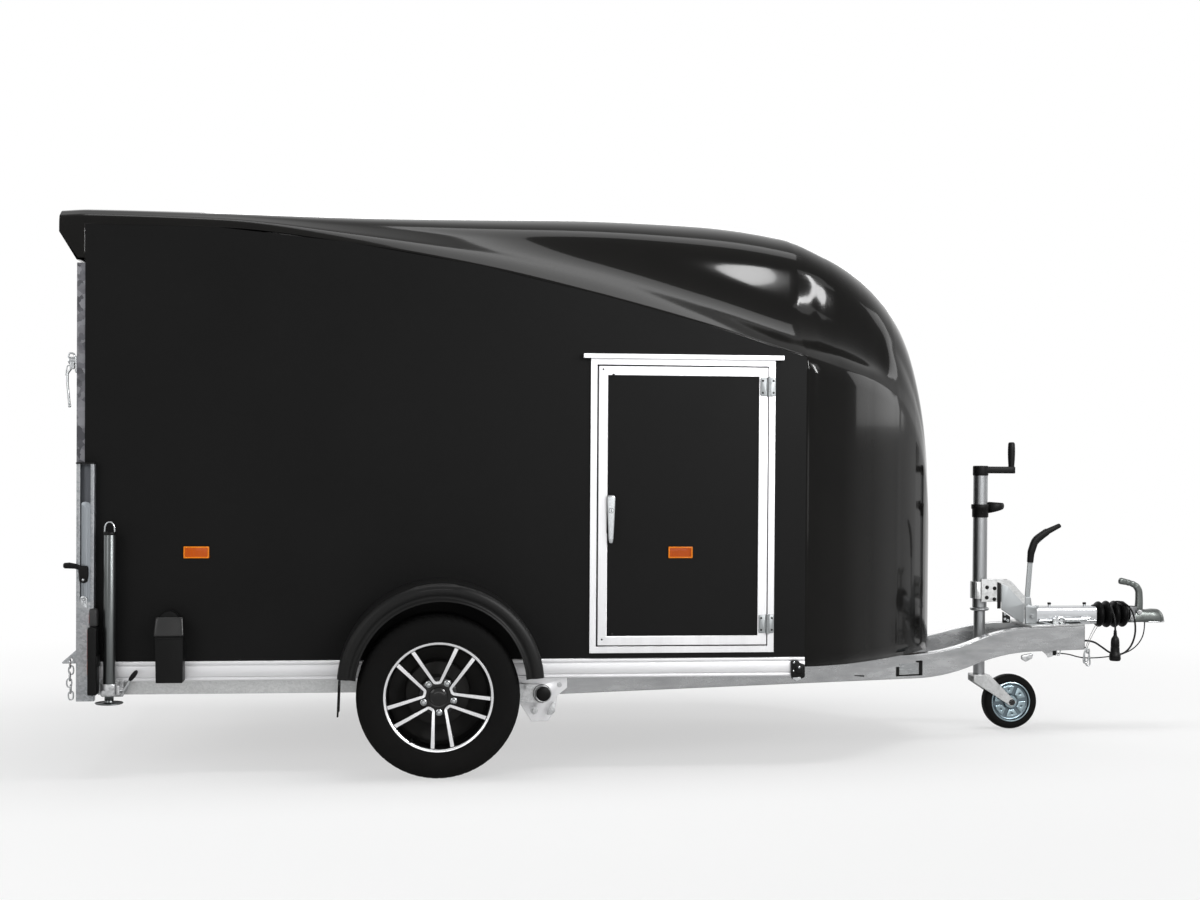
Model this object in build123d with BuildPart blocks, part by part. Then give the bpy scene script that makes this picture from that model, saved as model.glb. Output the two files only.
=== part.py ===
"""Single-axle box trailer: moulded roof and nose on a flat-sided cargo box, with a rear ramp and a side door.

Millimetres. +X points forward to the coupling, +Y to the trailer's left, +Z up, with the road at Z = 0.
X is zero half way between the rear visor and the coupling's tip. Right is the -Y side, where the door is.
"""

import math
import os

from build123d import *

os.makedirs("parts", exist_ok=True)

SIDES = (("right", -1), ("left", 1))
SEAT_GAP = 0.3

# Overall places along the trailer
REAR_X = -2135.0
VISOR_X = REAR_X - 91.0
AXLE_X = -884.0
PANEL_FRONT_X = 478.0
NOSE_X = 1168.0
COUPLING_TIP_X = 2226.0

# Body box
HALF_WIDTH = 775.0
WALL = 18.0
SHELL_WALL = 8.0
SKIRT_Z = 365.0
PANEL_Z = 402.0
SILL_HEIGHT = 71.0
SILL_DEPTH = 42.0
SILL_PROUD = 5.0
FLOOR_THICK = 18.0

# Roof and nose moulding, drawn for this half width; one row for each station along X:
# x, half width, crease z, ridge y, ridge z, hood y, hood z, crown z, scoop depth
DRAWN_HALF_WIDTH = 775.0
WIDTH_SHARE = HALF_WIDTH / DRAWN_HALF_WIDTH
STATIONS = (
    (VISOR_X, DRAWN_HALF_WIDTH, 1955.0, 770.0, 1985.0, 728.0, 2006.0, 2034.0, 4.0),
    (REAR_X, DRAWN_HALF_WIDTH, 1957.0, 770.0, 1990.0, 728.0, 2012.0, 2040.0, 4.0),
    (-1672.0, DRAWN_HALF_WIDTH, 1955.0, 767.0, 1985.0, 720.0, 2006.0, 2048.0, 5.0),
    (-1212.0, DRAWN_HALF_WIDTH, 1911.0, 750.0, 1945.0, 668.0, 1990.0, 2066.0, 12.0),
    (-732.0, DRAWN_HALF_WIDTH, 1834.0, 728.0, 1885.0, 625.0, 1970.0, 2086.0, 25.0),
    (-282.0, DRAWN_HALF_WIDTH, 1732.0, 708.0, 1800.0, 605.0, 1955.0, 2097.0, 40.0),
    (118.0, DRAWN_HALF_WIDTH, 1628.0, 700.0, 1690.0, 598.0, 1922.0, 2090.0, 48.0),
    (PANEL_FRONT_X, DRAWN_HALF_WIDTH, 1518.0, 700.0, 1570.0, 585.0, 1868.0, 2050.0, 50.0),
    (618.0, 727.0, 1480.0, 668.0, 1535.0, 560.0, 1810.0, 2005.0, 40.0),
    (768.0, 618.0, 1440.0, 583.0, 1490.0, 500.0, 1720.0, 1930.0, 22.0),
    (918.0, 472.0, 1380.0, 455.0, 1430.0, 400.0, 1590.0, 1812.0, 10.0),
    (1028.0, 345.0, 1250.0, 335.0, 1300.0, 300.0, 1420.0, 1660.0, 6.0),
    (1108.0, 225.0, 1050.0, 219.0, 1100.0, 200.0, 1200.0, 1405.0, 4.0),
    (1153.0, 115.0, 800.0, 112.0, 850.0, 100.0, 950.0, 1180.0, 3.0),
    (NOSE_X, 34.0, 600.0, 33.0, 640.0, 29.0, 700.0, 940.0, 1.0),
)

# Rear visor underside and the ramp below it
VISOR_TIP_Z = 1929.0
VISOR_ROOT_Z = 1830.0
RAMP_THICK = 30.0
RAMP_Z = 408.0
RAMP_TOP_GAP = 8.0
RAMP_HALF_WIDTH = HALF_WIDTH - 23.0
RAMP_FRAME_BAR = 45.0
RAMP_SKIN = 18.0
RAMP_GAP = 3.0
RAMP_HINGE_RADIUS = 9.0
PORTAL_DEPTH = 40.0
PORTAL_BAR = 46.0
PORTAL_TOP_Z = 1905.0

# Side door in the right wall
DOOR_REAR_X = -330.0
DOOR_FRONT_X = 359.0
DOOR_LOW_Z = 421.0
DOOR_TOP_Z = 1505.0
DOOR_FRAME_BAR = 24.0
DOOR_FRAME_PROUD = 8.0
DOOR_GAP = 5.0
DOOR_LEAF_BAR = 34.0
DOOR_LEAF_PROUD = 14.0
DOOR_PANEL_THICK = 20.0
DOOR_HINGE_RADIUS = 7.0
DOOR_HINGE_LENGTH = 72.0
DOOR_HINGE_PLATE = 5.0
DOOR_KNUCKLE = 28.0
DOOR_PIN_RADIUS = 3.0
DOOR_HINGE_HEIGHTS = (527.0, 1405.0)
DRIP_LOW_Z = 1504.0
DRIP_HEIGHT = 16.0
DRIP_PROUD = 26.0
DRIP_OVERHANG = 28.0
HANDLE_X = -255.0
HANDLE_Z = 915.0
HANDLE_PLATE = (190.0, 36.0, 8.0)
HANDLE_GRIP = (150.0, 24.0, 22.0)

# Chassis
RAIL_HEIGHT = 52.0
RAIL_WIDTH = 45.0
RAIL_FRONT_X = -545.0
RAIL_REAR_X = REAR_X + 40.3
SPINE_REAR_X = -640.0
CROSS_PLACES = (REAR_X + 69.0, -1420.0, -640.0, -420.0, 40.0, 420.0)
NOSE_CROSS_X = 860.0
CROSS_WIDTH = 50.0
CROSS_HEIGHT = 34.0

# Drawbar: two bent channel beams that meet at the overrun device
BEAM_DEPTH = 100.0
BEAM_WIDTH = 45.0
BEAM_WALL = 5.0
BEAM_LOW_Z = 250.0
BEAM_HIGH_Z = 340.0
BEAM_REAR_X = -440.0
BEAM_INSET = 167.0
BEAM_REAR_Y = HALF_WIDTH - BEAM_INSET
BEAM_FRONT_X = 1845.0
BEAM_FRONT_Y = 62.0
NECK_START_X = 1060.0
NECK_END_X = 1590.0

# Overrun device and coupling
TUBE_Z = 482.0
TUBE_RADIUS = 25.0
COLLAR_RADIUS = 34.0
MOUNT_PLATE = 8.0
OVERRUN_REAR_X = 1600.0
OVERRUN_FRONT_X = OVERRUN_REAR_X + 312.0
OVERRUN_HEIGHT = 68.0
OVERRUN_WIDTH = 92.0
OVERRUN_CORNER = 14.0
GREASE_PLACES = (1720.0, 1875.0)
GREASE_RADIUS = 6.0
GREASE_HEIGHT = 14.0
BELLOWS_LENGTH = 154.0
BELLOWS_FRONT_X = OVERRUN_FRONT_X + BELLOWS_LENGTH
BELLOWS_RADIUS = 56.0
BELLOWS_FOLD_DEPTH = 14.0
BELLOWS_FOLDS = 4
BALL_X = COUPLING_TIP_X - 40.0
BALL_Z = 466.0
BALL_RADIUS = 25.4
HEAD_BELOW_BALL = 16.0
HEAD_HEIGHT = 54.0
HEAD_LENGTH = 60.0
HEAD_REAR_HALF = 26.0
HEAD_ROUND = 10.0
HEAD_HANDLE_WIDTH = 28.0
HEAD_HANDLE_BAR = 24.0
# Side view of the head's handle above its foot: x, height
HEAD_HANDLE_LINE = ((BALL_X - 68, 0.0), (BALL_X - 72, 78.0), (BALL_X - 110, 114.0), (BALL_X - 156, 118.0))
LEVER_X = 1628.0
LEVER_BASE = 64.0
LEVER_BAR = 22.0
LEVER_THICK = 8.0
GRIP_THICK = 26.0
GRIP_BAR = 28.0
# Side view of the handbrake lever: x, z
LEVER_LINE = ((LEVER_X, 500.0), (LEVER_X - 6, 700.0), (1657.0, 792.0), (1764.0, 862.0))
GRIP_LINE = ((1624.0, 716.0), (1657.0, 792.0), (1766.0, 863.0))
LEVER_BEND = 50.0

# Jockey wheel
JOCKEY_X = 1414.0
JOCKEY_OUTER_RADIUS = 30.0
JOCKEY_INNER_RADIUS = 24.0
JOCKEY_TUBE_LOW_Z = 500.0
JOCKEY_TUBE_TOP_Z = 1070.0
JOCKEY_LEG_TOP_Z = 870.0
JOCKEY_FORK_TOP_Z = 232.0
JOCKEY_WHEEL_RADIUS = 115.0
JOCKEY_WHEEL_WIDTH = 62.0
JOCKEY_RIM_RADIUS = 84.0
JOCKEY_RIM_RECESS = 8.0
JOCKEY_TRAIL = 132.0
JOCKEY_AXLE_RADIUS = 8.0
FORK_PLATE = 5.0
FORK_GAP = 5.3
FORK_HALF = 34.0
CLAMP_LOW_Z = 552.0
CLAMP_HEIGHT = 72.0
CLAMP_PLATE = 8.0
CLAMP_WALL = 9.0
CLAMP_TOP_Z = 636.0
RING_HEIGHT = 14.0
RING_WALL = 10.0
COLLAR_LOW_Z = 894.0
COLLAR_HEIGHT = 54.0
CAP_HEIGHT = 12.0
CRANK_REACH = 148.0
CRANK_WIDTH = 34.0
CRANK_HEIGHT = 28.0
CRANK_GRIP_RADIUS = 15.0
CRANK_GRIP_HEIGHT = 130.0

# Suspension
ARM_PIVOT_X = -499.0
ARM_PIVOT_Z = 274.0
HANGER_THICK = 8.0
HANGER_LOW_Z = 168.0
HANGER_REACH = 92.0
PIVOT_RADIUS = 28.0
ARM_GAP = 20.0
ARM_THICK = 20.0
ARM_EYE_RADIUS = 34.0
ARM_END_RADIUS = 34.0
STUB_RADIUS = 20.0
STUB_LENGTH = 72.0

# Wheels
WHEEL_RADIUS = 291.0
TRACK_OUTSET = 115.0
TRACK_Y = HALF_WIDTH + TRACK_OUTSET
BEAD_RADIUS = 188.5
RIM_RADIUS = 195.0
RIM_WIDTH = 165.0
RIM_LIP = 5.0
BARREL_RADIUS = 176.0
SPOKE_COUNT = 5
SPOKE_TURN = 22.7
SPOKE_WIDTH = 15.0
SPOKE_DEPTH = 30.0
SPOKE_RECESS = 6.0
SPOKE_BEND = 6.0
# Middle line of one forked spoke: distance along its axis, distance across
FORK_LINE = ((166.0, 79.0), (48.0, 8.5), (48.0, -8.5), (166.0, -79.0))
HUB_RADIUS = 62.0
HUB_GAP = 6.0
HUB_RUNNING_GAP = 0.06
DRUM_RADIUS = 112.0
DRUM_WIDTH = 62.0
# Half of the tyre's outside, from the tread's middle to the bead: y from the middle, drop from the tread
TYRE_OUTSIDE = ((70.0, 0.0), (84.0, 9.0), (91.0, 36.0), (91.0, 60.0), (77.0, WHEEL_RADIUS - BEAD_RADIUS - 0.5))
TYRE_INSIDE = ((64.0, WHEEL_RADIUS - BEAD_RADIUS - 0.5), (81.0, 60.0), (81.0, 38.0), (68.0, 22.0))

# Mudguards
GUARD_SHIFT = 9.0
GUARD_RADIUS = 367.0
GUARD_RISE = 39.0
GUARD_INNER_Y = HALF_WIDTH + SILL_PROUD
GUARD_FOOT = 20.0
# Section of the mudguard: distance out from the sill, drop from its outer radius
GUARD_OUTSIDE = ((0.3, 0.0), (200.0, 0.0), (214.0, 9.0), (220.0, 23.0), (220.0, 37.0), (212.0, 45.0),
                 (212.0, 55.0), (220.0, 63.0), (220.0, 67.0))
GUARD_INSIDE = ((214.0, 67.0), (207.0, 57.0), (207.0, 43.0), (215.0, 35.0), (214.5, 24.0), (210.0, 13.5),
                (198.0, 5.5), (0.3, 5.5))
FLAP_SIZE = (12.0, 190.0, 80.0)
FLAP_INSET = 15.0

# Corner posts with the ramp's spring tubes
POST_FRONT_X = REAR_X + 39.0
POST_REAR_X = REAR_X - 23.0
POST_LOW_Z = 266.0
POST_TOP_Z = 1108.0
POST_DEPTH = 34.0
POST_WALL = 5.0
EAR_REACH = 51.0
EAR_LOW_Z = 399.0
EAR_HEIGHT = 46.0
# Spring tube, rod and grip: radius, lowest z, highest z
STRUT_STEPS = ((12.0, 272.0, 592.0), (5.0, 592.0, 672.0), (14.0, 664.0, 746.0))
STRUT_HANDLE = (72.0, 16.0, 34.0)
STRUT_HANDLE_Z = 712.0

# Lamps, reflectors and latches
LAMP_X = REAR_X + 28.0
LAMP_LOW_Z = 295.0
LAMP_SIZE = (30.0, 72.0, 238.0)
LAMP_TOP_SIZE = (24.0, 44.0, 72.0)
MARKER_SIZE = (54.0, 20.0, 82.0)
MARKER_INSET = 28.0
MARKER_Z = 352.0
REFLECTOR_SIZE = (90.0, 7.0, 42.0)
REFLECTOR_Z = 792.0
REFLECTOR_SETBACK = 390.0
REFLECTOR_REAR_X = REAR_X + REFLECTOR_SETBACK
REFLECTOR_FRONT_X = 6.0
LATCH_Z = 1466.0
LATCH_BLOCK = (34.0, 34.0)
LATCH_LEVER = (10.0, 22.0, 176.0)

# Prop stands at the rear corners
STAND_X = REAR_X + 95.0
STAND_Y = HALF_WIDTH + 51.0
STAND_RADIUS = 21.0
STAND_FOOT_Z = 258.0
STAND_TOP_Z = 865.0
STAND_FOOT_RADIUS = 49.0
STAND_FOOT_HEIGHT = 6.0
STAND_STEM = 16.0
STAND_BAIL = 6.0
STAND_BAIL_HEIGHT = 38.0
STAND_CLAMP_LOW_Z = 286.0
STAND_CLAMP_WALL = 10.0
STAND_CLAMP_WIDTH = 48.0
# Middle line of the clamp's lever from the stand's axis: x, z
STAND_LEVER_LINE = ((0.0, 308.0), (36.0, 308.0), (66.0, 336.0), (96.0, 372.0))

# Wheel chocks: side view from the rear lower corner, x and z
CHOCK_SETBACK = 255.0
CHOCK_X = REAR_X + CHOCK_SETBACK
CHOCK_LOW_Z = 334.0
CHOCK_OUTLINE = ((0.0, 0.0), (98.0, 0.0), (98.0, 186.0), (90.0, 214.0), (80.0, 242.0), (14.0, 246.0), (0.0, 186.0))
CHOCK_DEPTH = 78.0

# Cables
GLAND_LENGTH = 22.0
GLAND_WIDTH = 30.0
GLAND_HEIGHT = 60.0
CLIP_X = 1700.0
CLIP_SIZE = (16.0, 18.0, 22.0)
CLIP_Y = -88.0
LEAD_RADIUS = 4.0
BREAKAWAY_RADIUS = 2.5
CABLE_SEAT = 0.2
PLUG_X = 1966.0
PLUG_Y = -112.0
PLUG_TOP_Z = 424.0
# Half of the plug's outline: radius, z
PLUG_OUTLINE = ((0.0, 296.0), (21.0, 296.0), (24.0, 302.0), (24.0, 320.0), (19.0, 330.0), (17.0, 388.0),
                (8.0, 400.0), (6.0, PLUG_TOP_Z), (0.0, PLUG_TOP_Z))

shell_wall_y = HALF_WIDTH - WALL
sill_low_z = PANEL_Z - SILL_HEIGHT
rail_low_z = sill_low_z - RAIL_HEIGHT


def body_section(row, inset):
    """Outline of the body across one station, drawn inside its skin by the inset."""
    x, half, crease_z, ridge_y, ridge_z, hood_y, hood_z, crown_z, scoop = row
    half, ridge_y, hood_y = (WIDTH_SHARE * y - inset for y in (half, ridge_y, hood_y))
    low_z = SKIRT_Z - (2 * inset)
    scoop_y = (ridge_y + hood_y) / 2 - scoop
    scoop_z = (ridge_z + hood_z) / 2 - scoop - inset
    with BuildSketch(Plane.YZ.offset(x)) as section:
        with BuildLine():
            Line((-half, low_z), (half, low_z))
            Line((half, low_z), (half, crease_z))
            Line((half, crease_z), (ridge_y, ridge_z - inset))
            ThreePointArc((ridge_y, ridge_z - inset), (scoop_y, scoop_z), (hood_y, hood_z - inset))
            ThreePointArc((hood_y, hood_z - inset), (0, crown_z - inset), (-hood_y, hood_z - inset))
            ThreePointArc((-hood_y, hood_z - inset), (-scoop_y, scoop_z), (-ridge_y, ridge_z - inset))
            Line((-ridge_y, ridge_z - inset), (-half, crease_z))
            Line((-half, crease_z), (-half, low_z))
        make_face()
    return section.sketch


def panel_outline():
    """Corners of the flat side wall seen from the side, from the floor edge up to the crease."""
    top = [(row[0], row[2]) for row in STATIONS if REAR_X <= row[0] <= PANEL_FRONT_X]
    return [(REAR_X, PANEL_Z)] + top + [(PANEL_FRONT_X, PANEL_Z)]


# Roof and nose moulding: one skin from the rear visor to the rounded nose
inner_rows = []
for row in STATIONS[1:]:
    shift = SHELL_WALL if row[0] > PANEL_FRONT_X else 0.0
    inner_rows.append((row[0] - shift,) + row[1:])
with BuildPart() as roof_shell:
    loft([body_section(row, 0) for row in STATIONS], ruled=True)
    loft([body_section(row, SHELL_WALL) for row in inner_rows], ruled=True, mode=Mode.SUBTRACT)
    for side in (-1, 1):
        with BuildSketch(Plane.XZ.offset(-side * shell_wall_y)):
            with BuildLine():
                Polyline([(REAR_X, 0)] + panel_outline()[1:-1] + [(PANEL_FRONT_X, 0)], close=True)
            make_face()
        extrude(amount=-side * (WALL + SILL_PROUD), mode=Mode.SUBTRACT)
    with BuildSketch(Plane.XZ):
        with BuildLine():
            Polyline([(VISOR_X - WALL, 0), (VISOR_X - WALL, VISOR_TIP_Z), (VISOR_X, VISOR_TIP_Z),
                      (REAR_X - RAMP_THICK, VISOR_ROOT_Z), (REAR_X, VISOR_ROOT_Z), (REAR_X, 0)], close=True)
        make_face()
    extrude(amount=HALF_WIDTH + WALL, both=True, mode=Mode.SUBTRACT)
roof_shell.part.label = "roof_shell"
export_step(roof_shell.part, "parts/roof_shell.step")

# Flat side walls; the right one has the door opening
for name, side in SIDES:
    with BuildPart() as side_wall:
        with BuildSketch(Plane.XZ.offset(-side * shell_wall_y)):
            with BuildLine():
                Polyline(panel_outline(), close=True)
            make_face()
            if side < 0:
                with Locations(((DOOR_REAR_X + DOOR_FRONT_X) / 2, (DOOR_LOW_Z + DOOR_TOP_Z) / 2)):
                    Rectangle(DOOR_FRONT_X - DOOR_REAR_X, DOOR_TOP_Z - DOOR_LOW_Z, mode=Mode.SUBTRACT)
        extrude(amount=-side * WALL)
    side_wall.part.label = f"side_wall_{name}"
    export_step(side_wall.part, f"parts/side_wall_{name}.step")

# Floor board on the cross members, following the nose inside its skin
nose_rows = [row for row in STATIONS if row[0] > PANEL_FRONT_X]
board_y = HALF_WIDTH - SILL_DEPTH + SILL_PROUD - SEAT_GAP
board_low_z = PANEL_Z - FLOOR_THICK
nose_inset = SHELL_WALL * 3
board_edge = [(REAR_X + PORTAL_DEPTH + SEAT_GAP, board_y), (PANEL_FRONT_X - nose_inset, board_y)]
board_edge += [(row[0] - nose_inset, min(WIDTH_SHARE * row[1] - SHELL_WALL, board_y)) for row in nose_rows]
with BuildPart() as floor_board:
    with BuildSketch(Plane.XY.offset(board_low_z)):
        with BuildLine():
            Polyline(board_edge + [(x, -y) for x, y in reversed(board_edge)], close=True)
        make_face()
    extrude(amount=FLOOR_THICK)
floor_board.part.label = "floor_board"
export_step(floor_board.part, "parts/floor_board.step")

# Aluminium frame round the rear opening, with the fixed knuckles of the ramp's hinge
hinge_x = REAR_X - RAMP_GAP - RAMP_THICK / 2
hinge_z = RAMP_Z - RAMP_HINGE_RADIUS - RAMP_GAP
knuckle_run = 2 * RAMP_HALF_WIDTH / 7
portal_low_z = PANEL_Z + SEAT_GAP
with BuildPart() as rear_portal:
    with BuildSketch(Plane.YZ.offset(REAR_X)):
        with Locations((0, (portal_low_z + PORTAL_TOP_Z) / 2)):
            Rectangle(2 * (shell_wall_y - SEAT_GAP), PORTAL_TOP_Z - portal_low_z)
        with Locations((0, (portal_low_z + VISOR_ROOT_Z - 2 * RAMP_TOP_GAP) / 2)):
            Rectangle(2 * (shell_wall_y - PORTAL_BAR), VISOR_ROOT_Z - 2 * RAMP_TOP_GAP - portal_low_z,
                      mode=Mode.SUBTRACT)
    extrude(amount=PORTAL_DEPTH)
rear_portal.part.label = "rear_portal"
export_step(rear_portal.part, "parts/rear_portal.step")

with BuildPart() as rear_sill:
    with BuildSketch(Plane.YZ.offset(REAR_X - RAMP_GAP)):
        with Locations((0, (sill_low_z + PANEL_Z) / 2)):
            Rectangle(2 * HALF_WIDTH, SILL_HEIGHT)
    extrude(amount=RAMP_GAP + PORTAL_DEPTH)
    for place in (-2, 0, 2):
        with BuildSketch(Plane.XZ.offset(-place * knuckle_run - knuckle_run / 2)):
            with Locations((hinge_x, hinge_z)):
                Circle(RAMP_HINGE_RADIUS)
            with Locations(((hinge_x + REAR_X) / 2, hinge_z - RAMP_HINGE_RADIUS / 2)):
                Rectangle(REAR_X - hinge_x, RAMP_HINGE_RADIUS)
        extrude(amount=knuckle_run - 2 * SEAT_GAP)
rear_sill.part.label = "rear_sill"
export_step(rear_sill.part, "parts/rear_sill.step")

# Rear ramp: an aluminium frame with hinge knuckles, and a panel seated inside it
ramp_top_z = VISOR_ROOT_Z - RAMP_TOP_GAP
ramp_back_x = REAR_X - RAMP_GAP - RAMP_THICK
with BuildPart() as ramp_frame:
    with BuildSketch(Plane.YZ.offset(ramp_back_x)):
        with Locations((0, (RAMP_Z + ramp_top_z) / 2)):
            Rectangle(2 * RAMP_HALF_WIDTH, ramp_top_z - RAMP_Z)
            Rectangle(2 * (RAMP_HALF_WIDTH - RAMP_FRAME_BAR), ramp_top_z - RAMP_Z - 2 * RAMP_FRAME_BAR,
                      mode=Mode.SUBTRACT)
    extrude(amount=RAMP_THICK)
    for place in (-1, 1):
        with BuildSketch(Plane.XZ.offset(-place * knuckle_run - knuckle_run / 2)):
            with Locations((hinge_x, hinge_z)):
                Circle(RAMP_HINGE_RADIUS)
            with Locations((hinge_x, (hinge_z + RAMP_Z) / 2)):
                Rectangle(RAMP_HINGE_RADIUS, RAMP_Z - hinge_z)
        extrude(amount=knuckle_run - 2 * SEAT_GAP)
ramp_frame.part.label = "ramp_frame"
export_step(ramp_frame.part, "parts/ramp_frame.step")

panel_seat = RAMP_FRAME_BAR + SEAT_GAP
with BuildPart() as ramp_panel:
    with BuildSketch(Plane.YZ.offset(ramp_back_x + RAMP_THICK - RAMP_SKIN)):
        with Locations((0, (RAMP_Z + ramp_top_z) / 2)):
            Rectangle(2 * (RAMP_HALF_WIDTH - panel_seat), ramp_top_z - RAMP_Z - 2 * panel_seat)
    extrude(amount=RAMP_SKIN)
ramp_panel.part.label = "ramp_panel"
export_step(ramp_panel.part, "parts/ramp_panel.step")

# Side door: frame set in the wall, drip rail above, leaf with its panel, hinges and handle
door_mid_x = (DOOR_REAR_X + DOOR_FRONT_X) / 2
door_mid_z = (DOOR_LOW_Z + DOOR_TOP_Z) / 2
door_width = DOOR_FRONT_X - DOOR_REAR_X
door_height = DOOR_TOP_Z - DOOR_LOW_Z
leaf_width = door_width - 2 * DOOR_FRAME_BAR - 2 * DOOR_GAP
leaf_height = door_height - 2 * DOOR_FRAME_BAR - 2 * DOOR_GAP
right_face = Plane.XZ.offset(HALF_WIDTH)
with BuildPart() as door_frame:
    with BuildSketch(right_face.offset(DOOR_FRAME_PROUD)):
        with Locations((door_mid_x, door_mid_z)):
            Rectangle(door_width - 2 * SEAT_GAP, door_height - 2 * SEAT_GAP)
            Rectangle(door_width - 2 * DOOR_FRAME_BAR, door_height - 2 * DOOR_FRAME_BAR, mode=Mode.SUBTRACT)
    extrude(amount=-WALL - DOOR_FRAME_PROUD)
    with BuildSketch(right_face):
        with Locations((door_mid_x, DRIP_LOW_Z + DRIP_HEIGHT / 2)):
            Rectangle(door_width + 2 * DRIP_OVERHANG, DRIP_HEIGHT)
    extrude(amount=DRIP_PROUD)
door_frame.part.label = "door_frame"
export_step(door_frame.part, "parts/door_frame.step")

hinge_front_x = DOOR_FRONT_X - DOOR_FRAME_BAR - DOOR_GAP / 2
hinge_face = HALF_WIDTH + DOOR_LEAF_PROUD + DOOR_HINGE_RADIUS
with BuildPart() as door_leaf:
    with BuildSketch(right_face.offset(DOOR_LEAF_PROUD)):
        with Locations((door_mid_x, door_mid_z)):
            Rectangle(leaf_width, leaf_height)
            Rectangle(leaf_width - 2 * DOOR_LEAF_BAR, leaf_height - 2 * DOOR_LEAF_BAR, mode=Mode.SUBTRACT)
    extrude(amount=-WALL - DOOR_LEAF_PROUD)
door_leaf.part.label = "door_leaf"
export_step(door_leaf.part, "parts/door_leaf.step")

with BuildPart() as door_panel:
    with BuildSketch(right_face.offset(DOOR_LEAF_PROUD / 2)):
        with Locations((door_mid_x, door_mid_z)):
            Rectangle(leaf_width - 2 * DOOR_LEAF_BAR - SEAT_GAP, leaf_height - 2 * DOOR_LEAF_BAR - SEAT_GAP)
    extrude(amount=-DOOR_PANEL_THICK)
door_panel.part.label = "door_panel"
export_step(door_panel.part, "parts/door_panel.step")

# Hinge leaves, handle and lock of the side door
leaf_plate_y = HALF_WIDTH + DOOR_LEAF_PROUD + DOOR_HINGE_PLATE / 2
with BuildPart() as door_hinges:
    for height in DOOR_HINGE_HEIGHTS:
        with BuildSketch(Plane.XY.offset(height - DOOR_HINGE_LENGTH / 2)):
            with Locations((hinge_front_x - DOOR_HINGE_RADIUS - 14, -leaf_plate_y)):
                Rectangle(27, DOOR_HINGE_PLATE)
        extrude(amount=DOOR_HINGE_LENGTH)
        with BuildSketch(Plane.XY.offset(height - DOOR_KNUCKLE / 2)):
            with Locations((hinge_front_x, -hinge_face)):
                Circle(DOOR_HINGE_RADIUS)
            with Locations((hinge_front_x - 5, -leaf_plate_y)):
                Rectangle(10, DOOR_HINGE_PLATE)
            with Locations((hinge_front_x, -hinge_face)):
                Circle(DOOR_PIN_RADIUS + 0.05, mode=Mode.SUBTRACT)
        extrude(amount=DOOR_KNUCKLE)
door_hinges.part.label = "door_hinges"
export_step(door_hinges.part, "parts/door_hinges.step")

frame_face_y = HALF_WIDTH + DOOR_FRAME_PROUD + SEAT_GAP
with BuildPart() as hinge_leaves:
    for height in DOOR_HINGE_HEIGHTS:
        with BuildSketch(Plane.XY.offset(height - DOOR_HINGE_LENGTH / 2)):
            with Locations((hinge_front_x + 14, -frame_face_y - DOOR_HINGE_PLATE / 2)):
                Rectangle(21, DOOR_HINGE_PLATE)
            with Locations((hinge_front_x, -hinge_face)):
                Circle(DOOR_PIN_RADIUS)
        extrude(amount=DOOR_HINGE_LENGTH)
        for end in (-1, 1):
            with BuildSketch(Plane.XY.offset(height + end * (DOOR_KNUCKLE / 2 + SEAT_GAP))):
                with Locations((hinge_front_x, -hinge_face)):
                    Circle(DOOR_HINGE_RADIUS)
                with Locations((hinge_front_x + 4, -(frame_face_y + hinge_face) / 2)):
                    Rectangle(8, hinge_face - frame_face_y)
            extrude(amount=end * (DOOR_HINGE_LENGTH / 2 - DOOR_KNUCKLE / 2 - SEAT_GAP))
hinge_leaves.part.label = "hinge_leaves"
export_step(hinge_leaves.part, "parts/hinge_leaves.step")

handle_face = right_face.offset(DOOR_LEAF_PROUD)
with BuildPart() as door_handle:
    with BuildSketch(handle_face):
        with Locations((HANDLE_X, HANDLE_Z)):
            SlotOverall(HANDLE_PLATE[0], HANDLE_PLATE[1], rotation=90)
    extrude(amount=HANDLE_PLATE[2])
    with BuildSketch(handle_face.offset(HANDLE_PLATE[2])):
        with Locations((HANDLE_X, HANDLE_Z - 10)):
            SlotOverall(HANDLE_GRIP[0], HANDLE_GRIP[1], rotation=90)
    extrude(amount=HANDLE_GRIP[2], taper=8)
door_handle.part.label = "door_handle"
export_step(door_handle.part, "parts/door_handle.step")

# Aluminium sills along both sides, from the rear sill to the nose skirt
sill_y = HALF_WIDTH + SILL_PROUD
sill_rear_x = REAR_X + PORTAL_DEPTH + SEAT_GAP
with BuildPart() as sills:
    for side in (-1, 1):
        with BuildSketch(Plane.YZ.offset(sill_rear_x)):
            with Locations((side * (sill_y - SILL_DEPTH / 2), (sill_low_z + PANEL_Z) / 2)):
                Rectangle(SILL_DEPTH, SILL_HEIGHT - SEAT_GAP)
        extrude(amount=PANEL_FRONT_X - sill_rear_x - SEAT_GAP)
sills.part.label = "sills"
export_step(sills.part, "parts/sills.step")

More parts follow.
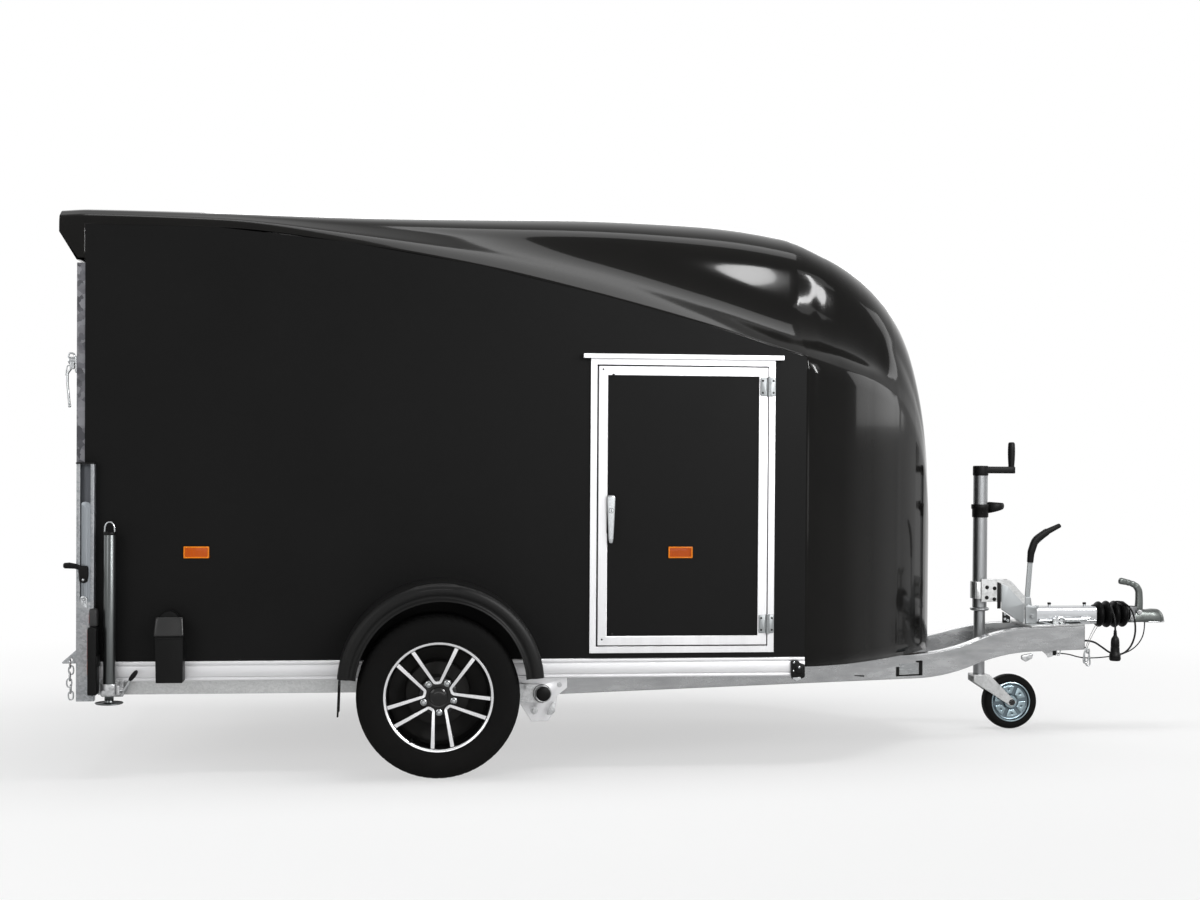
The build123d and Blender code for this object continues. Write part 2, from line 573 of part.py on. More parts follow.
# Galvanised chassis: two side rails under the cross members that carry the floor
rail_y = sill_y - SILL_DEPTH - RAIL_WIDTH / 2 - SEAT_GAP
cross_low_z = board_low_z - CROSS_HEIGHT
nose_half = HALF_WIDTH * 0.6
with BuildPart() as chassis_frame:
    for side in (-1, 1):
        with BuildSketch(Plane.YZ.offset(RAIL_REAR_X)):
            with Locations((side * rail_y, (rail_low_z + cross_low_z) / 2)):
                Rectangle(RAIL_WIDTH, cross_low_z - rail_low_z)
        extrude(amount=RAIL_FRONT_X - RAIL_REAR_X)
    for place in CROSS_PLACES:
        with BuildSketch(Plane.XY.offset(cross_low_z)):
            with Locations((place, 0)):
                Rectangle(CROSS_WIDTH, 2 * (rail_y + RAIL_WIDTH / 2))
        extrude(amount=CROSS_HEIGHT)
    with BuildSketch(Plane.XY.offset(cross_low_z)):
        with Locations(((SPINE_REAR_X + NOSE_CROSS_X) / 2, 0)):
            Rectangle(NOSE_CROSS_X - SPINE_REAR_X, CROSS_WIDTH)
        with Locations((NOSE_CROSS_X, 0)):
            Rectangle(CROSS_WIDTH, 2 * nose_half)
    extrude(amount=CROSS_HEIGHT)
chassis_frame.part.label = "chassis_frame"
export_step(chassis_frame.part, "parts/chassis_frame.step")

# Drawbar beams: rectangular section, swept up in a swan neck and drawn together towards the coupling
beam_slope = (BEAM_REAR_Y - BEAM_FRONT_Y) / (BEAM_FRONT_X - BEAM_REAR_X)


def beam_y(x):
    """Distance of the beam's middle from the centre line at one place along the trailer."""
    return BEAM_REAR_Y - beam_slope * (x - BEAM_REAR_X)


def neck_band(inset):
    """Side view of the beam between its straight ends, drawn inside its skin by the inset."""
    mid_x = (NECK_START_X + NECK_END_X) / 2
    low, high = BEAM_LOW_Z + inset, BEAM_HIGH_Z + inset
    mid = (low + high) / 2
    depth = BEAM_DEPTH - 2 * inset
    with BuildSketch(Plane.XZ) as band:
        with BuildLine():
            Line((BEAM_REAR_X, low), (NECK_START_X, low))
            TangentArc((NECK_START_X, low), (mid_x, mid), tangent=(1, 0))
            TangentArc((mid_x, mid), (NECK_END_X, high), tangent=(NECK_END_X - mid_x, high - low))
            Line((NECK_END_X, high), (BEAM_FRONT_X, high))
            Line((BEAM_FRONT_X, high), (BEAM_FRONT_X, high + depth))
            Line((BEAM_FRONT_X, high + depth), (NECK_END_X, high + depth))
            TangentArc((NECK_END_X, high + depth), (mid_x, mid + depth), tangent=(-1, 0))
            TangentArc((mid_x, mid + depth), (NECK_START_X, low + depth), tangent=(mid_x - NECK_END_X, low - high))
            Line((NECK_START_X, low + depth), (BEAM_REAR_X, low + depth))
            Line((BEAM_REAR_X, low + depth), (BEAM_REAR_X, low))
        make_face()
    return band.sketch


def beam_strip(half):
    """Plan view of the right beam as a straight strip of one half width."""
    with BuildSketch(Plane.XY) as strip:
        with BuildLine():
            Polyline([(BEAM_REAR_X, -BEAM_REAR_Y - half), (BEAM_FRONT_X, -BEAM_FRONT_Y - half),
                      (BEAM_FRONT_X, -BEAM_FRONT_Y + half), (BEAM_REAR_X, -BEAM_REAR_Y + half)], close=True)
        make_face()
    return strip.sketch


with BuildPart() as beam_core:
    extrude(neck_band(BEAM_WALL), amount=HALF_WIDTH, both=True)
    extrude(beam_strip(BEAM_WIDTH / 2 - BEAM_WALL), amount=HALF_WIDTH, mode=Mode.INTERSECT)
with BuildPart() as drawbar_beams:
    extrude(neck_band(0), amount=HALF_WIDTH, both=True)
    extrude(beam_strip(BEAM_WIDTH / 2), amount=HALF_WIDTH, mode=Mode.INTERSECT)
    add(beam_core.part, mode=Mode.SUBTRACT)
    mirror(about=Plane.XZ)
drawbar_beams.part.label = "drawbar_beams"
export_step(drawbar_beams.part, "parts/drawbar_beams.step")

# Plate on the beams, overrun housing, bellows and coupling head
plate_z = BEAM_HIGH_Z + BEAM_DEPTH
plate_top_z = plate_z + MOUNT_PLATE
with BuildPart() as coupling_mount:
    with BuildSketch(Plane.XY.offset(plate_z)):
        with BuildLine():
            rear_half = beam_y(NECK_END_X) + BEAM_WIDTH / 2
            front_half = BEAM_FRONT_Y + BEAM_WIDTH / 2
            Polyline([(NECK_END_X, -rear_half), (BEAM_FRONT_X, -front_half),
                      (BEAM_FRONT_X, front_half), (NECK_END_X, rear_half)], close=True)
        make_face()
    extrude(amount=MOUNT_PLATE)
coupling_mount.part.label = "coupling_mount"
export_step(coupling_mount.part, "parts/coupling_mount.step")

with BuildPart() as overrun_housing:
    with BuildSketch(Plane.YZ.offset(OVERRUN_REAR_X)):
        with Locations((0, TUBE_Z)):
            RectangleRounded(OVERRUN_WIDTH, OVERRUN_HEIGHT, OVERRUN_CORNER)
            Circle(TUBE_RADIUS + SEAT_GAP, mode=Mode.SUBTRACT)
    extrude(amount=OVERRUN_FRONT_X - OVERRUN_REAR_X)
    with BuildSketch(Plane.XY.offset(TUBE_Z + OVERRUN_HEIGHT / 2)):
        with Locations([(x, 0) for x in GREASE_PLACES]):
            Circle(GREASE_RADIUS)
    extrude(amount=GREASE_HEIGHT)
overrun_housing.part.label = "overrun_housing"
export_step(overrun_housing.part, "parts/overrun_housing.step")

fold_length = (BELLOWS_FRONT_X - OVERRUN_FRONT_X) / BELLOWS_FOLDS
bellows_bore = TUBE_RADIUS + 2
bellows_root = BELLOWS_RADIUS - BELLOWS_FOLD_DEPTH
bellows_line = [(OVERRUN_FRONT_X, bellows_bore), (OVERRUN_FRONT_X, bellows_root)]
for fold in range(BELLOWS_FOLDS):
    start = OVERRUN_FRONT_X + fold * fold_length
    bellows_line += [(start + fold_length * 0.4, BELLOWS_RADIUS), (start + fold_length * 0.6, BELLOWS_RADIUS),
                     (start + fold_length, bellows_root)]
bellows_line += [(BELLOWS_FRONT_X, bellows_bore)]
tube_axis = Axis((0, 0, TUBE_Z), (1, 0, 0))
with BuildPart() as bellows:
    with BuildSketch(Plane.XZ):
        with BuildLine():
            Polyline([(x, TUBE_Z + r) for x, r in bellows_line], close=True)
        make_face()
    revolve(axis=tube_axis)
bellows.part.label = "bellows"
export_step(bellows.part, "parts/bellows.step")

head_end_radius = COUPLING_TIP_X - BALL_X
head_rear_x = BALL_X - HEAD_LENGTH
head_low_z = BALL_Z - HEAD_BELOW_BALL
with BuildPart() as coupling_head:
    with BuildSketch(Plane.XY.offset(head_low_z)):
        with BuildLine():
            Line((head_rear_x, -HEAD_REAR_HALF), (BALL_X, -head_end_radius))
            ThreePointArc((BALL_X, -head_end_radius), (COUPLING_TIP_X, 0), (BALL_X, head_end_radius))
            Line((BALL_X, head_end_radius), (head_rear_x, HEAD_REAR_HALF))
            Line((head_rear_x, HEAD_REAR_HALF), (head_rear_x, -HEAD_REAR_HALF))
        make_face()
    extrude(amount=HEAD_HEIGHT)
    fillet(coupling_head.edges().filter_by(Plane.XY).group_by(Axis.Z)[-1], radius=HEAD_ROUND)
    with BuildSketch(Plane.YZ.offset(OVERRUN_REAR_X + HEAD_LENGTH)):
        with Locations((0, TUBE_Z)):
            Circle(TUBE_RADIUS)
    extrude(amount=head_rear_x - OVERRUN_REAR_X - HEAD_LENGTH)
    with BuildSketch(Plane.YZ.offset(BELLOWS_FRONT_X)):
        with Locations((0, TUBE_Z)):
            Circle(COLLAR_RADIUS)
    extrude(amount=head_rear_x + HEAD_ROUND - BELLOWS_FRONT_X)
    with BuildSketch(Plane.XY.offset(head_low_z)):
        with Locations((BALL_X, 0)):
            Circle(BALL_RADIUS)
    extrude(amount=HEAD_BELOW_BALL, mode=Mode.SUBTRACT)
    with Locations((BALL_X, 0, BALL_Z)):
        Sphere(BALL_RADIUS, mode=Mode.SUBTRACT)
coupling_head.part.label = "coupling_head"
export_step(coupling_head.part, "parts/coupling_head.step")

handle_base_z = TUBE_Z + COLLAR_RADIUS + 4 * SEAT_GAP
with BuildPart() as coupling_handle:
    with BuildSketch(Plane.XZ):
        with BuildLine():
            FilletPolyline(*[(x, handle_base_z + rise) for x, rise in HEAD_HANDLE_LINE], radius=HEAD_HANDLE_BAR)
        trace(line_width=HEAD_HANDLE_BAR)
    extrude(amount=HEAD_HANDLE_WIDTH / 2, both=True)
coupling_handle.part.label = "coupling_handle"
export_step(coupling_handle.part, "parts/coupling_handle.step")

lever_y = OVERRUN_WIDTH / 2 + SEAT_GAP
with BuildPart() as handbrake_lever:
    with BuildSketch(Plane.XZ.offset(lever_y)):
        with Locations((LEVER_X, plate_top_z + LEVER_BASE / 2)):
            Rectangle(LEVER_BASE, LEVER_BASE)
    extrude(amount=LEVER_THICK + 2)
    with BuildSketch(Plane.XZ.offset(lever_y + 1)):
        with BuildLine():
            FilletPolyline(*LEVER_LINE, radius=LEVER_BEND)
        trace(line_width=LEVER_BAR)
    extrude(amount=LEVER_THICK)
    with BuildSketch(Plane.XZ.offset(lever_y + LEVER_THICK / 2 + 1 - GRIP_THICK / 2)):
        with BuildLine():
            FilletPolyline(*GRIP_LINE, radius=LEVER_BEND)
        trace(line_width=GRIP_BAR)
    extrude(amount=GRIP_THICK)
handbrake_lever.part.label = "handbrake_lever"
export_step(handbrake_lever.part, "parts/handbrake_lever.step")

# Jockey wheel: clamp and plate, outer tube with crank, inner tube, fork and wheel
clamp_y = OVERRUN_WIDTH / 2 + SEAT_GAP
clamp_foot_x = OVERRUN_REAR_X - 4
clamp_bore = JOCKEY_OUTER_RADIUS + SEAT_GAP
with BuildPart() as jockey_clamp:
    with BuildSketch(Plane.XZ.offset(clamp_y)):
        with BuildLine():
            Polyline([(JOCKEY_X - 10, CLAMP_TOP_Z), (clamp_foot_x - 84, CLAMP_TOP_Z),
                      (clamp_foot_x - 64, CLAMP_TOP_Z - 8), (clamp_foot_x, CLAMP_TOP_Z - 76),
                      (clamp_foot_x, plate_top_z), (NECK_END_X - 6, plate_top_z),
                      (clamp_foot_x - 84, CLAMP_TOP_Z - 96), (JOCKEY_X - 10, CLAMP_TOP_Z - 96)], close=True)
        make_face()
    extrude(amount=CLAMP_PLATE)
    with BuildSketch(Plane.XY.offset(CLAMP_LOW_Z)):
        with Locations((JOCKEY_X, 0)):
            Circle(JOCKEY_OUTER_RADIUS + CLAMP_WALL)
        with Locations((JOCKEY_X, -clamp_y / 2 - 2)):
            Rectangle(2 * (clamp_bore - 2), clamp_y + 4)
        with Locations((JOCKEY_X, 0)):
            Circle(clamp_bore, mode=Mode.SUBTRACT)
    extrude(amount=CLAMP_HEIGHT)
    with BuildSketch(Plane.XZ.offset(clamp_y)):
        with Locations((clamp_foot_x - 6, plate_top_z + 30)):
            Rectangle(8, 60)
    extrude(amount=-2 * clamp_y + 8)
jockey_clamp.part.label = "jockey_clamp"
export_step(jockey_clamp.part, "parts/jockey_clamp.step")

tube_bore = JOCKEY_INNER_RADIUS + SEAT_GAP
tube_cap_z = JOCKEY_TUBE_TOP_Z + CAP_HEIGHT
with BuildPart() as jockey_tube:
    for low_z, height, radius in ((JOCKEY_TUBE_LOW_Z, JOCKEY_TUBE_TOP_Z - JOCKEY_TUBE_LOW_Z, JOCKEY_OUTER_RADIUS),
                                  (JOCKEY_TUBE_LOW_Z, RING_HEIGHT, JOCKEY_OUTER_RADIUS + RING_WALL),
                                  (COLLAR_LOW_Z, COLLAR_HEIGHT, JOCKEY_OUTER_RADIUS + RING_WALL)):
        with BuildSketch(Plane.XY.offset(low_z)):
            with Locations((JOCKEY_X, 0)):
                Circle(radius)
                Circle(tube_bore, mode=Mode.SUBTRACT)
        extrude(amount=height)
    with BuildSketch(Plane.XY.offset(COLLAR_LOW_Z)):
        with Locations((JOCKEY_X + 70, 0)):
            SlotOverall(90, CRANK_WIDTH)
            SlotOverall(50, CRANK_WIDTH - 20, mode=Mode.SUBTRACT)
    extrude(amount=COLLAR_HEIGHT)
    with BuildSketch(Plane.XY.offset(JOCKEY_TUBE_TOP_Z)):
        with Locations((JOCKEY_X, 0)):
            Circle(JOCKEY_OUTER_RADIUS + 3)
    extrude(amount=CAP_HEIGHT)
    with BuildSketch(Plane.XY.offset(tube_cap_z)):
        with Locations((JOCKEY_X + CRANK_REACH / 2, 0)):
            SlotOverall(CRANK_REACH + 54, CRANK_WIDTH)
    extrude(amount=CRANK_HEIGHT)
    with BuildSketch(Plane.XY.offset(tube_cap_z)):
        with Locations((JOCKEY_X + CRANK_REACH, 0)):
            Circle(CRANK_GRIP_RADIUS)
    extrude(amount=CRANK_GRIP_HEIGHT)
jockey_tube.part.label = "jockey_tube"
export_step(jockey_tube.part, "parts/jockey_tube.step")

jockey_hub_x = JOCKEY_X + JOCKEY_TRAIL
with BuildPart() as jockey_leg:
    with BuildSketch(Plane.XY.offset(JOCKEY_FORK_TOP_Z + SEAT_GAP)):
        with Locations((JOCKEY_X, 0)):
            Circle(JOCKEY_INNER_RADIUS)
    extrude(amount=JOCKEY_LEG_TOP_Z - JOCKEY_FORK_TOP_Z)
jockey_leg.part.label = "jockey_leg"
export_step(jockey_leg.part, "parts/jockey_leg.step")

fork_y = JOCKEY_WHEEL_WIDTH / 2 + FORK_GAP
with BuildPart() as jockey_fork:
    for side in (-1, 1):
        with BuildSketch(Plane.XZ.offset(-side * fork_y)):
            with BuildLine():
                Polyline([(JOCKEY_X - FORK_HALF, JOCKEY_FORK_TOP_Z), (JOCKEY_X + FORK_HALF, JOCKEY_FORK_TOP_Z),
                          (jockey_hub_x + 18, JOCKEY_WHEEL_RADIUS), (jockey_hub_x, JOCKEY_WHEEL_RADIUS - 18),
                          (jockey_hub_x - 18, JOCKEY_WHEEL_RADIUS - 8),
                          (JOCKEY_X - FORK_HALF, JOCKEY_FORK_TOP_Z - 30)], close=True)
            make_face()
        extrude(amount=-side * FORK_PLATE)
    with BuildSketch(Plane.XY.offset(JOCKEY_FORK_TOP_Z)):
        with Locations((JOCKEY_X, 0)):
            Rectangle(2 * FORK_HALF, 2 * (fork_y + FORK_PLATE))
    extrude(amount=-8)
    with BuildSketch(Plane.XZ):
        with Locations((jockey_hub_x, JOCKEY_WHEEL_RADIUS)):
            Circle(JOCKEY_AXLE_RADIUS)
    extrude(amount=fork_y + FORK_PLATE + 6, both=True)
jockey_fork.part.label = "jockey_fork"
export_step(jockey_fork.part, "parts/jockey_fork.step")

jockey_axis = Axis((jockey_hub_x, 0, JOCKEY_WHEEL_RADIUS), (0, 1, 0))
jockey_half = JOCKEY_WHEEL_WIDTH / 2
jockey_section = [(jockey_half - 4, JOCKEY_RIM_RADIUS), (jockey_half, JOCKEY_WHEEL_RADIUS - 14),
                  (jockey_half - 9, JOCKEY_WHEEL_RADIUS - 3), (jockey_half - 18, JOCKEY_WHEEL_RADIUS)]
jockey_section += [(-y, r) for y, r in reversed(jockey_section)]
with BuildPart() as jockey_tyre:
    with BuildSketch(Plane.YZ.offset(jockey_hub_x)):
        with BuildLine():
            Polyline([(y, JOCKEY_WHEEL_RADIUS + r) for y, r in jockey_section], close=True)
        make_face()
    revolve(axis=jockey_axis)
jockey_tyre.part.label = "jockey_tyre"
export_step(jockey_tyre.part, "parts/jockey_tyre.step")

with BuildPart() as jockey_rim:
    with BuildSketch(Plane.XZ.offset(JOCKEY_RIM_RECESS - jockey_half)):
        with Locations((jockey_hub_x, JOCKEY_WHEEL_RADIUS)):
            Circle(JOCKEY_RIM_RADIUS - SEAT_GAP)
            Circle(JOCKEY_AXLE_RADIUS + HUB_RUNNING_GAP, mode=Mode.SUBTRACT)
    extrude(amount=JOCKEY_WHEEL_WIDTH - 2 * JOCKEY_RIM_RECESS)
jockey_rim.part.label = "jockey_rim"
export_step(jockey_rim.part, "parts/jockey_rim.step")

# Suspension: a cross tube in four hanger plates, with a trailing arm and stub axle at each end
hanger_y = rail_y + RAIL_WIDTH / 2 + SEAT_GAP
hanger_inner_y = hanger_y - RAIL_WIDTH - HANGER_THICK - 2 * SEAT_GAP
arm_y = hanger_y + HANGER_THICK + ARM_GAP
with BuildPart() as suspension_beam:
    for side in (-1, 1):
        for plate_y in (hanger_y, hanger_inner_y):
            with BuildSketch(Plane.XZ.offset(-side * plate_y)):
                with BuildLine():
                    Polyline([(ARM_PIVOT_X - HANGER_REACH, sill_low_z - SEAT_GAP),
                              (ARM_PIVOT_X - HANGER_REACH, ARM_PIVOT_Z - 24),
                              (ARM_PIVOT_X - 40, HANGER_LOW_Z), (ARM_PIVOT_X + 20, HANGER_LOW_Z),
                              (ARM_PIVOT_X + 46, HANGER_LOW_Z + 32), (ARM_PIVOT_X + 56, ARM_PIVOT_Z - 12),
                              (ARM_PIVOT_X + HANGER_REACH, ARM_PIVOT_Z + 16),
                              (ARM_PIVOT_X + HANGER_REACH, sill_low_z - SEAT_GAP)], close=True)
                make_face()
            extrude(amount=-side * HANGER_THICK)
    with BuildSketch(Plane.XZ):
        with Locations((ARM_PIVOT_X, ARM_PIVOT_Z)):
            Circle(PIVOT_RADIUS)
    extrude(amount=arm_y + ARM_THICK + 8, both=True)
suspension_beam.part.label = "suspension_beam"
export_step(suspension_beam.part, "parts/suspension_beam.step")

with BuildPart() as trailing_arms:
    for side in (-1, 1):
        with BuildSketch(Plane.XZ.offset(-side * arm_y)):
            with BuildLine():
                Polyline([(ARM_PIVOT_X, ARM_PIVOT_Z + ARM_EYE_RADIUS), (AXLE_X, WHEEL_RADIUS + ARM_END_RADIUS),
                          (AXLE_X - ARM_END_RADIUS, WHEEL_RADIUS), (AXLE_X, WHEEL_RADIUS - ARM_END_RADIUS),
                          (ARM_PIVOT_X, ARM_PIVOT_Z - ARM_EYE_RADIUS),
                          (ARM_PIVOT_X + ARM_EYE_RADIUS, ARM_PIVOT_Z)], close=True)
            make_face()
            with Locations((ARM_PIVOT_X, ARM_PIVOT_Z)):
                Circle(PIVOT_RADIUS + SEAT_GAP, mode=Mode.SUBTRACT)
        extrude(amount=-side * ARM_THICK)
        with BuildSketch(Plane.XZ.offset(-side * (arm_y + ARM_THICK))):
            with Locations((AXLE_X, WHEEL_RADIUS)):
                Circle(STUB_RADIUS)
        extrude(amount=-side * STUB_LENGTH)
trailing_arms.part.label = "trailing_arms"
export_step(trailing_arms.part, "parts/trailing_arms.step")

# Road wheels: hollow tyre, alloy rim with five forked spokes, and the brake drum on the stub axle
wheel_axis = Axis((AXLE_X, 0, WHEEL_RADIUS), (0, 1, 0))
spoke_face_y = TRACK_Y + RIM_WIDTH / 2 - SPOKE_RECESS
hub_back_y = arm_y + ARM_THICK + HUB_GAP
for name, side in SIDES:
    middle = side * TRACK_Y
    tyre_line = list(TYRE_OUTSIDE) + list(TYRE_INSIDE)
    tyre_line += [(-y, drop) for y, drop in reversed(TYRE_INSIDE)]
    tyre_line += [(-y, drop) for y, drop in reversed(TYRE_OUTSIDE)]
    with BuildPart() as tyre:
        with BuildSketch(Plane.YZ.offset(AXLE_X)):
            with BuildLine():
                Polyline([(middle + y, 2 * WHEEL_RADIUS - drop) for y, drop in tyre_line], close=True)
            make_face()
        revolve(axis=wheel_axis)
    tyre.part.label = f"tyre_{name}"
    export_step(tyre.part, f"parts/tyre_{name}.step")

    with BuildPart() as rim:
        with BuildSketch(Plane.YZ.offset(AXLE_X)):
            with BuildLine():
                edge = RIM_WIDTH / 2
                barrel = [(-edge, RIM_RADIUS), (-edge + RIM_LIP, BEAD_RADIUS), (edge - RIM_LIP, BEAD_RADIUS),
                          (edge, RIM_RADIUS), (edge, BARREL_RADIUS), (-edge, BARREL_RADIUS)]
                Polyline([(middle + y, WHEEL_RADIUS + r) for y, r in barrel], close=True)
            make_face()
        revolve(axis=wheel_axis)
        with BuildSketch(Plane.XZ.offset(-side * spoke_face_y)):
            for fork in range(SPOKE_COUNT):
                turn = math.radians(SPOKE_TURN + 360 / SPOKE_COUNT * fork)
                corners = [(AXLE_X + along * math.cos(turn) - across * math.sin(turn),
                            WHEEL_RADIUS + along * math.sin(turn) + across * math.cos(turn))
                           for along, across in FORK_LINE]
                with BuildLine(mode=Mode.PRIVATE) as fork_line:
                    FilletPolyline(*corners, radius=SPOKE_BEND)
                trace(fork_line.line, line_width=SPOKE_WIDTH)
            with Locations((AXLE_X, WHEEL_RADIUS)):
                Circle(HUB_RADIUS)
        extrude(amount=side * SPOKE_DEPTH)
    rim.part.label = f"rim_{name}"
    export_step(rim.part, f"parts/rim_{name}.step")

    with BuildPart() as hub_drum:
        for radius, width in ((DRUM_RADIUS, DRUM_WIDTH),
                              (HUB_RADIUS - 2, spoke_face_y - SPOKE_DEPTH - SEAT_GAP - hub_back_y)):
            with BuildSketch(Plane.XZ.offset(-side * hub_back_y)):
                with Locations((AXLE_X, WHEEL_RADIUS)):
                    Circle(radius)
            extrude(amount=-side * width)
        with BuildSketch(Plane.XZ.offset(-side * hub_back_y)):
            with Locations((AXLE_X, WHEEL_RADIUS)):
                Circle(STUB_RADIUS + HUB_RUNNING_GAP)
        extrude(amount=-side * (STUB_LENGTH - 2), mode=Mode.SUBTRACT)
    hub_drum.part.label = f"hub_{name}"
    export_step(hub_drum.part, f"parts/hub_{name}.step")

# Mudguards: one moulded section carried round the wheel and down into short feet, and the flap behind
guard_x = AXLE_X + GUARD_SHIFT
guard_z = WHEEL_RADIUS + GUARD_RISE
guard_section = GUARD_OUTSIDE + GUARD_INSIDE
with BuildPart() as mudguards:
    for side in (-1, 1):
        with BuildSketch(Plane.XY.offset(guard_z)):
            with BuildLine():
                Polyline([(guard_x + GUARD_RADIUS - drop, side * (GUARD_INNER_Y + out))
                          for out, drop in guard_section], close=True)
            make_face()
        revolve(axis=Axis((guard_x, 0, guard_z), (0, -1, 0)), revolution_arc=180)
        for end in (-1, 1):
            with BuildSketch(Plane.XY.offset(guard_z)):
                with BuildLine():
                    Polyline([(guard_x + end * (GUARD_RADIUS - drop), side * (GUARD_INNER_Y + out))
                              for out, drop in guard_section], close=True)
                make_face()
            extrude(amount=-GUARD_FOOT)
mudguards.part.label = "mudguards"
export_step(mudguards.part, "parts/mudguards.step")

flap_y = GUARD_INNER_Y + GUARD_OUTSIDE[-1][0] - FLAP_INSET - FLAP_SIZE[1] / 2
flap_top_z = guard_z - GUARD_FOOT - SEAT_GAP
with BuildPart() as mud_flaps:
    for side in (-1, 1):
        with BuildSketch(Plane.XY.offset(flap_top_z)):
            with Locations((guard_x - GUARD_RADIUS + FLAP_SIZE[0] / 2, side * flap_y)):
                Rectangle(FLAP_SIZE[0], FLAP_SIZE[1])
        extrude(amount=-FLAP_SIZE[2])
mud_flaps.part.label = "mud_flaps"
export_step(mud_flaps.part, "parts/mud_flaps.step")

# Corner posts: channels open outwards with an ear plate, each with the ramp's spring tube in its recess
post_mid_x = (POST_FRONT_X + POST_REAR_X) / 2
post_web_y = HALF_WIDTH + SEAT_GAP
with BuildPart() as corner_posts:
    for side in (-1, 1):
        with BuildSketch(Plane.XY.offset(POST_LOW_Z)):
            with Locations((post_mid_x, side * (post_web_y + POST_DEPTH / 2))):
                Rectangle(POST_FRONT_X - POST_REAR_X, POST_DEPTH)
            with Locations((post_mid_x, side * (post_web_y + POST_DEPTH / 2 + POST_WALL))):
                Rectangle(POST_FRONT_X - POST_REAR_X - 2 * POST_WALL, POST_DEPTH, mode=Mode.SUBTRACT)
        extrude(amount=POST_TOP_Z - POST_LOW_Z)
        with BuildSketch(Plane.XZ.offset(-side * (post_web_y + POST_DEPTH / 2))):
            with BuildLine():
                Polyline([(POST_REAR_X, EAR_LOW_Z), (POST_REAR_X - EAR_REACH, EAR_LOW_Z),
                          (POST_REAR_X, EAR_LOW_Z + EAR_HEIGHT)], close=True)
            make_face()
        extrude(amount=-side * POST_WALL)
corner_posts.part.label = "corner_posts"
export_step(corner_posts.part, "parts/corner_posts.step")

strut_y = post_web_y + POST_WALL + STRUT_STEPS[0][0] + SEAT_GAP
grip_y = post_web_y + POST_WALL + STRUT_STEPS[2][0] + SEAT_GAP
with BuildPart() as ramp_struts:
    for side in (-1, 1):
        for radius, low_z, high_z in STRUT_STEPS:
            with BuildSketch(Plane.XY.offset(low_z)):
                with Locations((post_mid_x, side * (grip_y if low_z == STRUT_STEPS[2][1] else strut_y))):
                    Circle(radius)
            extrude(amount=high_z - low_z)
        with BuildSketch(Plane.XZ.offset(-side * (post_web_y + POST_DEPTH + SEAT_GAP))):
            with Locations((post_mid_x - STRUT_HANDLE[0] / 2, STRUT_HANDLE_Z)):
                RectangleRounded(STRUT_HANDLE[0], STRUT_HANDLE[2], 8)
        extrude(amount=-side * STRUT_HANDLE[1])
        with BuildSketch(Plane.XZ.offset(-side * grip_y)):
            with Locations((post_mid_x - 8, STRUT_HANDLE_Z)):
                Rectangle(18, 20)
        extrude(amount=-side * (post_web_y + POST_DEPTH + SEAT_GAP + STRUT_HANDLE[1] / 2 - grip_y))
ramp_struts.part.label = "ramp_struts"
export_step(ramp_struts.part, "parts/ramp_struts.step")

# Tail lamps outboard of the posts, marker lamps on the sills and amber reflectors on the walls
lamp_inner_y = post_web_y + POST_DEPTH + SEAT_GAP
with BuildPart() as tail_lamps:
    for side in (-1, 1):
        low_z = LAMP_LOW_Z
        for depth, width, height in (LAMP_SIZE, LAMP_TOP_SIZE):
            with BuildSketch(Plane.YZ.offset(LAMP_X)):
                with Locations((side * (lamp_inner_y + width / 2), low_z + height / 2)):
                    RectangleRounded(width, height, 8)
            extrude(amount=depth)
            low_z += height - 8
tail_lamps.part.label = "tail_lamps"
export_step(tail_lamps.part, "parts/tail_lamps.step")

with BuildPart() as marker_lamps:
    for side in (-1, 1):
        with BuildSketch(Plane.XZ.offset(-side * (sill_y + SEAT_GAP))):
            with Locations((PANEL_FRONT_X - MARKER_INSET, MARKER_Z)):
                RectangleRounded(MARKER_SIZE[0], MARKER_SIZE[2], 9)
        extrude(amount=-side * MARKER_SIZE[1])
marker_lamps.part.label = "marker_lamps"
export_step(marker_lamps.part, "parts/marker_lamps.step")

with BuildPart() as reflectors:
    for x, side in ((REFLECTOR_REAR_X, -1), (REFLECTOR_REAR_X, 1), (REFLECTOR_FRONT_X, 1)):
        with BuildSketch(Plane.XZ.offset(-side * HALF_WIDTH)):
            with Locations((x, REFLECTOR_Z)):
                RectangleRounded(REFLECTOR_SIZE[0], REFLECTOR_SIZE[2], 5)
        extrude(amount=-side * REFLECTOR_SIZE[1])
reflectors.part.label = "reflectors"
export_step(reflectors.part, "parts/reflectors.step")

with BuildPart() as door_reflector:
    with BuildSketch(right_face.offset(DOOR_LEAF_PROUD / 2)):
        with Locations((REFLECTOR_FRONT_X, REFLECTOR_Z)):
            RectangleRounded(REFLECTOR_SIZE[0], REFLECTOR_SIZE[2], 5)
    extrude(amount=REFLECTOR_SIZE[1])
door_reflector.part.label = "door_reflector"
export_step(door_reflector.part, "parts/door_reflector.step")

# Ramp latches: a block on the ramp's edge bar with a hanging lever
latch_y = RAMP_HALF_WIDTH - RAMP_FRAME_BAR / 2
with BuildPart() as ramp_latches:
    for side in (-1, 1):
        with BuildSketch(Plane.YZ.offset(ramp_back_x)):
            with Locations((side * latch_y, LATCH_Z)):
                Rectangle(RAMP_FRAME_BAR, LATCH_BLOCK[1])
        extrude(amount=-LATCH_BLOCK[0])
        with BuildSketch(Plane.YZ.offset(ramp_back_x - LATCH_BLOCK[0])):
            with Locations((side * latch_y, LATCH_Z + LATCH_LEVER[1] / 2 - LATCH_LEVER[2] / 2)):
                SlotOverall(LATCH_LEVER[2], LATCH_LEVER[1], rotation=90)
        extrude(amount=-LATCH_LEVER[0])
ramp_latches.part.label = "ramp_latches"
export_step(ramp_latches.part, "parts/ramp_latches.step")

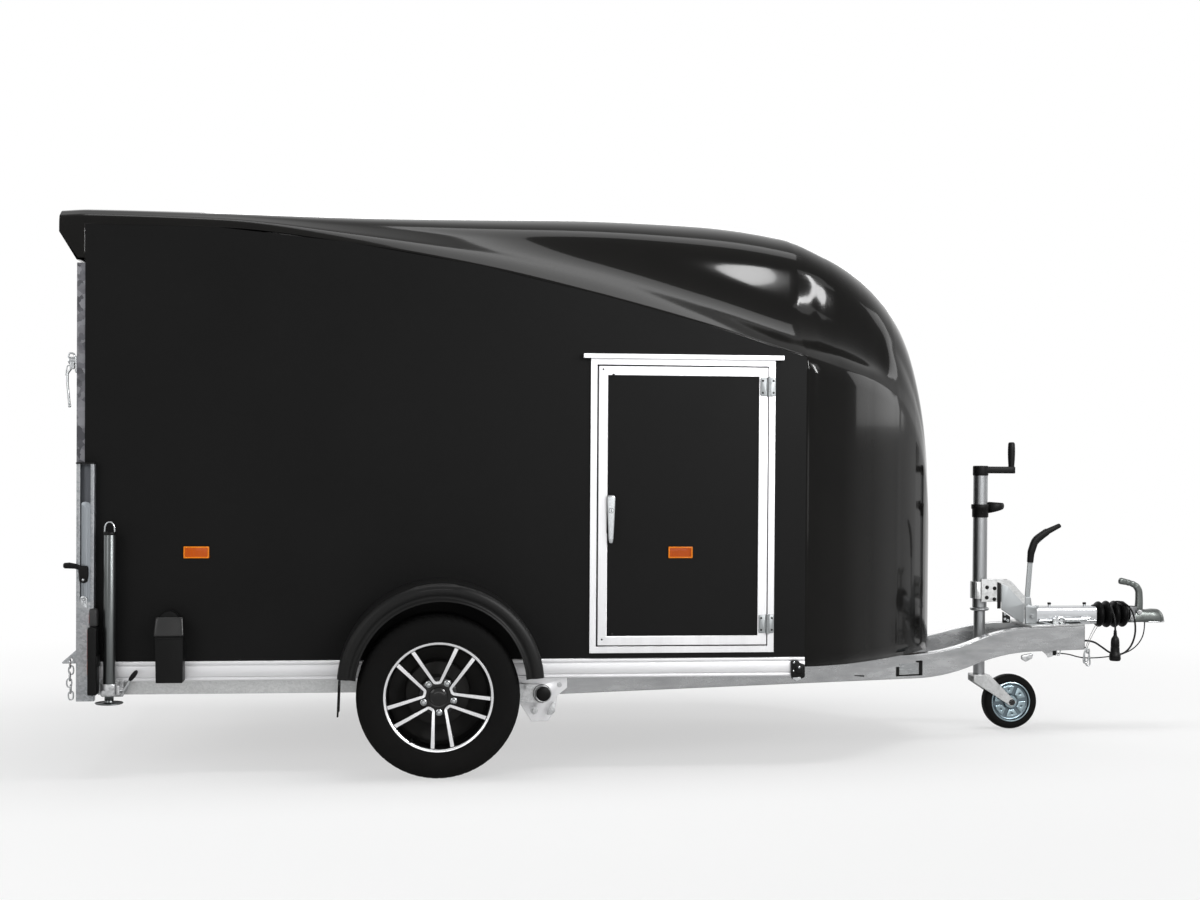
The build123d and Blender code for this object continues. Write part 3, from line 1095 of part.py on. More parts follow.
# Prop stands, one body each side, sliding in a clamp on the rail
tube_low_z = STAND_FOOT_Z + STAND_FOOT_HEIGHT + STAND_STEM
for name, side in SIDES:
    with BuildPart() as stand:
        for radius, low_z, height in ((STAND_FOOT_RADIUS, STAND_FOOT_Z, STAND_FOOT_HEIGHT),
                                      (STAND_RADIUS - 4, STAND_FOOT_Z + STAND_FOOT_HEIGHT, STAND_STEM),
                                      (STAND_RADIUS, tube_low_z, STAND_TOP_Z - tube_low_z)):
            with BuildSketch(Plane.XY.offset(low_z)):
                with Locations((STAND_X, side * STAND_Y)):
                    Circle(radius)
            extrude(amount=height)
        bail_half = STAND_RADIUS - STAND_BAIL
        with BuildSketch(Plane.XZ.offset(-side * (STAND_Y - STAND_BAIL / 2))):
            with BuildLine(mode=Mode.PRIVATE) as bail_line:
                Line((STAND_X - bail_half, STAND_TOP_Z - STAND_BAIL),
                     (STAND_X - bail_half, STAND_TOP_Z + STAND_BAIL_HEIGHT - bail_half))
                ThreePointArc((STAND_X - bail_half, STAND_TOP_Z + STAND_BAIL_HEIGHT - bail_half),
                              (STAND_X, STAND_TOP_Z + STAND_BAIL_HEIGHT),
                              (STAND_X + bail_half, STAND_TOP_Z + STAND_BAIL_HEIGHT - bail_half))
                Line((STAND_X + bail_half, STAND_TOP_Z + STAND_BAIL_HEIGHT - bail_half),
                     (STAND_X + bail_half, STAND_TOP_Z - STAND_BAIL))
            trace(bail_line.line, line_width=STAND_BAIL)
        extrude(amount=-side * STAND_BAIL)
    stand.part.label = f"stand_{name}"
    export_step(stand.part, f"parts/stand_{name}.step")

clamp_height = sill_low_z - STAND_CLAMP_LOW_Z - SEAT_GAP
with BuildPart() as stand_clamps:
    for side in (-1, 1):
        with BuildSketch(Plane.XY.offset(STAND_CLAMP_LOW_Z)):
            with Locations((STAND_X, side * STAND_Y)):
                Circle(STAND_RADIUS + STAND_CLAMP_WALL)
            with Locations((STAND_X, side * (hanger_y + STAND_Y) / 2)):
                Rectangle(STAND_CLAMP_WIDTH, STAND_Y - hanger_y)
            with Locations((STAND_X, side * STAND_Y)):
                Circle(STAND_RADIUS + SEAT_GAP, mode=Mode.SUBTRACT)
        extrude(amount=clamp_height)
        with BuildSketch(Plane.XZ.offset(-side * (STAND_Y + STAND_RADIUS + STAND_CLAMP_WALL / 2))):
            with BuildLine(mode=Mode.PRIVATE) as clamp_line:
                FilletPolyline(*[(STAND_X + x, z) for x, z in STAND_LEVER_LINE], radius=8)
            trace(clamp_line.line, line_width=12)
        extrude(amount=-side * 12)
stand_clamps.part.label = "stand_clamps"
export_step(stand_clamps.part, "parts/stand_clamps.step")

# Wheel chocks in their holders on the sills
with BuildPart() as wheel_chocks:
    for side in (-1, 1):
        with BuildSketch(Plane.XZ.offset(-side * (sill_y + SEAT_GAP))):
            with BuildLine():
                Polyline([(CHOCK_X + x, CHOCK_LOW_Z + z) for x, z in CHOCK_OUTLINE], close=True)
            make_face()
        extrude(amount=-side * CHOCK_DEPTH)
wheel_chocks.part.label = "wheel_chocks"
export_step(wheel_chocks.part, "parts/wheel_chocks.step")

# Cables: gland in the right beam's mouth, clip below it, the lead with its plug, the breakaway cable
gland_z = BEAM_HIGH_Z + BEAM_WALL + SEAT_GAP
gland_front_x = BEAM_FRONT_X - SEAT_GAP
with BuildPart() as lead_gland:
    with BuildSketch(Plane.XY.offset(gland_z)):
        with Locations((gland_front_x - GLAND_LENGTH / 2, -BEAM_FRONT_Y - 2)):
            Rectangle(GLAND_LENGTH, GLAND_WIDTH - 4)
    extrude(amount=GLAND_HEIGHT)
lead_gland.part.label = "lead_gland"
export_step(lead_gland.part, "parts/lead_gland.step")

with BuildPart() as cable_clip:
    with BuildSketch(Plane.XY.offset(BEAM_HIGH_Z)):
        with Locations((CLIP_X + CLIP_SIZE[0] / 2, CLIP_Y)):
            Rectangle(CLIP_SIZE[0], CLIP_SIZE[1])
    extrude(amount=-CLIP_SIZE[2])
cable_clip.part.label = "cable_clip"
export_step(cable_clip.part, "parts/cable_clip.step")

clip_front_x = CLIP_X + CLIP_SIZE[0] + CABLE_SEAT
lead_route = [(gland_front_x + CABLE_SEAT, -62, 376), (1886, -62, 376), (1926, -66, 350), (1962, -76, 322),
              (2008, -80, 316), (2046, -80, 344), (2068, -80, 396), (2070, -76, 452), (2062, -60, 506),
              (2036, -32, 535), (1996, -28, 539), (1968, -56, 524), (1963, -92, 498),
              (PLUG_X, PLUG_Y, PLUG_TOP_Z + 40), (PLUG_X, PLUG_Y, PLUG_TOP_Z + SEAT_GAP)]
breakaway_route = [(clip_front_x, CLIP_Y, 326), (1762, CLIP_Y, 326), (1832, -72, 304), (1900, -61, 302),
                   (1966, -51, 306), (2026, -42, 314), (2078, -34, 334), (2116, -26, 368),
                   (2136, -18, 410), (2136, -18, head_low_z - CABLE_SEAT)]


def corner_radii(points):
    """Largest arc that each corner of a cable's route allows, from its two runs."""
    radii = []
    for before, corner, after in zip(points, points[1:], points[2:]):
        run_in, run_out = Vector(*corner) - Vector(*before), Vector(*after) - Vector(*corner)
        half_turn = math.radians(run_in.get_angle(run_out)) / 2
        radii.append(0.45 * min(run_in.length, run_out.length) / math.tan(half_turn))
    return radii


for name, points, radius in (("electric_cable", lead_route, LEAD_RADIUS),
                             ("breakaway_cable", breakaway_route, BREAKAWAY_RADIUS)):
    radii = corner_radii(points)
    with BuildPart() as cable:
        with BuildLine() as route:
            FilletPolyline(*points, radius=radii)
        line = route.wire()
        with BuildSketch(Plane(origin=line @ 0, z_dir=line % 0)):
            Circle(radius)
        sweep(path=line)
    print(name, "length", round(line.length), "radii", [round(r) for r in radii],
          "volume ratio", round(cable.part.volume / (math.pi * radius ** 2 * line.length), 3))
    cable.part.label = name
    export_step(cable.part, f"parts/{name}.step")

with BuildPart() as cable_plug:
    with BuildSketch(Plane.XZ.offset(-PLUG_Y)):
        with BuildLine():
            Polyline([(PLUG_X + radius, z) for radius, z in PLUG_OUTLINE], close=True)
        make_face()
    revolve(axis=Axis((PLUG_X, PLUG_Y, 0), (0, 0, 1)))
cable_plug.part.label = "cable_plug"
export_step(cable_plug.part, "parts/cable_plug.step")
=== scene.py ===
"""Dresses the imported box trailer: moulding, panels, wheels, drawbar fittings, cables, finishes and light.

Sizes are in millimetres, as on the trailer's drawing, and every mesh is made in metres in the frame of the
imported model: +X forward to the coupling, +Y to the trailer's left, +Z up, with the floor at Z = 0.
"""
import logging
import math
from dataclasses import dataclass
from enum import Enum
from typing import Callable, Iterable, Sequence

import bmesh
import bpy
import numpy as np
from mathutils import Matrix, Vector


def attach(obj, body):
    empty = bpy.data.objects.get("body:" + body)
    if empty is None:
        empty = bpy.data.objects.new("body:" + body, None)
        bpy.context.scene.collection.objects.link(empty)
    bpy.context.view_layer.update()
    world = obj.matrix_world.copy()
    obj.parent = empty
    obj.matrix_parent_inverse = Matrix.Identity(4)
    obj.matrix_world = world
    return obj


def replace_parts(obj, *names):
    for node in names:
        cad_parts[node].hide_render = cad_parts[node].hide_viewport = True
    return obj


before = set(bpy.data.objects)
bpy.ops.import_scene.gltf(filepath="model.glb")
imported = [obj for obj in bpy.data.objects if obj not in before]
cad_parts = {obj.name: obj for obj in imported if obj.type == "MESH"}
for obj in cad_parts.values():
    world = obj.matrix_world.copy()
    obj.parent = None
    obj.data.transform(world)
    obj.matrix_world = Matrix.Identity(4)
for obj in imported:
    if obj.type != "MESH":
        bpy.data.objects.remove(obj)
LOG = logging.getLogger("trailer")
MM = 0.001
SIDES = (("right", -1), ("left", 1))
Points = np.ndarray
Outline = Sequence[tuple[float, float]]

# Surfaces


def grid_faces(rows: int, cols: int, close_rows: bool = False, close_cols: bool = False) -> np.ndarray:
    """Quads between the neighbouring points of a grid, as whole index arrays.

    Args:
        rows: Number of rows of points.
        cols: Number of points in a row.
        close_rows: Joins the last row to the first.
        close_cols: Joins the last point of a row to its first.

    Returns:
        Array of four indices for each quad.
    """
    r = np.arange(rows if close_rows else rows - 1)[:, None]
    c = np.arange(cols if close_cols else cols - 1)[None, :]
    r2, c2 = (r + 1) % rows, (c + 1) % cols
    quads = np.stack(np.broadcast_arrays(r * cols + c, r * cols + c2, r2 * cols + c2, r2 * cols + c), axis=-1)
    return quads.reshape(-1, 4)


def smooth_through(knots: np.ndarray, values: np.ndarray, at: np.ndarray) -> np.ndarray:
    """Monotone cubic through the knots: slopes are the weighted harmonic mean of the two runs beside a knot.

    Args:
        knots: Rising places of the known rows.
        values: One row of values for each knot.
        at: Places where the values are wanted.

    Returns:
        One row of values for each place.
    """
    run = np.diff(knots)[:, None]
    slope = np.diff(values, axis=0) / run
    before, after = slope[:-1], slope[1:]
    w1, w2 = 2 * run[1:] + run[:-1], run[1:] + 2 * run[:-1]
    same = before * after > 0
    safe_before, safe_after = np.where(same, before, 1.0), np.where(same, after, 1.0)
    inner = np.where(same, (w1 + w2) / (w1 / safe_before + w2 / safe_after), 0.0)
    tangent = np.vstack([slope[:1], inner, slope[-1:]])
    i = np.clip(np.searchsorted(knots, at, side="right") - 1, 0, len(knots) - 2)
    h = run[i]
    s = ((at - knots[i])[:, None]) / h
    return ((1 + 2 * s) * (1 - s) ** 2 * values[i] + s * (1 - s) ** 2 * h * tangent[i]
            + s ** 2 * (3 - 2 * s) * values[i + 1] + s ** 2 * (s - 1) * h * tangent[i + 1])


def corner_arc(before: Points, corner: Points, after: Points, radius: float, share: float,
               steps: int) -> Points:
    """Arc that rounds a corner and touches both runs, or the corner itself where it is nearly straight.

    Args:
        before: Point before the corner.
        corner: The corner.
        after: Point after it.
        radius: Radius of the arc, made smaller where the arc would take too much of a run.
        share: Largest share of a run that the arc takes.
        steps: Points on the arc.

    Returns:
        One row for each point.
    """
    a, b = before - corner, after - corner
    la, lb = np.linalg.norm(a), np.linalg.norm(b)
    a, b = a / la, b / lb
    half = math.acos(float(np.clip(a @ b, -1, 1))) / 2
    if radius <= 0 or half > 1.55:
        return corner[None]
    reach = min(radius / math.tan(half), share * la, share * lb)
    middle = corner + (a + b) / np.linalg.norm(a + b) * reach / math.cos(half)
    start, end = corner + a * reach - middle, corner + b * reach - middle
    sweep = math.pi - 2 * half
    s = np.linspace(0, 1, steps)[:, None]
    return middle + (np.sin((1 - s) * sweep) * start + np.sin(s * sweep) * end) / math.sin(sweep)


def rounded_outline(corners: Outline, radius: float | Sequence[float],
                    steps: int = 5) -> list[tuple[float, float]]:
    """Outline with each corner replaced by an arc.

    Args:
        corners: Corner points in order round the outline.
        radius: One radius for all corners, or one for each.
        steps: Points on each arc.

    Returns:
        Points of the rounded outline.
    """
    pts = np.array(corners, float)
    arcs = [corner_arc(pts[k - 1], pts[k], pts[(k + 1) % len(pts)], r, 0.48, steps)
            for k, r in enumerate(np.broadcast_to(radius, len(pts)))]
    return [tuple(p) for p in np.vstack(arcs)]


def box_outline(width: float, height: float, radius: float = 0, centre: tuple[float, float] = (0, 0),
                steps: int = 5) -> list[tuple[float, float]]:
    """Rectangle with rounded corners about its centre."""
    a, b, (u, v) = width / 2, height / 2, centre
    return rounded_outline([(u - a, v - b), (u + a, v - b), (u + a, v + b), (u - a, v + b)], radius, steps)


def span_outline(u0: float, u1: float, v0: float, v1: float, radius: float | Sequence[float] = 0,
                 steps: int = 5) -> list[tuple[float, float]]:
    """Rectangle with rounded corners between its four edges."""
    return rounded_outline([(u0, v0), (u1, v0), (u1, v1), (u0, v1)], radius, steps)


def ring_outline(radius: float, centre: tuple[float, float] = (0, 0),
                 count: int = 32) -> list[tuple[float, float]]:
    """Circle about its centre, as points at equal turns."""
    turn = np.linspace(0, 2 * np.pi, count, endpoint=False)
    return list(zip(centre[0] + radius * np.cos(turn), centre[1] + radius * np.sin(turn)))


def bent_line(corners: Sequence[Sequence[float]], radius: float, steps: int = 7) -> Points:
    """Open line in space whose inner corners are rounded by arcs.

    Args:
        corners: Points of the line.
        radius: Radius of each bend.
        steps: Points on each bend.

    Returns:
        Points along the line.
    """
    pts = np.array(corners, float)
    arcs = [corner_arc(a, b, c, radius, 0.45, steps) for a, b, c in zip(pts, pts[1:], pts[2:])]
    return np.vstack([pts[:1], *arcs, pts[-1:]])


def smoothed(points: Outline, times: int = 2) -> list[tuple[float, float]]:
    """Open line with each corner cut to a quarter of its runs.

    Args:
        points: Points of the line.
        times: How often the corners are cut.

    Returns:
        Points of the smoother line, with the same ends.
    """
    line = np.array(points, float)
    for _ in range(times):
        a, b = line[:-1], line[1:]
        cut = np.stack([a * 0.75 + b * 0.25, a * 0.25 + b * 0.75], axis=1).reshape(-1, 2)
        line = np.vstack([line[:1], cut[1:-1], line[-1:]])
    return [tuple(p) for p in line]


def oval(middle: Points, long: Sequence[float], wide: Sequence[float], half_long: float,
         half_wide: float) -> Points:
    """Closed oval of a chain link, with straighter sides than an ellipse: powers of cosine and sine.

    Args:
        middle: Its middle.
        long: Direction of its length.
        wide: Direction of its width.
        half_long: Half its length.
        half_wide: Half its width.

    Returns:
        Points round the oval.
    """
    turn = np.linspace(0, 2 * np.pi, 28, endpoint=False)[:, None]
    u, v = np.cos(turn), np.sin(turn)
    return (np.array(middle, float) + half_long * np.sign(u) * np.abs(u) ** 0.85 * np.array(long, float)
            + half_wide * np.sign(v) * np.abs(v) ** 0.7 * np.array(wide, float))


def square_to(ahead: Points, up: Sequence[float]) -> tuple[Points, Points]:
    """Directions square to a path at each point: sideways, which is up crossed with ahead, and the third.

    Args:
        ahead: Direction of the path at each point, of any length.
        up: A direction that the path never takes.

    Returns:
        The sideways and the rising directions, of length one.
    """
    ahead = ahead / np.linalg.norm(ahead, axis=1)[:, None]
    side = np.cross(np.broadcast_to(np.array(up, float), ahead.shape), ahead)
    side /= np.linalg.norm(side, axis=1)[:, None]
    return side, np.cross(ahead, side)


PLANES = {"xy": np.eye(3)[[0, 1, 2]], "xz": np.eye(3)[[0, 2, 1]], "yz": np.eye(3)[[1, 2, 0]]}
HEX_HEAD = ((1.45, -0.2), (1.45, 0.16), (1.38, 0.22), (1.0, 0.22), (0.96, 0.24), (0.96, 0.78), (0.84, 0.9),
            (0, 0.9))
DOME_HEAD = ((1.0, -0.2), (1.0, 0.1), (0.86, 0.42), (0.5, 0.6), (0, 0.64))
HEX_FLAT = 0.8705


def placed(name: str, data: bpy.types.ID) -> bpy.types.Object:
    """Makes an object of a mesh, a curve, a lamp or a camera, and links it into the scene.

    Args:
        name: Name of the object.
        data: What it shows.

    Returns:
        The object.
    """
    made = bpy.data.objects.new(name, data)
    bpy.context.scene.collection.objects.link(made)
    return made


class Shape:
    """Collects surfaces in millimetres, and makes one piece of them."""

    def __init__(self) -> None:
        """Starts with no surface."""
        self.points: list[np.ndarray] = []
        self.faces: list[Sequence[int]] = []
        self.count = 0

    def add(self, points: Points, faces: Iterable[Sequence[int]]) -> "Shape":
        """Adds a surface.

        Args:
            points: Its points, in millimetres.
            faces: Indices of the points of each face, counted from the surface's own first point.

        Returns:
            The shape itself.
        """
        points = np.asarray(points, float).reshape(-1, 3)
        self.faces += [tuple(int(i) + self.count for i in face) for face in faces]
        self.points.append(points)
        self.count += len(points)
        return self

    def grid(self, points: Points, close_rows: bool = False, close_cols: bool = False) -> "Shape":
        """Adds a grid of points, rows by columns, as quads."""
        rows, cols = points.shape[:2]
        return self.add(points, grid_faces(rows, cols, close_rows, close_cols).tolist())

    def solid(self, points: Points) -> "Shape":
        """Adds a grid whose rows are rings, and closes its first and last rows by one face each.

        Args:
            points: Grid of points, rings by points round a ring.

        Returns:
            The shape itself.
        """
        cols, first = points.shape[1], self.count
        self.grid(points, close_cols=True)
        self.faces += [tuple(range(first, first + cols)), tuple(range(self.count - cols, self.count))]
        return self

    def turned(self, profile: Outline, centre: Sequence[float], axis: str, segments: int = 48,
               closed: bool = False) -> "Shape":
        """Carries a profile round an axis: each point keeps its radius and its place along the axis.

        Args:
            profile: Radius and place along the axis, in order.
            centre: Point of the axis where the place along it is zero.
            axis: "x", "y" or "z".
            segments: Steps in a whole turn.
            closed: The profile's last point joins its first.

        Returns:
            This shape.
        """
        line = np.array(profile, float)
        e = {"x": (1, 2, 0), "y": (2, 0, 1), "z": (0, 1, 2)}[axis]
        turn = np.linspace(0, 2 * np.pi, segments, endpoint=False)
        out = np.zeros((len(line), segments, 3))
        out[..., e[0]] = line[:, :1] * np.cos(turn)
        out[..., e[1]] = line[:, :1] * np.sin(turn)
        out[..., e[2]] = line[:, 1:2]
        return self.grid(out + np.array(centre, float), close_rows=closed, close_cols=True)

    def carried(self, section: Outline, path: Points, up: Sequence[float] = (0, 0, 1),
                scale: np.ndarray | None = None) -> "Shape":
        """Carries a closed section along a path, square to it: its first number sideways, its second upwards.

        Args:
            section: Points of the section.
            path: Points of the path.
            up: A direction that the path never takes.
            scale: Size of the section at each point of the path.

        Returns:
            This shape.
        """
        side, rise = square_to(np.gradient(path, axis=0), up)
        line = np.array(section, float)
        size = np.ones(len(path)) if scale is None else scale
        return self.solid(path[:, None] + size[:, None, None] * (line[None, :, :1] * side[:, None]
                                                                 + line[None, :, 1:2] * rise[:, None]))

    def loop(self, path: Points, radius: float, up: Sequence[float]) -> "Shape":
        """Carries a round section along a closed path.

        Args:
            path: Points of the path.
            radius: Radius of the section.
            up: Direction square to the path's plane.

        Returns:
            This shape.
        """
        side, rise = square_to(np.roll(path, -1, axis=0) - np.roll(path, 1, axis=0), up)
        ring = np.array(ring_outline(radius, count=10))
        tube = path[:, None] + ring[None, :, :1] * side[:, None] + ring[None, :, 1:] * rise[:, None]
        return self.grid(tube, close_rows=True, close_cols=True)

    def rod(self, path: Points, radius: float, up: Sequence[float] = (0, 1, 0), count: int = 16,
            scale: np.ndarray | None = None) -> "Shape":
        """Carries a round section along a path."""
        return self.carried(ring_outline(radius, count=count), np.asarray(path, float), up, scale)

    def prism(self, outline: Outline, low: float, high: float, plane: str) -> "Shape":
        """Carries a closed outline straight from low to high, square to its plane.

        Args:
            outline: Points in the plane.
            low: Place of one end along the remaining axis.
            high: Place of the other end.
            plane: "xy", "xz" or "yz".

        Returns:
            This shape.
        """
        u, v, third = PLANES[plane]
        line = np.array(outline, float)
        flat = line[:, :1] * u + line[:, 1:2] * v
        return self.solid(np.stack([flat + low * third, flat + high * third]))

    def plate(self, outlines: Sequence[Outline], low: float, high: float, plane: str,
              edge: float = 0.8) -> "Shape":
        """Adds a flat plate with holes and rounded edges: the first outline is its rim, the others are holes.

        Args:
            outlines: Rim and holes, as points in the plane.
            low: Place of one face along the remaining axis.
            high: Place of the other face.
            plane: "xy", "xz" or "yz".
            edge: Size of the rounded edge.

        Returns:
            This shape.
        """
        low, high = min(low, high), max(low, high)
        edge = min(edge, (high - low) * 0.45)
        curve = bpy.data.curves.new("outline", "CURVE")
        curve.dimensions, curve.fill_mode = "2D", "BOTH"
        curve.extrude, curve.bevel_depth, curve.bevel_resolution = (high - low) / 2 - edge, edge, 1
        curve.offset = -edge
        for outline in outlines:
            spline = curve.splines.new("POLY")
            spline.points.add(len(outline) - 1)
            for point, (a, b) in zip(spline.points, outline):
                point.co = (a, b, 0, 1)
            spline.use_cyclic_u = True
        holder = placed("outline", curve)
        graph = bpy.context.evaluated_depsgraph_get()
        mesh = bpy.data.meshes.new_from_object(holder.evaluated_get(graph))
        co = np.zeros(len(mesh.vertices) * 3)
        mesh.vertices.foreach_get("co", co)
        co = co.reshape(-1, 3)
        u, v, third = PLANES[plane]
        self.add(co[:, :1] * u + co[:, 1:2] * v + (co[:, 2:] + (low + high) / 2) * third,
                 [tuple(p.vertices) for p in mesh.polygons])
        bpy.data.objects.remove(holder)
        bpy.data.curves.remove(curve)
        bpy.data.meshes.remove(mesh)
        return self

    def head(self, rows: Outline, place: Sequence[float], ahead: Sequence[float], radius: float,
             flat: float) -> "Shape":
        """Adds the head of a bolt or a screw: its profile turned in twelve steps, with flats on six sides.

        Args:
            rows: Profile as shares of the radius: distance from the axis and height over the face.
            place: Point on the face.
            ahead: Direction away from the face.
            radius: Radius of the head over its corners.
            flat: Share of that radius at the middle of a flat. A row as wide as the radius stays round.

        Returns:
            This shape.
        """
        axis = np.array(ahead, float) / np.linalg.norm(ahead)
        other = np.array([0, 0, 1.0]) if abs(axis[2]) < 0.9 else np.array([1.0, 0, 0])
        e1 = np.cross(other, axis)
        e1 /= np.linalg.norm(e1)
        e2 = np.cross(axis, e1)
        turn = np.linspace(0, 2 * np.pi, 12, endpoint=False)
        reach, rise = np.array(rows, float).T[..., None] * radius
        on_flat = (reach < radius * 0.97) & (np.arange(12) % 2 == 1)
        reach = (reach * np.where(on_flat, flat, 1.0))[..., None]
        out = (np.array(place, float) + rise[..., None] * axis
               + reach * (np.cos(turn)[:, None] * e1 + np.sin(turn)[:, None] * e2))
        return self.grid(out, close_cols=True)

    def bolt(self, place: Sequence[float], ahead: Sequence[float], radius: float) -> "Shape":
        """Adds a hexagon head on its washer."""
        return self.head(HEX_HEAD, place, ahead, radius, HEX_FLAT)

    def screw(self, place: Sequence[float], ahead: Sequence[float], radius: float) -> "Shape":
        """Adds a round domed head."""
        return self.head(DOME_HEAD, place, ahead, radius, 1.0)

    def piece(self, name: str, finish: "Finish", node: str = "", body: str = "trailer", smooth: float = 35,
              wall: float = 0) -> bpy.types.Object:
        """Makes the piece: welds doubles, turns faces outwards, shades it, and lets it ride.

        Args:
            name: Name of the piece.
            finish: What it is made of.
            node: CAD node that it stands in for.
            body: Body that carries it.
            smooth: Edges sharper than this, in degrees, stay sharp.
            wall: Thickness given to an open surface, inwards, in millimetres.

        Returns:
            The new object.
        """
        mesh = bpy.data.meshes.new(name)
        mesh.from_pydata((np.vstack(self.points) * MM).tolist(), [], self.faces)
        made = bmesh.new()
        made.from_mesh(mesh)
        bmesh.ops.remove_doubles(made, verts=made.verts, dist=2e-5)
        bmesh.ops.dissolve_degenerate(made, edges=made.edges, dist=1e-6)
        bmesh.ops.recalc_face_normals(made, faces=made.faces)
        made.to_mesh(mesh)
        made.free()
        mesh.shade_smooth()
        mesh.set_sharp_from_angle(angle=math.radians(smooth))
        piece = placed(name, mesh)
        if wall:
            solid = piece.modifiers.new("wall", "SOLIDIFY")
            solid.thickness, solid.offset = wall * MM, -1
        finish.dress(piece)
        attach(piece, body)
        if node:
            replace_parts(piece, node)
        LOG.info("%s: %d faces on %s", name, len(mesh.polygons), body)
        return piece


def softened(node: str, finish: "Finish", body: str, edge: float) -> bpy.types.Object:
    """Stands in for a CAD node with a merged copy of its mesh, with whole flat faces and round edges.

    Args:
        node: Name of the CAD node.
        finish: What it is made of.
        body: Body that carries it.
        edge: Width of the round on its edges, in millimetres.

    Returns:
        The piece that replaces the node.
    """
    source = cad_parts[node]
    mesh = source.data.copy()
    mesh.name = f"{node}_edged"
    made = bmesh.new()
    made.from_mesh(mesh)
    bmesh.ops.transform(made, matrix=source.matrix_world, verts=made.verts)
    bmesh.ops.remove_doubles(made, verts=made.verts, dist=1e-5)
    bmesh.ops.dissolve_limit(made, angle_limit=math.radians(0.6), verts=made.verts, edges=made.edges)
    made.to_mesh(mesh)
    made.free()
    mesh.materials.clear()
    mesh.shade_smooth()
    mesh.set_sharp_from_angle(angle=math.radians(30))
    piece = placed(f"{node}_edged", mesh)
    bevel = piece.modifiers.new("edge", "BEVEL")
    bevel.width, bevel.segments = edge * MM, 2
    bevel.limit_method, bevel.angle_limit = "ANGLE", math.radians(40)
    bevel.use_clamp_overlap, bevel.harden_normals = True, False
    finish.dress(piece)
    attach(piece, body)
    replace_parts(piece, node)
    LOG.info("%s: edges of %.1f mm on %s", piece.name, edge, body)
    return piece


@dataclass
class SidePart:
    """A part that the trailer has on each side. It is drawn on the left, and turned over for the right."""

    name: str
    side: int

    def make(self, shape: Shape, name: str, finish: "Finish", both: str = "", body: str = "trailer",
             smooth: float = 35, wall: float = 0) -> bpy.types.Object:
        """Makes a piece of this side.

        Args:
            shape: The shape as drawn on the left.
            name: Name of the piece.
            finish: What it is made of.
            both: CAD node that holds the pieces of both sides, for which the right one stands in.
            body: Body that carries it.
            smooth: Edges sharper than this, in degrees, stay sharp.
            wall: Thickness given to an open surface, in millimetres.

        Returns:
            The new object.
        """
        shape.points = [points * (1, self.side, 1) for points in shape.points]
        return shape.piece(name, finish, both if self.side < 0 else "", body, smooth, wall)


# Finishes


class Pattern(Enum):
    """What a finish shows close up."""

    GRAIN = "grain"
    SPANGLE = "spangle"
    BRUSHED_X = "brushed along the trailer"
    BRUSHED_Z = "brushed upwards"
    PLY = "ply"


SQUEEZE = {Pattern.BRUSHED_X: (0.02, 1, 1), Pattern.BRUSHED_Z: (1, 1, 0.02), Pattern.PLY: (0.05, 1, 1)}


@dataclass
class Wiring:
    """Short ways to add the nodes of one tree and to join them."""

    tree: bpy.types.NodeTree

    def feed(self, node: bpy.types.Node, inputs: dict) -> None:
        """Gives inputs of a node their values, or joins them to outputs.

        Args:
            node: The node.
            inputs: Value or output for each input, by its name or number.
        """
        for label, value in inputs.items():
            if isinstance(value, bpy.types.NodeSocket):
                self.tree.links.new(value, node.inputs[label])
            else:
                node.inputs[label].default_value = value

    def add(self, kind: str, inputs: dict, **settings: object) -> bpy.types.Node:
        """Adds a node.

        Args:
            kind: Its type, without the leading ShaderNode.
            inputs: Value or output for each input, by its name or number.
            settings: The node's own settings.

        Returns:
            The node.
        """
        node = self.tree.nodes.new(f"ShaderNode{kind}")
        for label, value in settings.items():
            setattr(node, label, value)
        self.feed(node, inputs)
        return node

    def maths(self, operation: str, a: object, b: object, clamp: bool = False) -> bpy.types.NodeSocket:
        """Adds a Math node whose inputs are outputs or numbers, and gives its output."""
        return self.add("Math", {0: a, 1: b}, operation=operation, use_clamp=clamp).outputs[0]

    def weighed(self, a: object, share_a: float, b: object, share_b: float) -> bpy.types.NodeSocket:
        """Adds two outputs, each times its share."""
        return self.maths("ADD", self.maths("MULTIPLY", a, share_a), self.maths("MULTIPLY", b, share_b))

    def noise(self, vector: object, scale: object, detail: float = 3,
              rough: float = 0.5) -> bpy.types.NodeSocket:
        """Adds a Noise Texture read at a vector, and gives its value."""
        inputs = {"Vector": vector, "Scale": scale, "Detail": detail, "Roughness": rough}
        return self.add("TexNoise", inputs).outputs["Fac"]

    def spread(self, value: object, low: float, high: float) -> bpy.types.NodeSocket:
        """Maps the middle of a pattern's range, 0.3 to 0.7, to low and high."""
        inputs = {"Value": value, "From Min": 0.3, "From Max": 0.7, "To Min": low, "To Max": high}
        return self.add("MapRange", inputs).outputs["Result"]

    def colour(self, factor: object, a: object, b: object) -> bpy.types.NodeSocket:
        """Mixes two colours by a factor."""
        return self.add("Mix", {"Factor": factor, "A": a, "B": b}, data_type="RGBA").outputs["Result"]


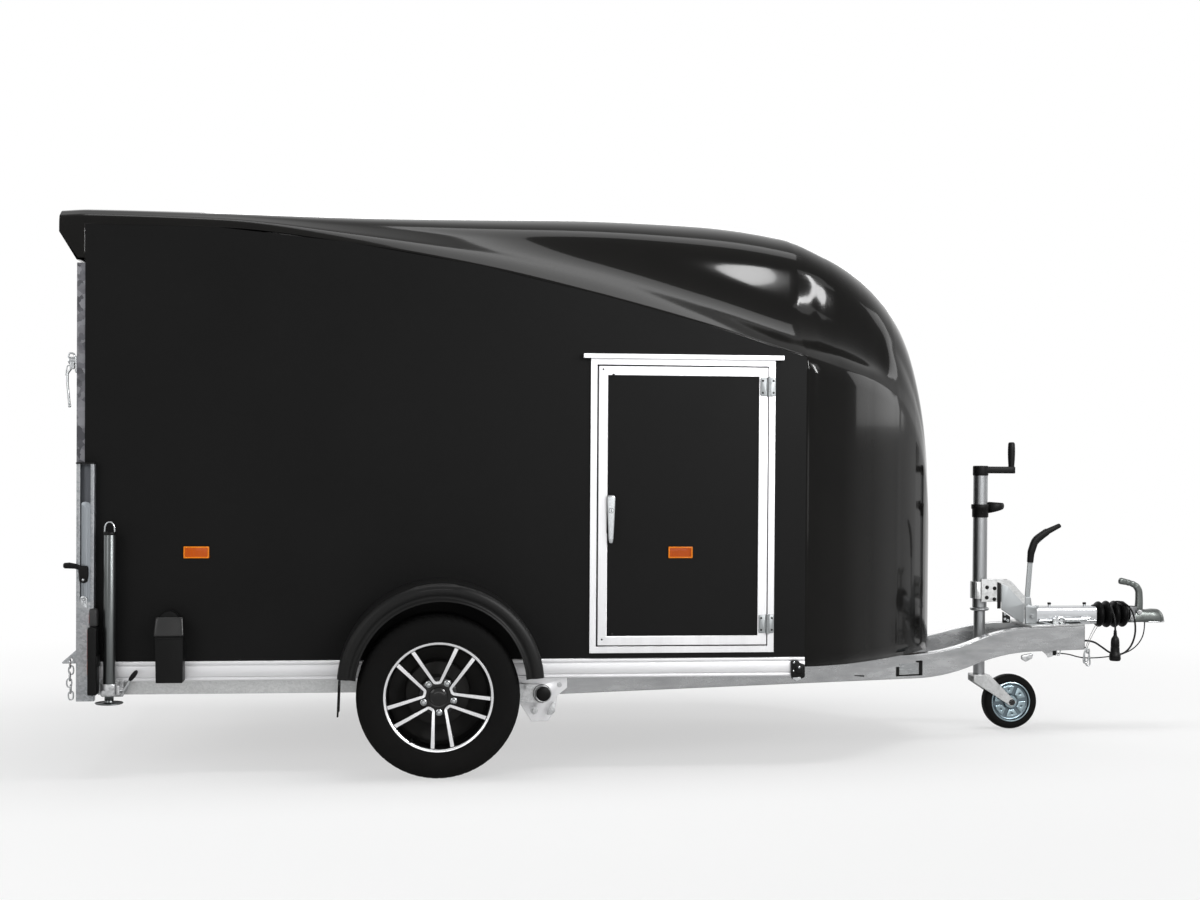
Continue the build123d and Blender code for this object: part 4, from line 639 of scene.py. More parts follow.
def new_group(name: str, numbers: dict[str, float], outputs: Sequence[str]
              ) -> tuple[Wiring, bpy.types.bpy_prop_collection, bpy.types.Node]:
    """Starts a node group that reads a vector and numbers.

    Args:
        name: Name of the group.
        numbers: Default of each number that it reads.
        outputs: Name of each number that it gives.

    Returns:
        Its wiring, what its input node gives, and its output node.
    """
    tree = bpy.data.node_groups.new(name, "ShaderNodeTree")
    tree.interface.new_socket("Vector", in_out="INPUT", socket_type="NodeSocketVector")
    for label, default in numbers.items():
        tree.interface.new_socket(label, in_out="INPUT",
                                  socket_type="NodeSocketFloat").default_value = default
    for label in outputs:
        tree.interface.new_socket(label, in_out="OUTPUT", socket_type="NodeSocketFloat")
    return Wiring(tree), tree.nodes.new("NodeGroupInput").outputs, tree.nodes.new("NodeGroupOutput")


class Effects:
    """Node groups that several finishes share, each built once: a pattern gives its height and patches."""

    def __init__(self) -> None:
        """Builds every group."""
        self.grain = self._grain()
        self.spangle = self._spangle()
        self.brushed = self._brushed()
        self.dust = self._dust()

    def _grain(self) -> bpy.types.NodeTree:
        """Moulded grain: fine noise plus a quarter of coarse noise for height, slow noise for patches.

        Returns:
            The group's node tree.
        """
        group, start, end = new_group("moulded_grain", {"Scale": 900}, ("Height", "Patches"))
        place, scale = start["Vector"], start["Scale"]
        fine, coarse = group.noise(place, scale, 2), group.noise(place, group.maths("MULTIPLY", scale, 0.2))
        group.feed(end, {"Height": group.weighed(fine, 0.75, coarse, 0.25),
                         "Patches": group.noise(place, 2.6, 4, 0.55)})
        return group.tree

    def _spangle(self) -> bpy.types.NodeTree:
        """Zinc crystals: the colour of Voronoi cells for shade, cell edges with fine noise for height.

        Returns:
            The group's node tree.
        """
        group, start, end = new_group("zinc_spangle", {"Scale": 120}, ("Height", "Patches"))
        place = start["Vector"]
        warp = group.maths("ADD", group.maths("MULTIPLY", group.noise(place, 60, 2), 0.012), 0.994)
        shifted = group.add("VectorMath", {0: place, "Scale": warp}, operation="SCALE").outputs[0]
        cells = group.add("TexVoronoi", {"Vector": shifted, "Scale": start["Scale"]}).outputs
        shade = group.add("SeparateColor", {"Color": cells["Color"]}).outputs[0]
        group.feed(end, {"Height": group.weighed(cells["Distance"], 0.3, group.noise(place, 700, 2), 0.5),
                         "Patches": group.weighed(shade, 0.45, group.noise(place, 14, 5, 0.6), 0.55)})
        return group.tree

    def _brushed(self) -> bpy.types.NodeTree:
        """Rolled or drawn metal: noise read through a vector that is squeezed along the brushing.

        Returns:
            The group's node tree.
        """
        group, start, end = new_group("drawn_lines", {"Scale": 400}, ("Height", "Patches"))
        lines = group.noise(start["Vector"], start["Scale"])
        patches = group.weighed(lines, 0.4, group.noise(start["Vector"], 22), 0.6)
        group.feed(end, {"Height": lines, "Patches": patches})
        return group.tree

    def _dust(self) -> bpy.types.NodeTree:
        """Road dust: full at the floor, fading to nothing at Level, and broken up by noise.

        Returns:
            The group's node tree.
        """
        group, start, end = new_group("road_dust", {"Level": 0.5, "Amount": 0.2}, ("Mask",))
        height = group.add("SeparateXYZ", {0: start["Vector"]}).outputs["Z"]
        fade = group.maths("SUBTRACT", 1.0, group.maths("DIVIDE", height, start["Level"]), clamp=True)
        broken = group.maths("MULTIPLY", fade, group.noise(start["Vector"], 24, 6, 0.65))
        group.feed(end, {"Mask": group.maths("MULTIPLY", broken, start["Amount"], clamp=True)})
        return group.tree


@dataclass(frozen=True)
class Finish:
    """One finish of the trailer, with its close-up pattern.

    Attributes:
        name: Name of the material.
        slot: The record's material slot that it belongs to; not used.
        light: Colour of its lighter patches.
        dark: Colour of its darker patches.
        rough: Least and most roughness over the patches.
        metallic: 1 for bare metal.
        coat: Weight of a clear gloss over it.
        pattern: What it shows close up.
        scale: Scale of the pattern.
        depth: Depth of the pattern in millimetres.
        dust: How much road dust lies on its low parts.
        painted_glow: Strength of a painted glow: light of its own, which a part that is no lamp doesn't give.
        shine: Specular level of its surface.
    """

    name: str
    slot: str
    light: tuple[float, float, float]
    dark: tuple[float, float, float]
    rough: tuple[float, float]
    metallic: float = 0.0
    coat: float = 0.0
    pattern: Pattern = Pattern.GRAIN
    scale: float = 900.0
    depth: float = 0.05
    dust: float = 0.0
    painted_glow: float = 0.0
    shine: float = 0.5

    def material(self) -> bpy.types.Material:
        """Builds the material, or gives the one that was built before.

        Returns:
            The material.
        """
        if self.name in BUILT:
            return BUILT[self.name]
        made = bpy.data.materials.new(self.name)
        BUILT[self.name] = made
        made.use_nodes = True
        wiring = Wiring(made.node_tree)
        place = vector = wiring.add("TexCoord", {}).outputs["Object"]
        effect = {Pattern.SPANGLE: EFFECTS.spangle, Pattern.GRAIN: EFFECTS.grain}.get(self.pattern,
                                                                                      EFFECTS.brushed)
        if self.pattern in SQUEEZE:
            vector = wiring.add("Mapping", {"Scale": SQUEEZE[self.pattern],
                                            "Vector": place}).outputs["Vector"]
        pattern = wiring.add("Group", {}, node_tree=effect)
        wiring.feed(pattern, {"Vector": vector, "Scale": self.scale})
        patches = pattern.outputs["Patches"]
        base = wiring.colour(wiring.spread(patches, 0, 1), (*self.dark, 1), (*self.light, 1))
        roughness = wiring.spread(patches, *self.rough)
        if self.dust:
            dust = wiring.add("Group", {}, node_tree=EFFECTS.dust)
            wiring.feed(dust, {"Vector": place, "Level": DUST_LEVEL, "Amount": self.dust})
            mask = dust.outputs["Mask"]
            base = wiring.colour(mask, base, DUST_COLOUR)
            roughness = wiring.maths("ADD", roughness, wiring.maths("MULTIPLY", mask, 0.5), clamp=True)
        bump = wiring.add("Bump", {"Strength": 1.0, "Distance": self.depth * MM,
                                   "Height": pattern.outputs["Height"]})
        inputs = {"Base Color": base, "Roughness": roughness, "Metallic": self.metallic,
                  "Specular IOR Level": self.shine, "Normal": bump.outputs["Normal"]}
        if self.coat:
            inputs |= {"Coat Weight": self.coat, "Coat Roughness": 0.04}
        # Painted glow: emission that makes a part that is no lamp, such as a reflector, look lit.
        if self.painted_glow:
            inputs |= {"Emission Color": (*self.light, 1), "Emission Strength": self.painted_glow}
        wiring.feed(made.node_tree.nodes["Principled BSDF"], inputs)
        return made

    def dress(self, piece: bpy.types.Object) -> None:
        """Gives the finish to a new piece.

        Args:
            piece: The piece.
        """
        piece.data.materials.clear()
        piece.data.materials.append(self.material())

    def coat_node(self, node: str) -> None:
        """Gives the finish to a CAD node that stays.

        Args:
            node: Name of the node.
        """
        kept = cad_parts[node]
        if not kept.material_slots:
            kept.data.materials.append(self.material())
        for place in kept.material_slots:
            place.material = self.material()
        LOG.info("%s: kept, finish %s", node, self.name)


def grey(level: float) -> tuple[float, float, float]:
    """Colour with the same red, green and blue."""
    return level, level, level


DUST_LEVEL = 0.7
DUST_COLOUR = (0.16, 0.145, 0.125, 1)

MOULDING = Finish("roof_moulding", "moulding", (0.0088, 0.0084, 0.0077), (0.0066, 0.0063, 0.0059),
                  (0.09, 0.13), coat=0.07, scale=9, depth=0.1, shine=0.065)
SIDE_PANEL = Finish("side_panel", "wall_black", grey(0.0072), grey(0.0052), (0.5, 0.6),
                    scale=1400, depth=0.02, shine=0.07)
FLOOR_PLY = Finish("floor_boards", "floor_ply", (0.075, 0.05, 0.035), (0.045, 0.03, 0.022), (0.5, 0.62),
                   pattern=Pattern.PLY, scale=320, depth=0.08, shine=0.3)
ALUMINIUM = Finish("bare_aluminium", "aluminium", (0.6, 0.6, 0.61), (0.53, 0.53, 0.54), (0.34, 0.46),
                   metallic=0.75, pattern=Pattern.BRUSHED_X, scale=500, depth=0.012)
ALUMINIUM_UP = Finish("bare_aluminium_upright", "aluminium", (0.6, 0.6, 0.61), (0.53, 0.53, 0.54),
                      (0.34, 0.46), metallic=0.75, pattern=Pattern.BRUSHED_Z, scale=500, depth=0.012)
PORTAL_METAL = Finish("mottled_channel", "aluminium", (0.2, 0.2, 0.215), (0.055, 0.055, 0.062), (0.3, 0.5),
                      metallic=0.6, pattern=Pattern.SPANGLE, scale=42, depth=0.1)
ZINC = Finish("hot_dip_zinc", "galvanised", (0.44, 0.445, 0.445), (0.37, 0.375, 0.375), (0.28, 0.4),
              metallic=0.85, pattern=Pattern.SPANGLE, scale=170, depth=0.02)
ZINC_DULL = Finish("weathered_zinc", "galvanised", (0.46, 0.465, 0.47), (0.34, 0.345, 0.35), (0.36, 0.5),
                   metallic=0.7, pattern=Pattern.SPANGLE, scale=190, depth=0.04)
POST_METAL = Finish("post_zinc", "galvanised", (0.32, 0.33, 0.34), (0.22, 0.23, 0.24), (0.3, 0.42),
                    metallic=0.7, pattern=Pattern.SPANGLE, scale=150, depth=0.02)
STAND_ZINC = Finish("stand_zinc", "galvanised", (0.1, 0.105, 0.105), (0.06, 0.065, 0.065), (0.26, 0.38),
                    metallic=0.9, pattern=Pattern.BRUSHED_Z, scale=420, depth=0.02)
TUBE_ZINC = Finish("jockey_zinc", "galvanised", (0.25, 0.255, 0.26), (0.18, 0.185, 0.19), (0.28, 0.4),
                   metallic=0.9, pattern=Pattern.BRUSHED_Z, scale=420, depth=0.015)
BEAM_ZINC = Finish("beam_zinc", "galvanised", (0.42, 0.425, 0.43), (0.29, 0.295, 0.3), (0.2, 0.32),
                   metallic=0.9, pattern=Pattern.BRUSHED_X, scale=60, depth=0.01)
HEAD_ZINC = Finish("cast_zinc", "galvanised", (0.11, 0.118, 0.114), (0.075, 0.082, 0.078), (0.32, 0.44),
                   metallic=0.85, scale=90, depth=0.04)
GREY_METAL = Finish("grey_plate", "plated", (0.26, 0.272, 0.277), (0.21, 0.222, 0.227), (0.4, 0.5),
                    metallic=0.5, scale=700, depth=0.02)
PLATED = Finish("bright_plating", "plated", (0.4, 0.41, 0.41), (0.3, 0.31, 0.32), (0.22, 0.34), metallic=1.0,
                scale=600, depth=0.015)
# Painted shade: a darker copy of the post's zinc, laid inside the post's channel where shade falls.
CHANNEL_SHADE = Finish("channel_painted_shade", "galvanised", (0.1, 0.105, 0.115), (0.045, 0.05, 0.06), (0.35, 0.5),
                metallic=0.6, pattern=Pattern.BRUSHED_Z, scale=300, depth=0.02)
SLEEVE = Finish("sleeve_zinc", "galvanised", (0.25, 0.27, 0.29), (0.19, 0.205, 0.22), (0.3, 0.42),
                metallic=0.8, pattern=Pattern.BRUSHED_Z, scale=380, depth=0.02)
BRIGHT_CASE = Finish("housing_zinc", "galvanised", (0.48, 0.49, 0.505), (0.38, 0.39, 0.4), (0.3, 0.4),
                     metallic=0.85, pattern=Pattern.BRUSHED_X, scale=150, depth=0.01)
BLUE_DARK = Finish("blue_zinc_shade", "plated", (0.13, 0.16, 0.18), (0.075, 0.1, 0.115), (0.25, 0.38),
                   metallic=0.9, scale=500, depth=0.02)
BLUE_ZINC = Finish("blue_zinc", "plated", (0.3, 0.37, 0.4), (0.18, 0.235, 0.26), (0.22, 0.34), metallic=0.9,
                   scale=500, depth=0.02)
RUBBER = Finish("tyre_rubber", "tyre", grey(0.0046), grey(0.0032), (0.66, 0.8), scale=700,
                depth=0.08, dust=0.03, shine=0.06)
BELLOWS_RUBBER = Finish("bellows_rubber", "black_plastic", grey(0.003), grey(0.0022),
                        (0.42, 0.52), scale=500, depth=0.02, shine=0.05)
GREY_RUBBER = Finish("grey_rubber", "black_plastic", grey(0.05), grey(0.036), (0.5, 0.6), scale=600,
                     depth=0.05, shine=0.2)
ALLOY = Finish("machined_alloy", "rim_alloy", (0.7, 0.7, 0.71), (0.58, 0.58, 0.59), (0.2, 0.3), metallic=1.0,
               scale=900, depth=0.008)
ALLOY_BLACK = Finish("alloy_black", "rim_alloy", grey(0.006), grey(0.0045), (0.2, 0.3), coat=0.25,
                     scale=300, depth=0.015, shine=0.15)
CAST = Finish("cast_iron", "drum", (0.03, 0.029, 0.028), (0.016, 0.0155, 0.015), (0.55, 0.7), metallic=0.3,
              scale=260, depth=0.15, shine=0.2)
BLACK_PLASTIC = Finish("moulded_black", "black_plastic", grey(0.0056), grey(0.0044),
                       (0.4, 0.5), scale=1100, depth=0.03, shine=0.1)
CHOCK_BLACK = Finish("chock_black", "black_plastic", grey(0.005), grey(0.004), (0.5, 0.6),
                     scale=700, depth=0.06, shine=0.08)
CHOCK_GLOSS = Finish("chock_flap", "black_plastic", grey(0.016), grey(0.011), (0.28, 0.4),
                     scale=60, depth=0.4, shine=0.3)
GUARD_PLASTIC = Finish("guard_plastic", "black_plastic", grey(0.0072), grey(0.0056),
                       (0.38, 0.48), scale=800, depth=0.08, dust=0.02, shine=0.12)
# The amber reflector and its rim carry a painted glow: emission that brightens them though they are no lamps.
AMBER = Finish("amber_reflector", "amber", (0.6, 0.1, 0.001), (0.45, 0.065, 0.001), (0.2, 0.3), coat=0.12,
               scale=260, depth=0.2, painted_glow=0.05, shine=0.12)
AMBER_RIM = Finish("amber_rim", "amber", (0.9, 0.25, 0.004), (0.8, 0.2, 0.003), (0.25, 0.33), coat=0.15,
                   scale=300, depth=0.05, painted_glow=0.08, shine=0.15)
RED_LENS = Finish("red_lens", "lamp_lens", (0.42, 0.01, 0.008), (0.3, 0.006, 0.005), (0.1, 0.16), coat=0.8,
                  scale=220, depth=0.2)
CLEAR_LENS = Finish("clear_lens", "black_plastic", (0.62, 0.63, 0.65), (0.5, 0.51, 0.53), (0.08, 0.14),
                    coat=0.8, scale=240, depth=0.2)
CABLE_RUBBER = Finish("cable_rubber", "cable", grey(0.0062), grey(0.0048), (0.45, 0.55),
                      scale=500, depth=0.03, shine=0.12)
WIRE = Finish("steel_wire", "cable", grey(0.2), grey(0.1), (0.35, 0.5), metallic=0.7, scale=900,
              depth=0.05)
EFFECTS: Effects
BUILT: dict[str, bpy.types.Material] = {}

# Camera and room


@dataclass(frozen=True)
class Lamp:
    """A soft rectangular lamp that looks at a point. Places and sizes are in metres.

    Attributes:
        name: Name of the lamp.
        place: Where it hangs.
        aim: Point that it looks at.
        size: Its width and height.
        power: Its power in watts.
        lights: False for a window that shows in reflections alone.
    """

    name: str
    place: tuple[float, float, float]
    aim: tuple[float, float, float]
    size: tuple[float, float]
    power: float
    lights: bool = True

    def hang(self) -> None:
        """Makes the lamp."""
        data = bpy.data.lights.new(self.name, "AREA")
        data.shape, (data.size, data.size_y), data.energy = "RECTANGLE", self.size, self.power
        lamp = placed(self.name, data)
        look = (Vector(self.aim) - Vector(self.place)).to_track_quat("-Z", "Y").to_matrix().to_4x4()
        lamp.matrix_world = Matrix.Translation(self.place) @ look
        lamp.visible_diffuse = self.lights


@dataclass
class Studio:
    """Camera at the photograph's place, pale floor and soft lamps, in metres and degrees."""

    camera_place: tuple[float, float, float] = (-1.032, -7.156, 1.17)
    yaw: float = 6.6
    pitch: float = -0.7
    roll: float = math.degrees(0.0066)
    lens: float = 52.5
    shift_y: float = 0.0172
    world_light: float = 0.3
    floor_colour: float = 0.82
    floor_near: float = 2.2
    floor_far: float = 5.0
    floor_glow: float = 0.56
    lamps: tuple = (
        Lamp("ceiling", (0, -0.35, 5.6), grey(0), (5.6, 2.2), 215),
        Lamp("front_left", (-5.5, -6.5, 3.6), (-0.5, 0, 1.1), (3.2, 2.6), 130),
        Lamp("window_wide", (1.75, -4.85, 2.8), (0.4, -0.58, 1.75), (0.55, 1.5), 185, False),
        Lamp("window_tall", (3.5, -3.9, 2.75), (0.55, -0.57, 1.74), (0.35, 1.7), 160, False),
        Lamp("front_right", (5.6, -5.6, 4.6), (0.9, 0, 1.0), (2.4, 2.0), 60),
        Lamp("low_front", (0.4, -7.6, 0.9), (0.2, 0, 0.5), (6.0, 0.8), 45),
        Lamp("back", (0.5, 6.5, 3.6), (0, 0, 1.0), (6.0, 2.6), 120),
        Lamp("nose_side", (6.5, 0.5, 2.6), (1.2, 0, 1.0), (2.6, 2.6), 80),
        Lamp("tail_side", (-6.5, 0.5, 2.6), (-2.0, 0, 1.0), (2.6, 2.6), 80),
    )

    def camera(self) -> None:
        """Makes the camera, which looks along +Y turned by the yaw."""
        data = bpy.data.cameras.new("camera")
        data.lens, data.sensor_width, data.sensor_fit = self.lens, 36, "HORIZONTAL"
        data.shift_y, data.clip_end = self.shift_y, 100
        camera = placed("camera", data)
        yaw, pitch, roll = (math.radians(turn) for turn in (self.yaw, self.pitch, self.roll))
        ahead = Vector((math.sin(yaw) * math.cos(pitch), math.cos(yaw) * math.cos(pitch), math.sin(pitch)))
        turned = ahead.to_track_quat("-Z", "Y").to_matrix().to_4x4() @ Matrix.Rotation(roll, 4, "Z")
        camera.matrix_world = Matrix.Translation(self.camera_place) @ turned
        bpy.context.scene.camera = camera

    def seen(self, wiring: Wiring) -> bpy.types.NodeSocket:
        """Adds a Light Path node, and gives 1 for what the camera, a reflection or a clear piece shows.

        Args:
            wiring: The tree that the nodes go into.

        Returns:
            The output that carries the number.
        """
        path = wiring.add("LightPath", {}).outputs
        shown = wiring.maths("MAXIMUM", path["Is Camera Ray"], path["Is Glossy Ray"])
        return wiring.maths("MAXIMUM", shown, path["Is Transmission Ray"])

    def world(self) -> None:
        """Makes the world: white where it is seen, and a softer light on the trailer."""
        world = bpy.data.worlds.new("room")
        bpy.context.scene.world = world
        world.use_nodes = True
        wiring, nodes = Wiring(world.node_tree), world.node_tree.nodes
        wiring.feed(nodes["Background"], {"Color": (1, 1, 1, 1), "Strength": self.world_light})
        white = wiring.add("Background", {"Color": (1, 1, 1, 1), "Strength": 1.0}).outputs[0]
        mix = wiring.add("MixShader", {"Fac": self.seen(wiring), 1: nodes["Background"].outputs[0], 2: white})
        wiring.feed(nodes["World Output"], {"Surface": mix.outputs[0]})

    def floor(self) -> None:
        """Makes the floor, which turns white with the distance from the trailer."""
        side = np.concatenate([np.linspace(-30, -8, 4), np.linspace(-6, 6, 9), np.linspace(8, 30, 4)]) / MM
        shape = Shape().grid(np.stack(np.meshgrid(side, side, [-0.5], indexing="ij"), axis=-1)[:, :, 0])
        mesh = bpy.data.meshes.new("floor")
        mesh.from_pydata((shape.points[0] * MM).tolist(), [], shape.faces)
        pale = bpy.data.materials.new("pale_floor")
        pale.use_nodes = True
        wiring, nodes = Wiring(pale.node_tree), pale.node_tree.nodes
        wiring.feed(nodes["Principled BSDF"], {"Base Color": (*grey(self.floor_colour), 1), "Roughness": 1.0,
                                               "Specular IOR Level": 0.0})
        place = wiring.add("TexCoord", {}).outputs["Object"]
        reach = wiring.add("VectorMath", {0: place}, operation="LENGTH").outputs["Value"]
        far = wiring.add("MapRange", {"Value": reach, "From Min": self.floor_near, "From Max": self.floor_far,
                                      "To Min": self.floor_glow, "To Max": 1.0},
                         interpolation_type="SMOOTHSTEP")
        share = wiring.maths("MULTIPLY", self.seen(wiring), far.outputs["Result"])
        blend = wiring.add("MixShader", {"Fac": share, 1: nodes["Principled BSDF"].outputs[0],
                                         2: wiring.add("Emission", {"Strength": 1.0}).outputs[0]})
        wiring.feed(nodes["Material Output"], {"Surface": blend.outputs[0]})
        mesh.materials.append(pale)
        placed("floor", mesh)

    def room(self) -> None:
        """Makes the world, the floor and the lamps."""
        self.world()
        self.floor()
        for lamp in self.lamps:
            lamp.hang()
        bpy.context.scene.view_settings.view_transform = "Standard"

# Cables


@dataclass
class Cables:
    """The electric lead with its plug and the breakaway cable. Routes are the CAD tubes' own points."""

    lead_radius: float = 4.0
    wire_radius: float = 2.5
    lead: tuple = ((1844.9, -62, 376), (1886, -62, 376), (1926, -66, 350), (1962, -76, 322),
                   (2008, -80, 316), (2046, -80, 344), (2068, -80, 396), (2070, -76, 452), (2062, -60, 506),
                   (2036, -32, 535), (1996, -28, 539), (1968, -56, 524), (1963, -92, 498),
                   (1966, -112, 464), (1966, -112, 424.3))
    breakaway: tuple = ((1716.2, -88, 326), (1762, -88, 326), (1832, -72, 304), (1900, -61, 302),
                        (1966, -51, 306), (2026, -42, 314), (2078, -34, 334), (2116, -26, 368),
                        (2136, -18, 410), (2136, -18, 449.8))
    plug_axis: tuple[float, float] = (1966.0, -112.0)
    plug_profile: tuple = ((0, 296), (19.5, 296), (21.0, 297), (22.6, 300), (23.6, 303), (23.9, 306),
                           (23.9, 311), (22.6, 312), (22.6, 314), (23.9, 315), (23.6, 320), (22, 325),
                           (19.5, 330), (18.8, 336), (18.4, 352), (17.4, 353), (17.4, 355), (18.2, 356),
                           (17.8, 372), (17.2, 382), (15.5, 389), (12.5, 395), (9, 399), (7.8, 402),
                           (7.8, 405), (6.8, 406), (6.8, 408), (7.4, 409), (7.2, 412), (6.2, 413), (6.2, 415),
                           (6.8, 416), (6.4, 420), (5.6, 424), (0, 424))

    def line(self, name: str, points: Sequence[Sequence[float]], radius: float,
             finish: Finish) -> bpy.types.Object:
        """Makes one cable as a NURBS curve whose control points are the route's own points.

        Args:
            name: Name of the cable.
            points: Points of its route.
            radius: Its radius.
            finish: What its cover is made of.

        Returns:
            The cable.
        """
        curve = bpy.data.curves.new(name, "CURVE")
        curve.dimensions, curve.bevel_depth, curve.use_fill_caps = "3D", radius * MM, True
        curve.bevel_resolution, curve.resolution_u = 4, 16
        spline = curve.splines.new("NURBS")
        spline.points.add(len(points) - 1)
        for place, (x, y, z) in zip(spline.points, points):
            place.co = (x * MM, y * MM, z * MM, 1)
        spline.order_u, spline.use_endpoint_u = 3, True
        cable = placed(name, curve)
        finish.dress(cable)
        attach(cable, "trailer")
        return cable

    def build(self) -> None:
        """Makes the plug, whose barrel has ribs, and both cables."""
        ribs = 1 + 0.03 * np.cos(np.linspace(0, 2 * np.pi, 48, endpoint=False) * 16)
        plug = Shape()
        line = np.array(self.plug_profile, float)
        turn = np.linspace(0, 2 * np.pi, 48, endpoint=False)
        ribbed = np.where((line[:, 1] > 330) & (line[:, 1] < 390), 1.0, 0.0)[:, None]
        radius = line[:, :1] * (1 + ribbed * (ribs[None] - 1.03))
        plug.grid(np.stack([self.plug_axis[0] + radius * np.cos(turn),
                            self.plug_axis[1] + radius * np.sin(turn),
                            np.broadcast_to(line[:, 1:2], radius.shape)], axis=-1), close_cols=True)
        body = plug.piece("lead_plug", BLACK_PLASTIC, "cable_plug", smooth=38)
        lead = self.line("lead", self.lead, self.lead_radius, CABLE_RUBBER)
        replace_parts(lead, "electric_cable")
        wire = self.line("breakaway_line", self.breakaway, self.wire_radius, CABLE_RUBBER)
        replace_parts(wire, "breakaway_cable")


# Roof and nose


@dataclass
class RoofMoulding:
    """The one-piece roof and nose, from the same station rows as its CAD solid.

    A station is its place along the trailer, then half width and height at the crease, the ridge and the
    hood, the height of the crown and the depth of the hollow.
    """

    panel_front: float = 478.0
    rear: float = -2135.0
    skirt_z: float = 365.0
    wall: float = 8.0
    visor_tip_z: float = 1929.0
    visor_root_z: float = 1830.0
    visor_slope: float = 61.0
    stations: tuple = (
        (-2226.0, 775.0, 1955.0, 770.0, 1985.0, 728.0, 2006.0, 2034.0, 4.0),
        (-2135.0, 775.0, 1957.0, 770.0, 1990.0, 728.0, 2012.0, 2040.0, 4.0),
        (-1672.0, 775.0, 1955.0, 767.0, 1985.0, 720.0, 2006.0, 2048.0, 5.0),
        (-1212.0, 775.0, 1911.0, 750.0, 1945.0, 668.0, 1990.0, 2066.0, 12.0),
        (-732.0, 775.0, 1834.0, 728.0, 1885.0, 625.0, 1970.0, 2086.0, 25.0),
        (-282.0, 775.0, 1732.0, 708.0, 1800.0, 605.0, 1955.0, 2097.0, 40.0),
        (118.0, 775.0, 1628.0, 700.0, 1690.0, 598.0, 1922.0, 2090.0, 48.0),
        (478.0, 775.0, 1518.0, 700.0, 1570.0, 585.0, 1868.0, 2050.0, 50.0),
        (618.0, 727.0, 1480.0, 668.0, 1535.0, 560.0, 1810.0, 2005.0, 40.0),
        (768.0, 618.0, 1440.0, 583.0, 1490.0, 500.0, 1720.0, 1930.0, 22.0),
        (918.0, 472.0, 1380.0, 455.0, 1430.0, 400.0, 1590.0, 1812.0, 10.0),
        (1028.0, 345.0, 1250.0, 335.0, 1300.0, 300.0, 1420.0, 1660.0, 6.0),
        (1108.0, 225.0, 1050.0, 219.0, 1100.0, 200.0, 1200.0, 1405.0, 4.0),
        (1153.0, 115.0, 800.0, 112.0, 850.0, 100.0, 950.0, 1180.0, 3.0),
        (1168.0, 34.0, 600.0, 33.0, 640.0, 29.0, 700.0, 940.0, 1.0),
    )
    rows_per_station: int = 12
    chamfer_points: int = 9
    scoop_points: int = 27
    crown_points: int = 27
    pocket_start: float = 560.0
    pocket_end: float = 872.0
    pocket_depth: float = 50.0
    pocket_swell: float = 7.0
    pocket_fade: float = 60.0
    nose_start: float = 950.0
    nose_end: float = 1150.0
    hollow_x: tuple = (-740.0, -282.0, 118.0, 478.0, 540.0)
    hollow_share: tuple = (0.05, 0.36, 0.55, 0.8, 1.0)
    ease_passes: int = 22

    def rows(self) -> np.ndarray:
        """Station values at every row of the surface, from the visor to the middle of the nose.

        The places are the run of each station in plan. The last two rows are repeated with their widths
        turned over, so that the surface closes round the nose at a width of nothing.

        Returns:
            One row for each place, in the order of the stations' values.
        """
        table = np.array(self.stations)
        over = table[[-1, -2]] * np.array([1, -1, 1, -1, 1, -1, 1, 1, 1])
        table = np.vstack([table, over])
        knots = np.concatenate([[0], np.cumsum(np.hypot(*np.diff(table[:, :2], axis=0).T))])
        last = len(self.stations) - 1
        steps = np.linspace(0, last, last * self.rows_per_station + 1)
        steps = np.concatenate([steps, last + np.linspace(0, 0.5, 4)[1:]])
        places = np.interp(steps, np.arange(len(table)), knots)
        values = smooth_through(knots, table, places)
        values[-1, [1, 3, 5]] = 0
        return values

    def section(self, rows: np.ndarray) -> np.ndarray:
        """Right half of the skin at every row: a nearly flat chamfer, a hollow and an arc over the crown.

        The hollow is a sine of the place across times its depth, which is a share of the station's own depth.

        Args:
            rows: Station values at every row.

        Returns:
            Grid of points, rows by points across.
        """
        x, half, crease_z, ridge_y, ridge_z, hood_y, hood_z, crown_z, scoop = (rows[:, [k]] for k in range(9))
        end = np.clip((x - self.pocket_start) / (self.pocket_end - self.pocket_start), 0, 1)
        past = np.clip((x - self.pocket_end) / self.pocket_fade, 0, 1)
        scoop = np.where(x > self.pocket_start, self.pocket_depth * (1 - end ** 3.2) ** 0.6, scoop)
        before_nose = np.clip((self.nose_end - x) / (self.nose_end - self.nose_start), 0, 1)
        scoop = scoop - self.pocket_swell * past * before_nose
        s = np.linspace(0, 1, self.chamfer_points)[None]
        swell = 4 * s * (1 - s)
        chamfer_y = half + (ridge_y - half) * s + 1.5 * swell * (half > 40)
        chamfer_z = crease_z + (ridge_z - crease_z) * s + 3.0 * swell
        s = np.linspace(0, 1, self.scoop_points)[None, 1:]
        hollow = np.sin(np.pi * s ** 0.97) * scoop * np.interp(x, self.hollow_x, self.hollow_share)
        scoop_y = ridge_y + (hood_y - ridge_y) * s - hollow
        scoop_z = ridge_z + (hood_z - ridge_z) * s - hollow * 0.9
        s = np.linspace(0, np.pi / 2, self.crown_points)[None, 1:]
        crown_y = hood_y * np.cos(s)
        crown_z_line = hood_z + (crown_z - hood_z) * np.sin(s)
        y = np.concatenate([chamfer_y, scoop_y, crown_y], axis=1)
        z = np.concatenate([chamfer_z, scoop_z, crown_z_line], axis=1)
        return np.stack([np.broadcast_to(x, y.shape), -y, z], axis=-1)

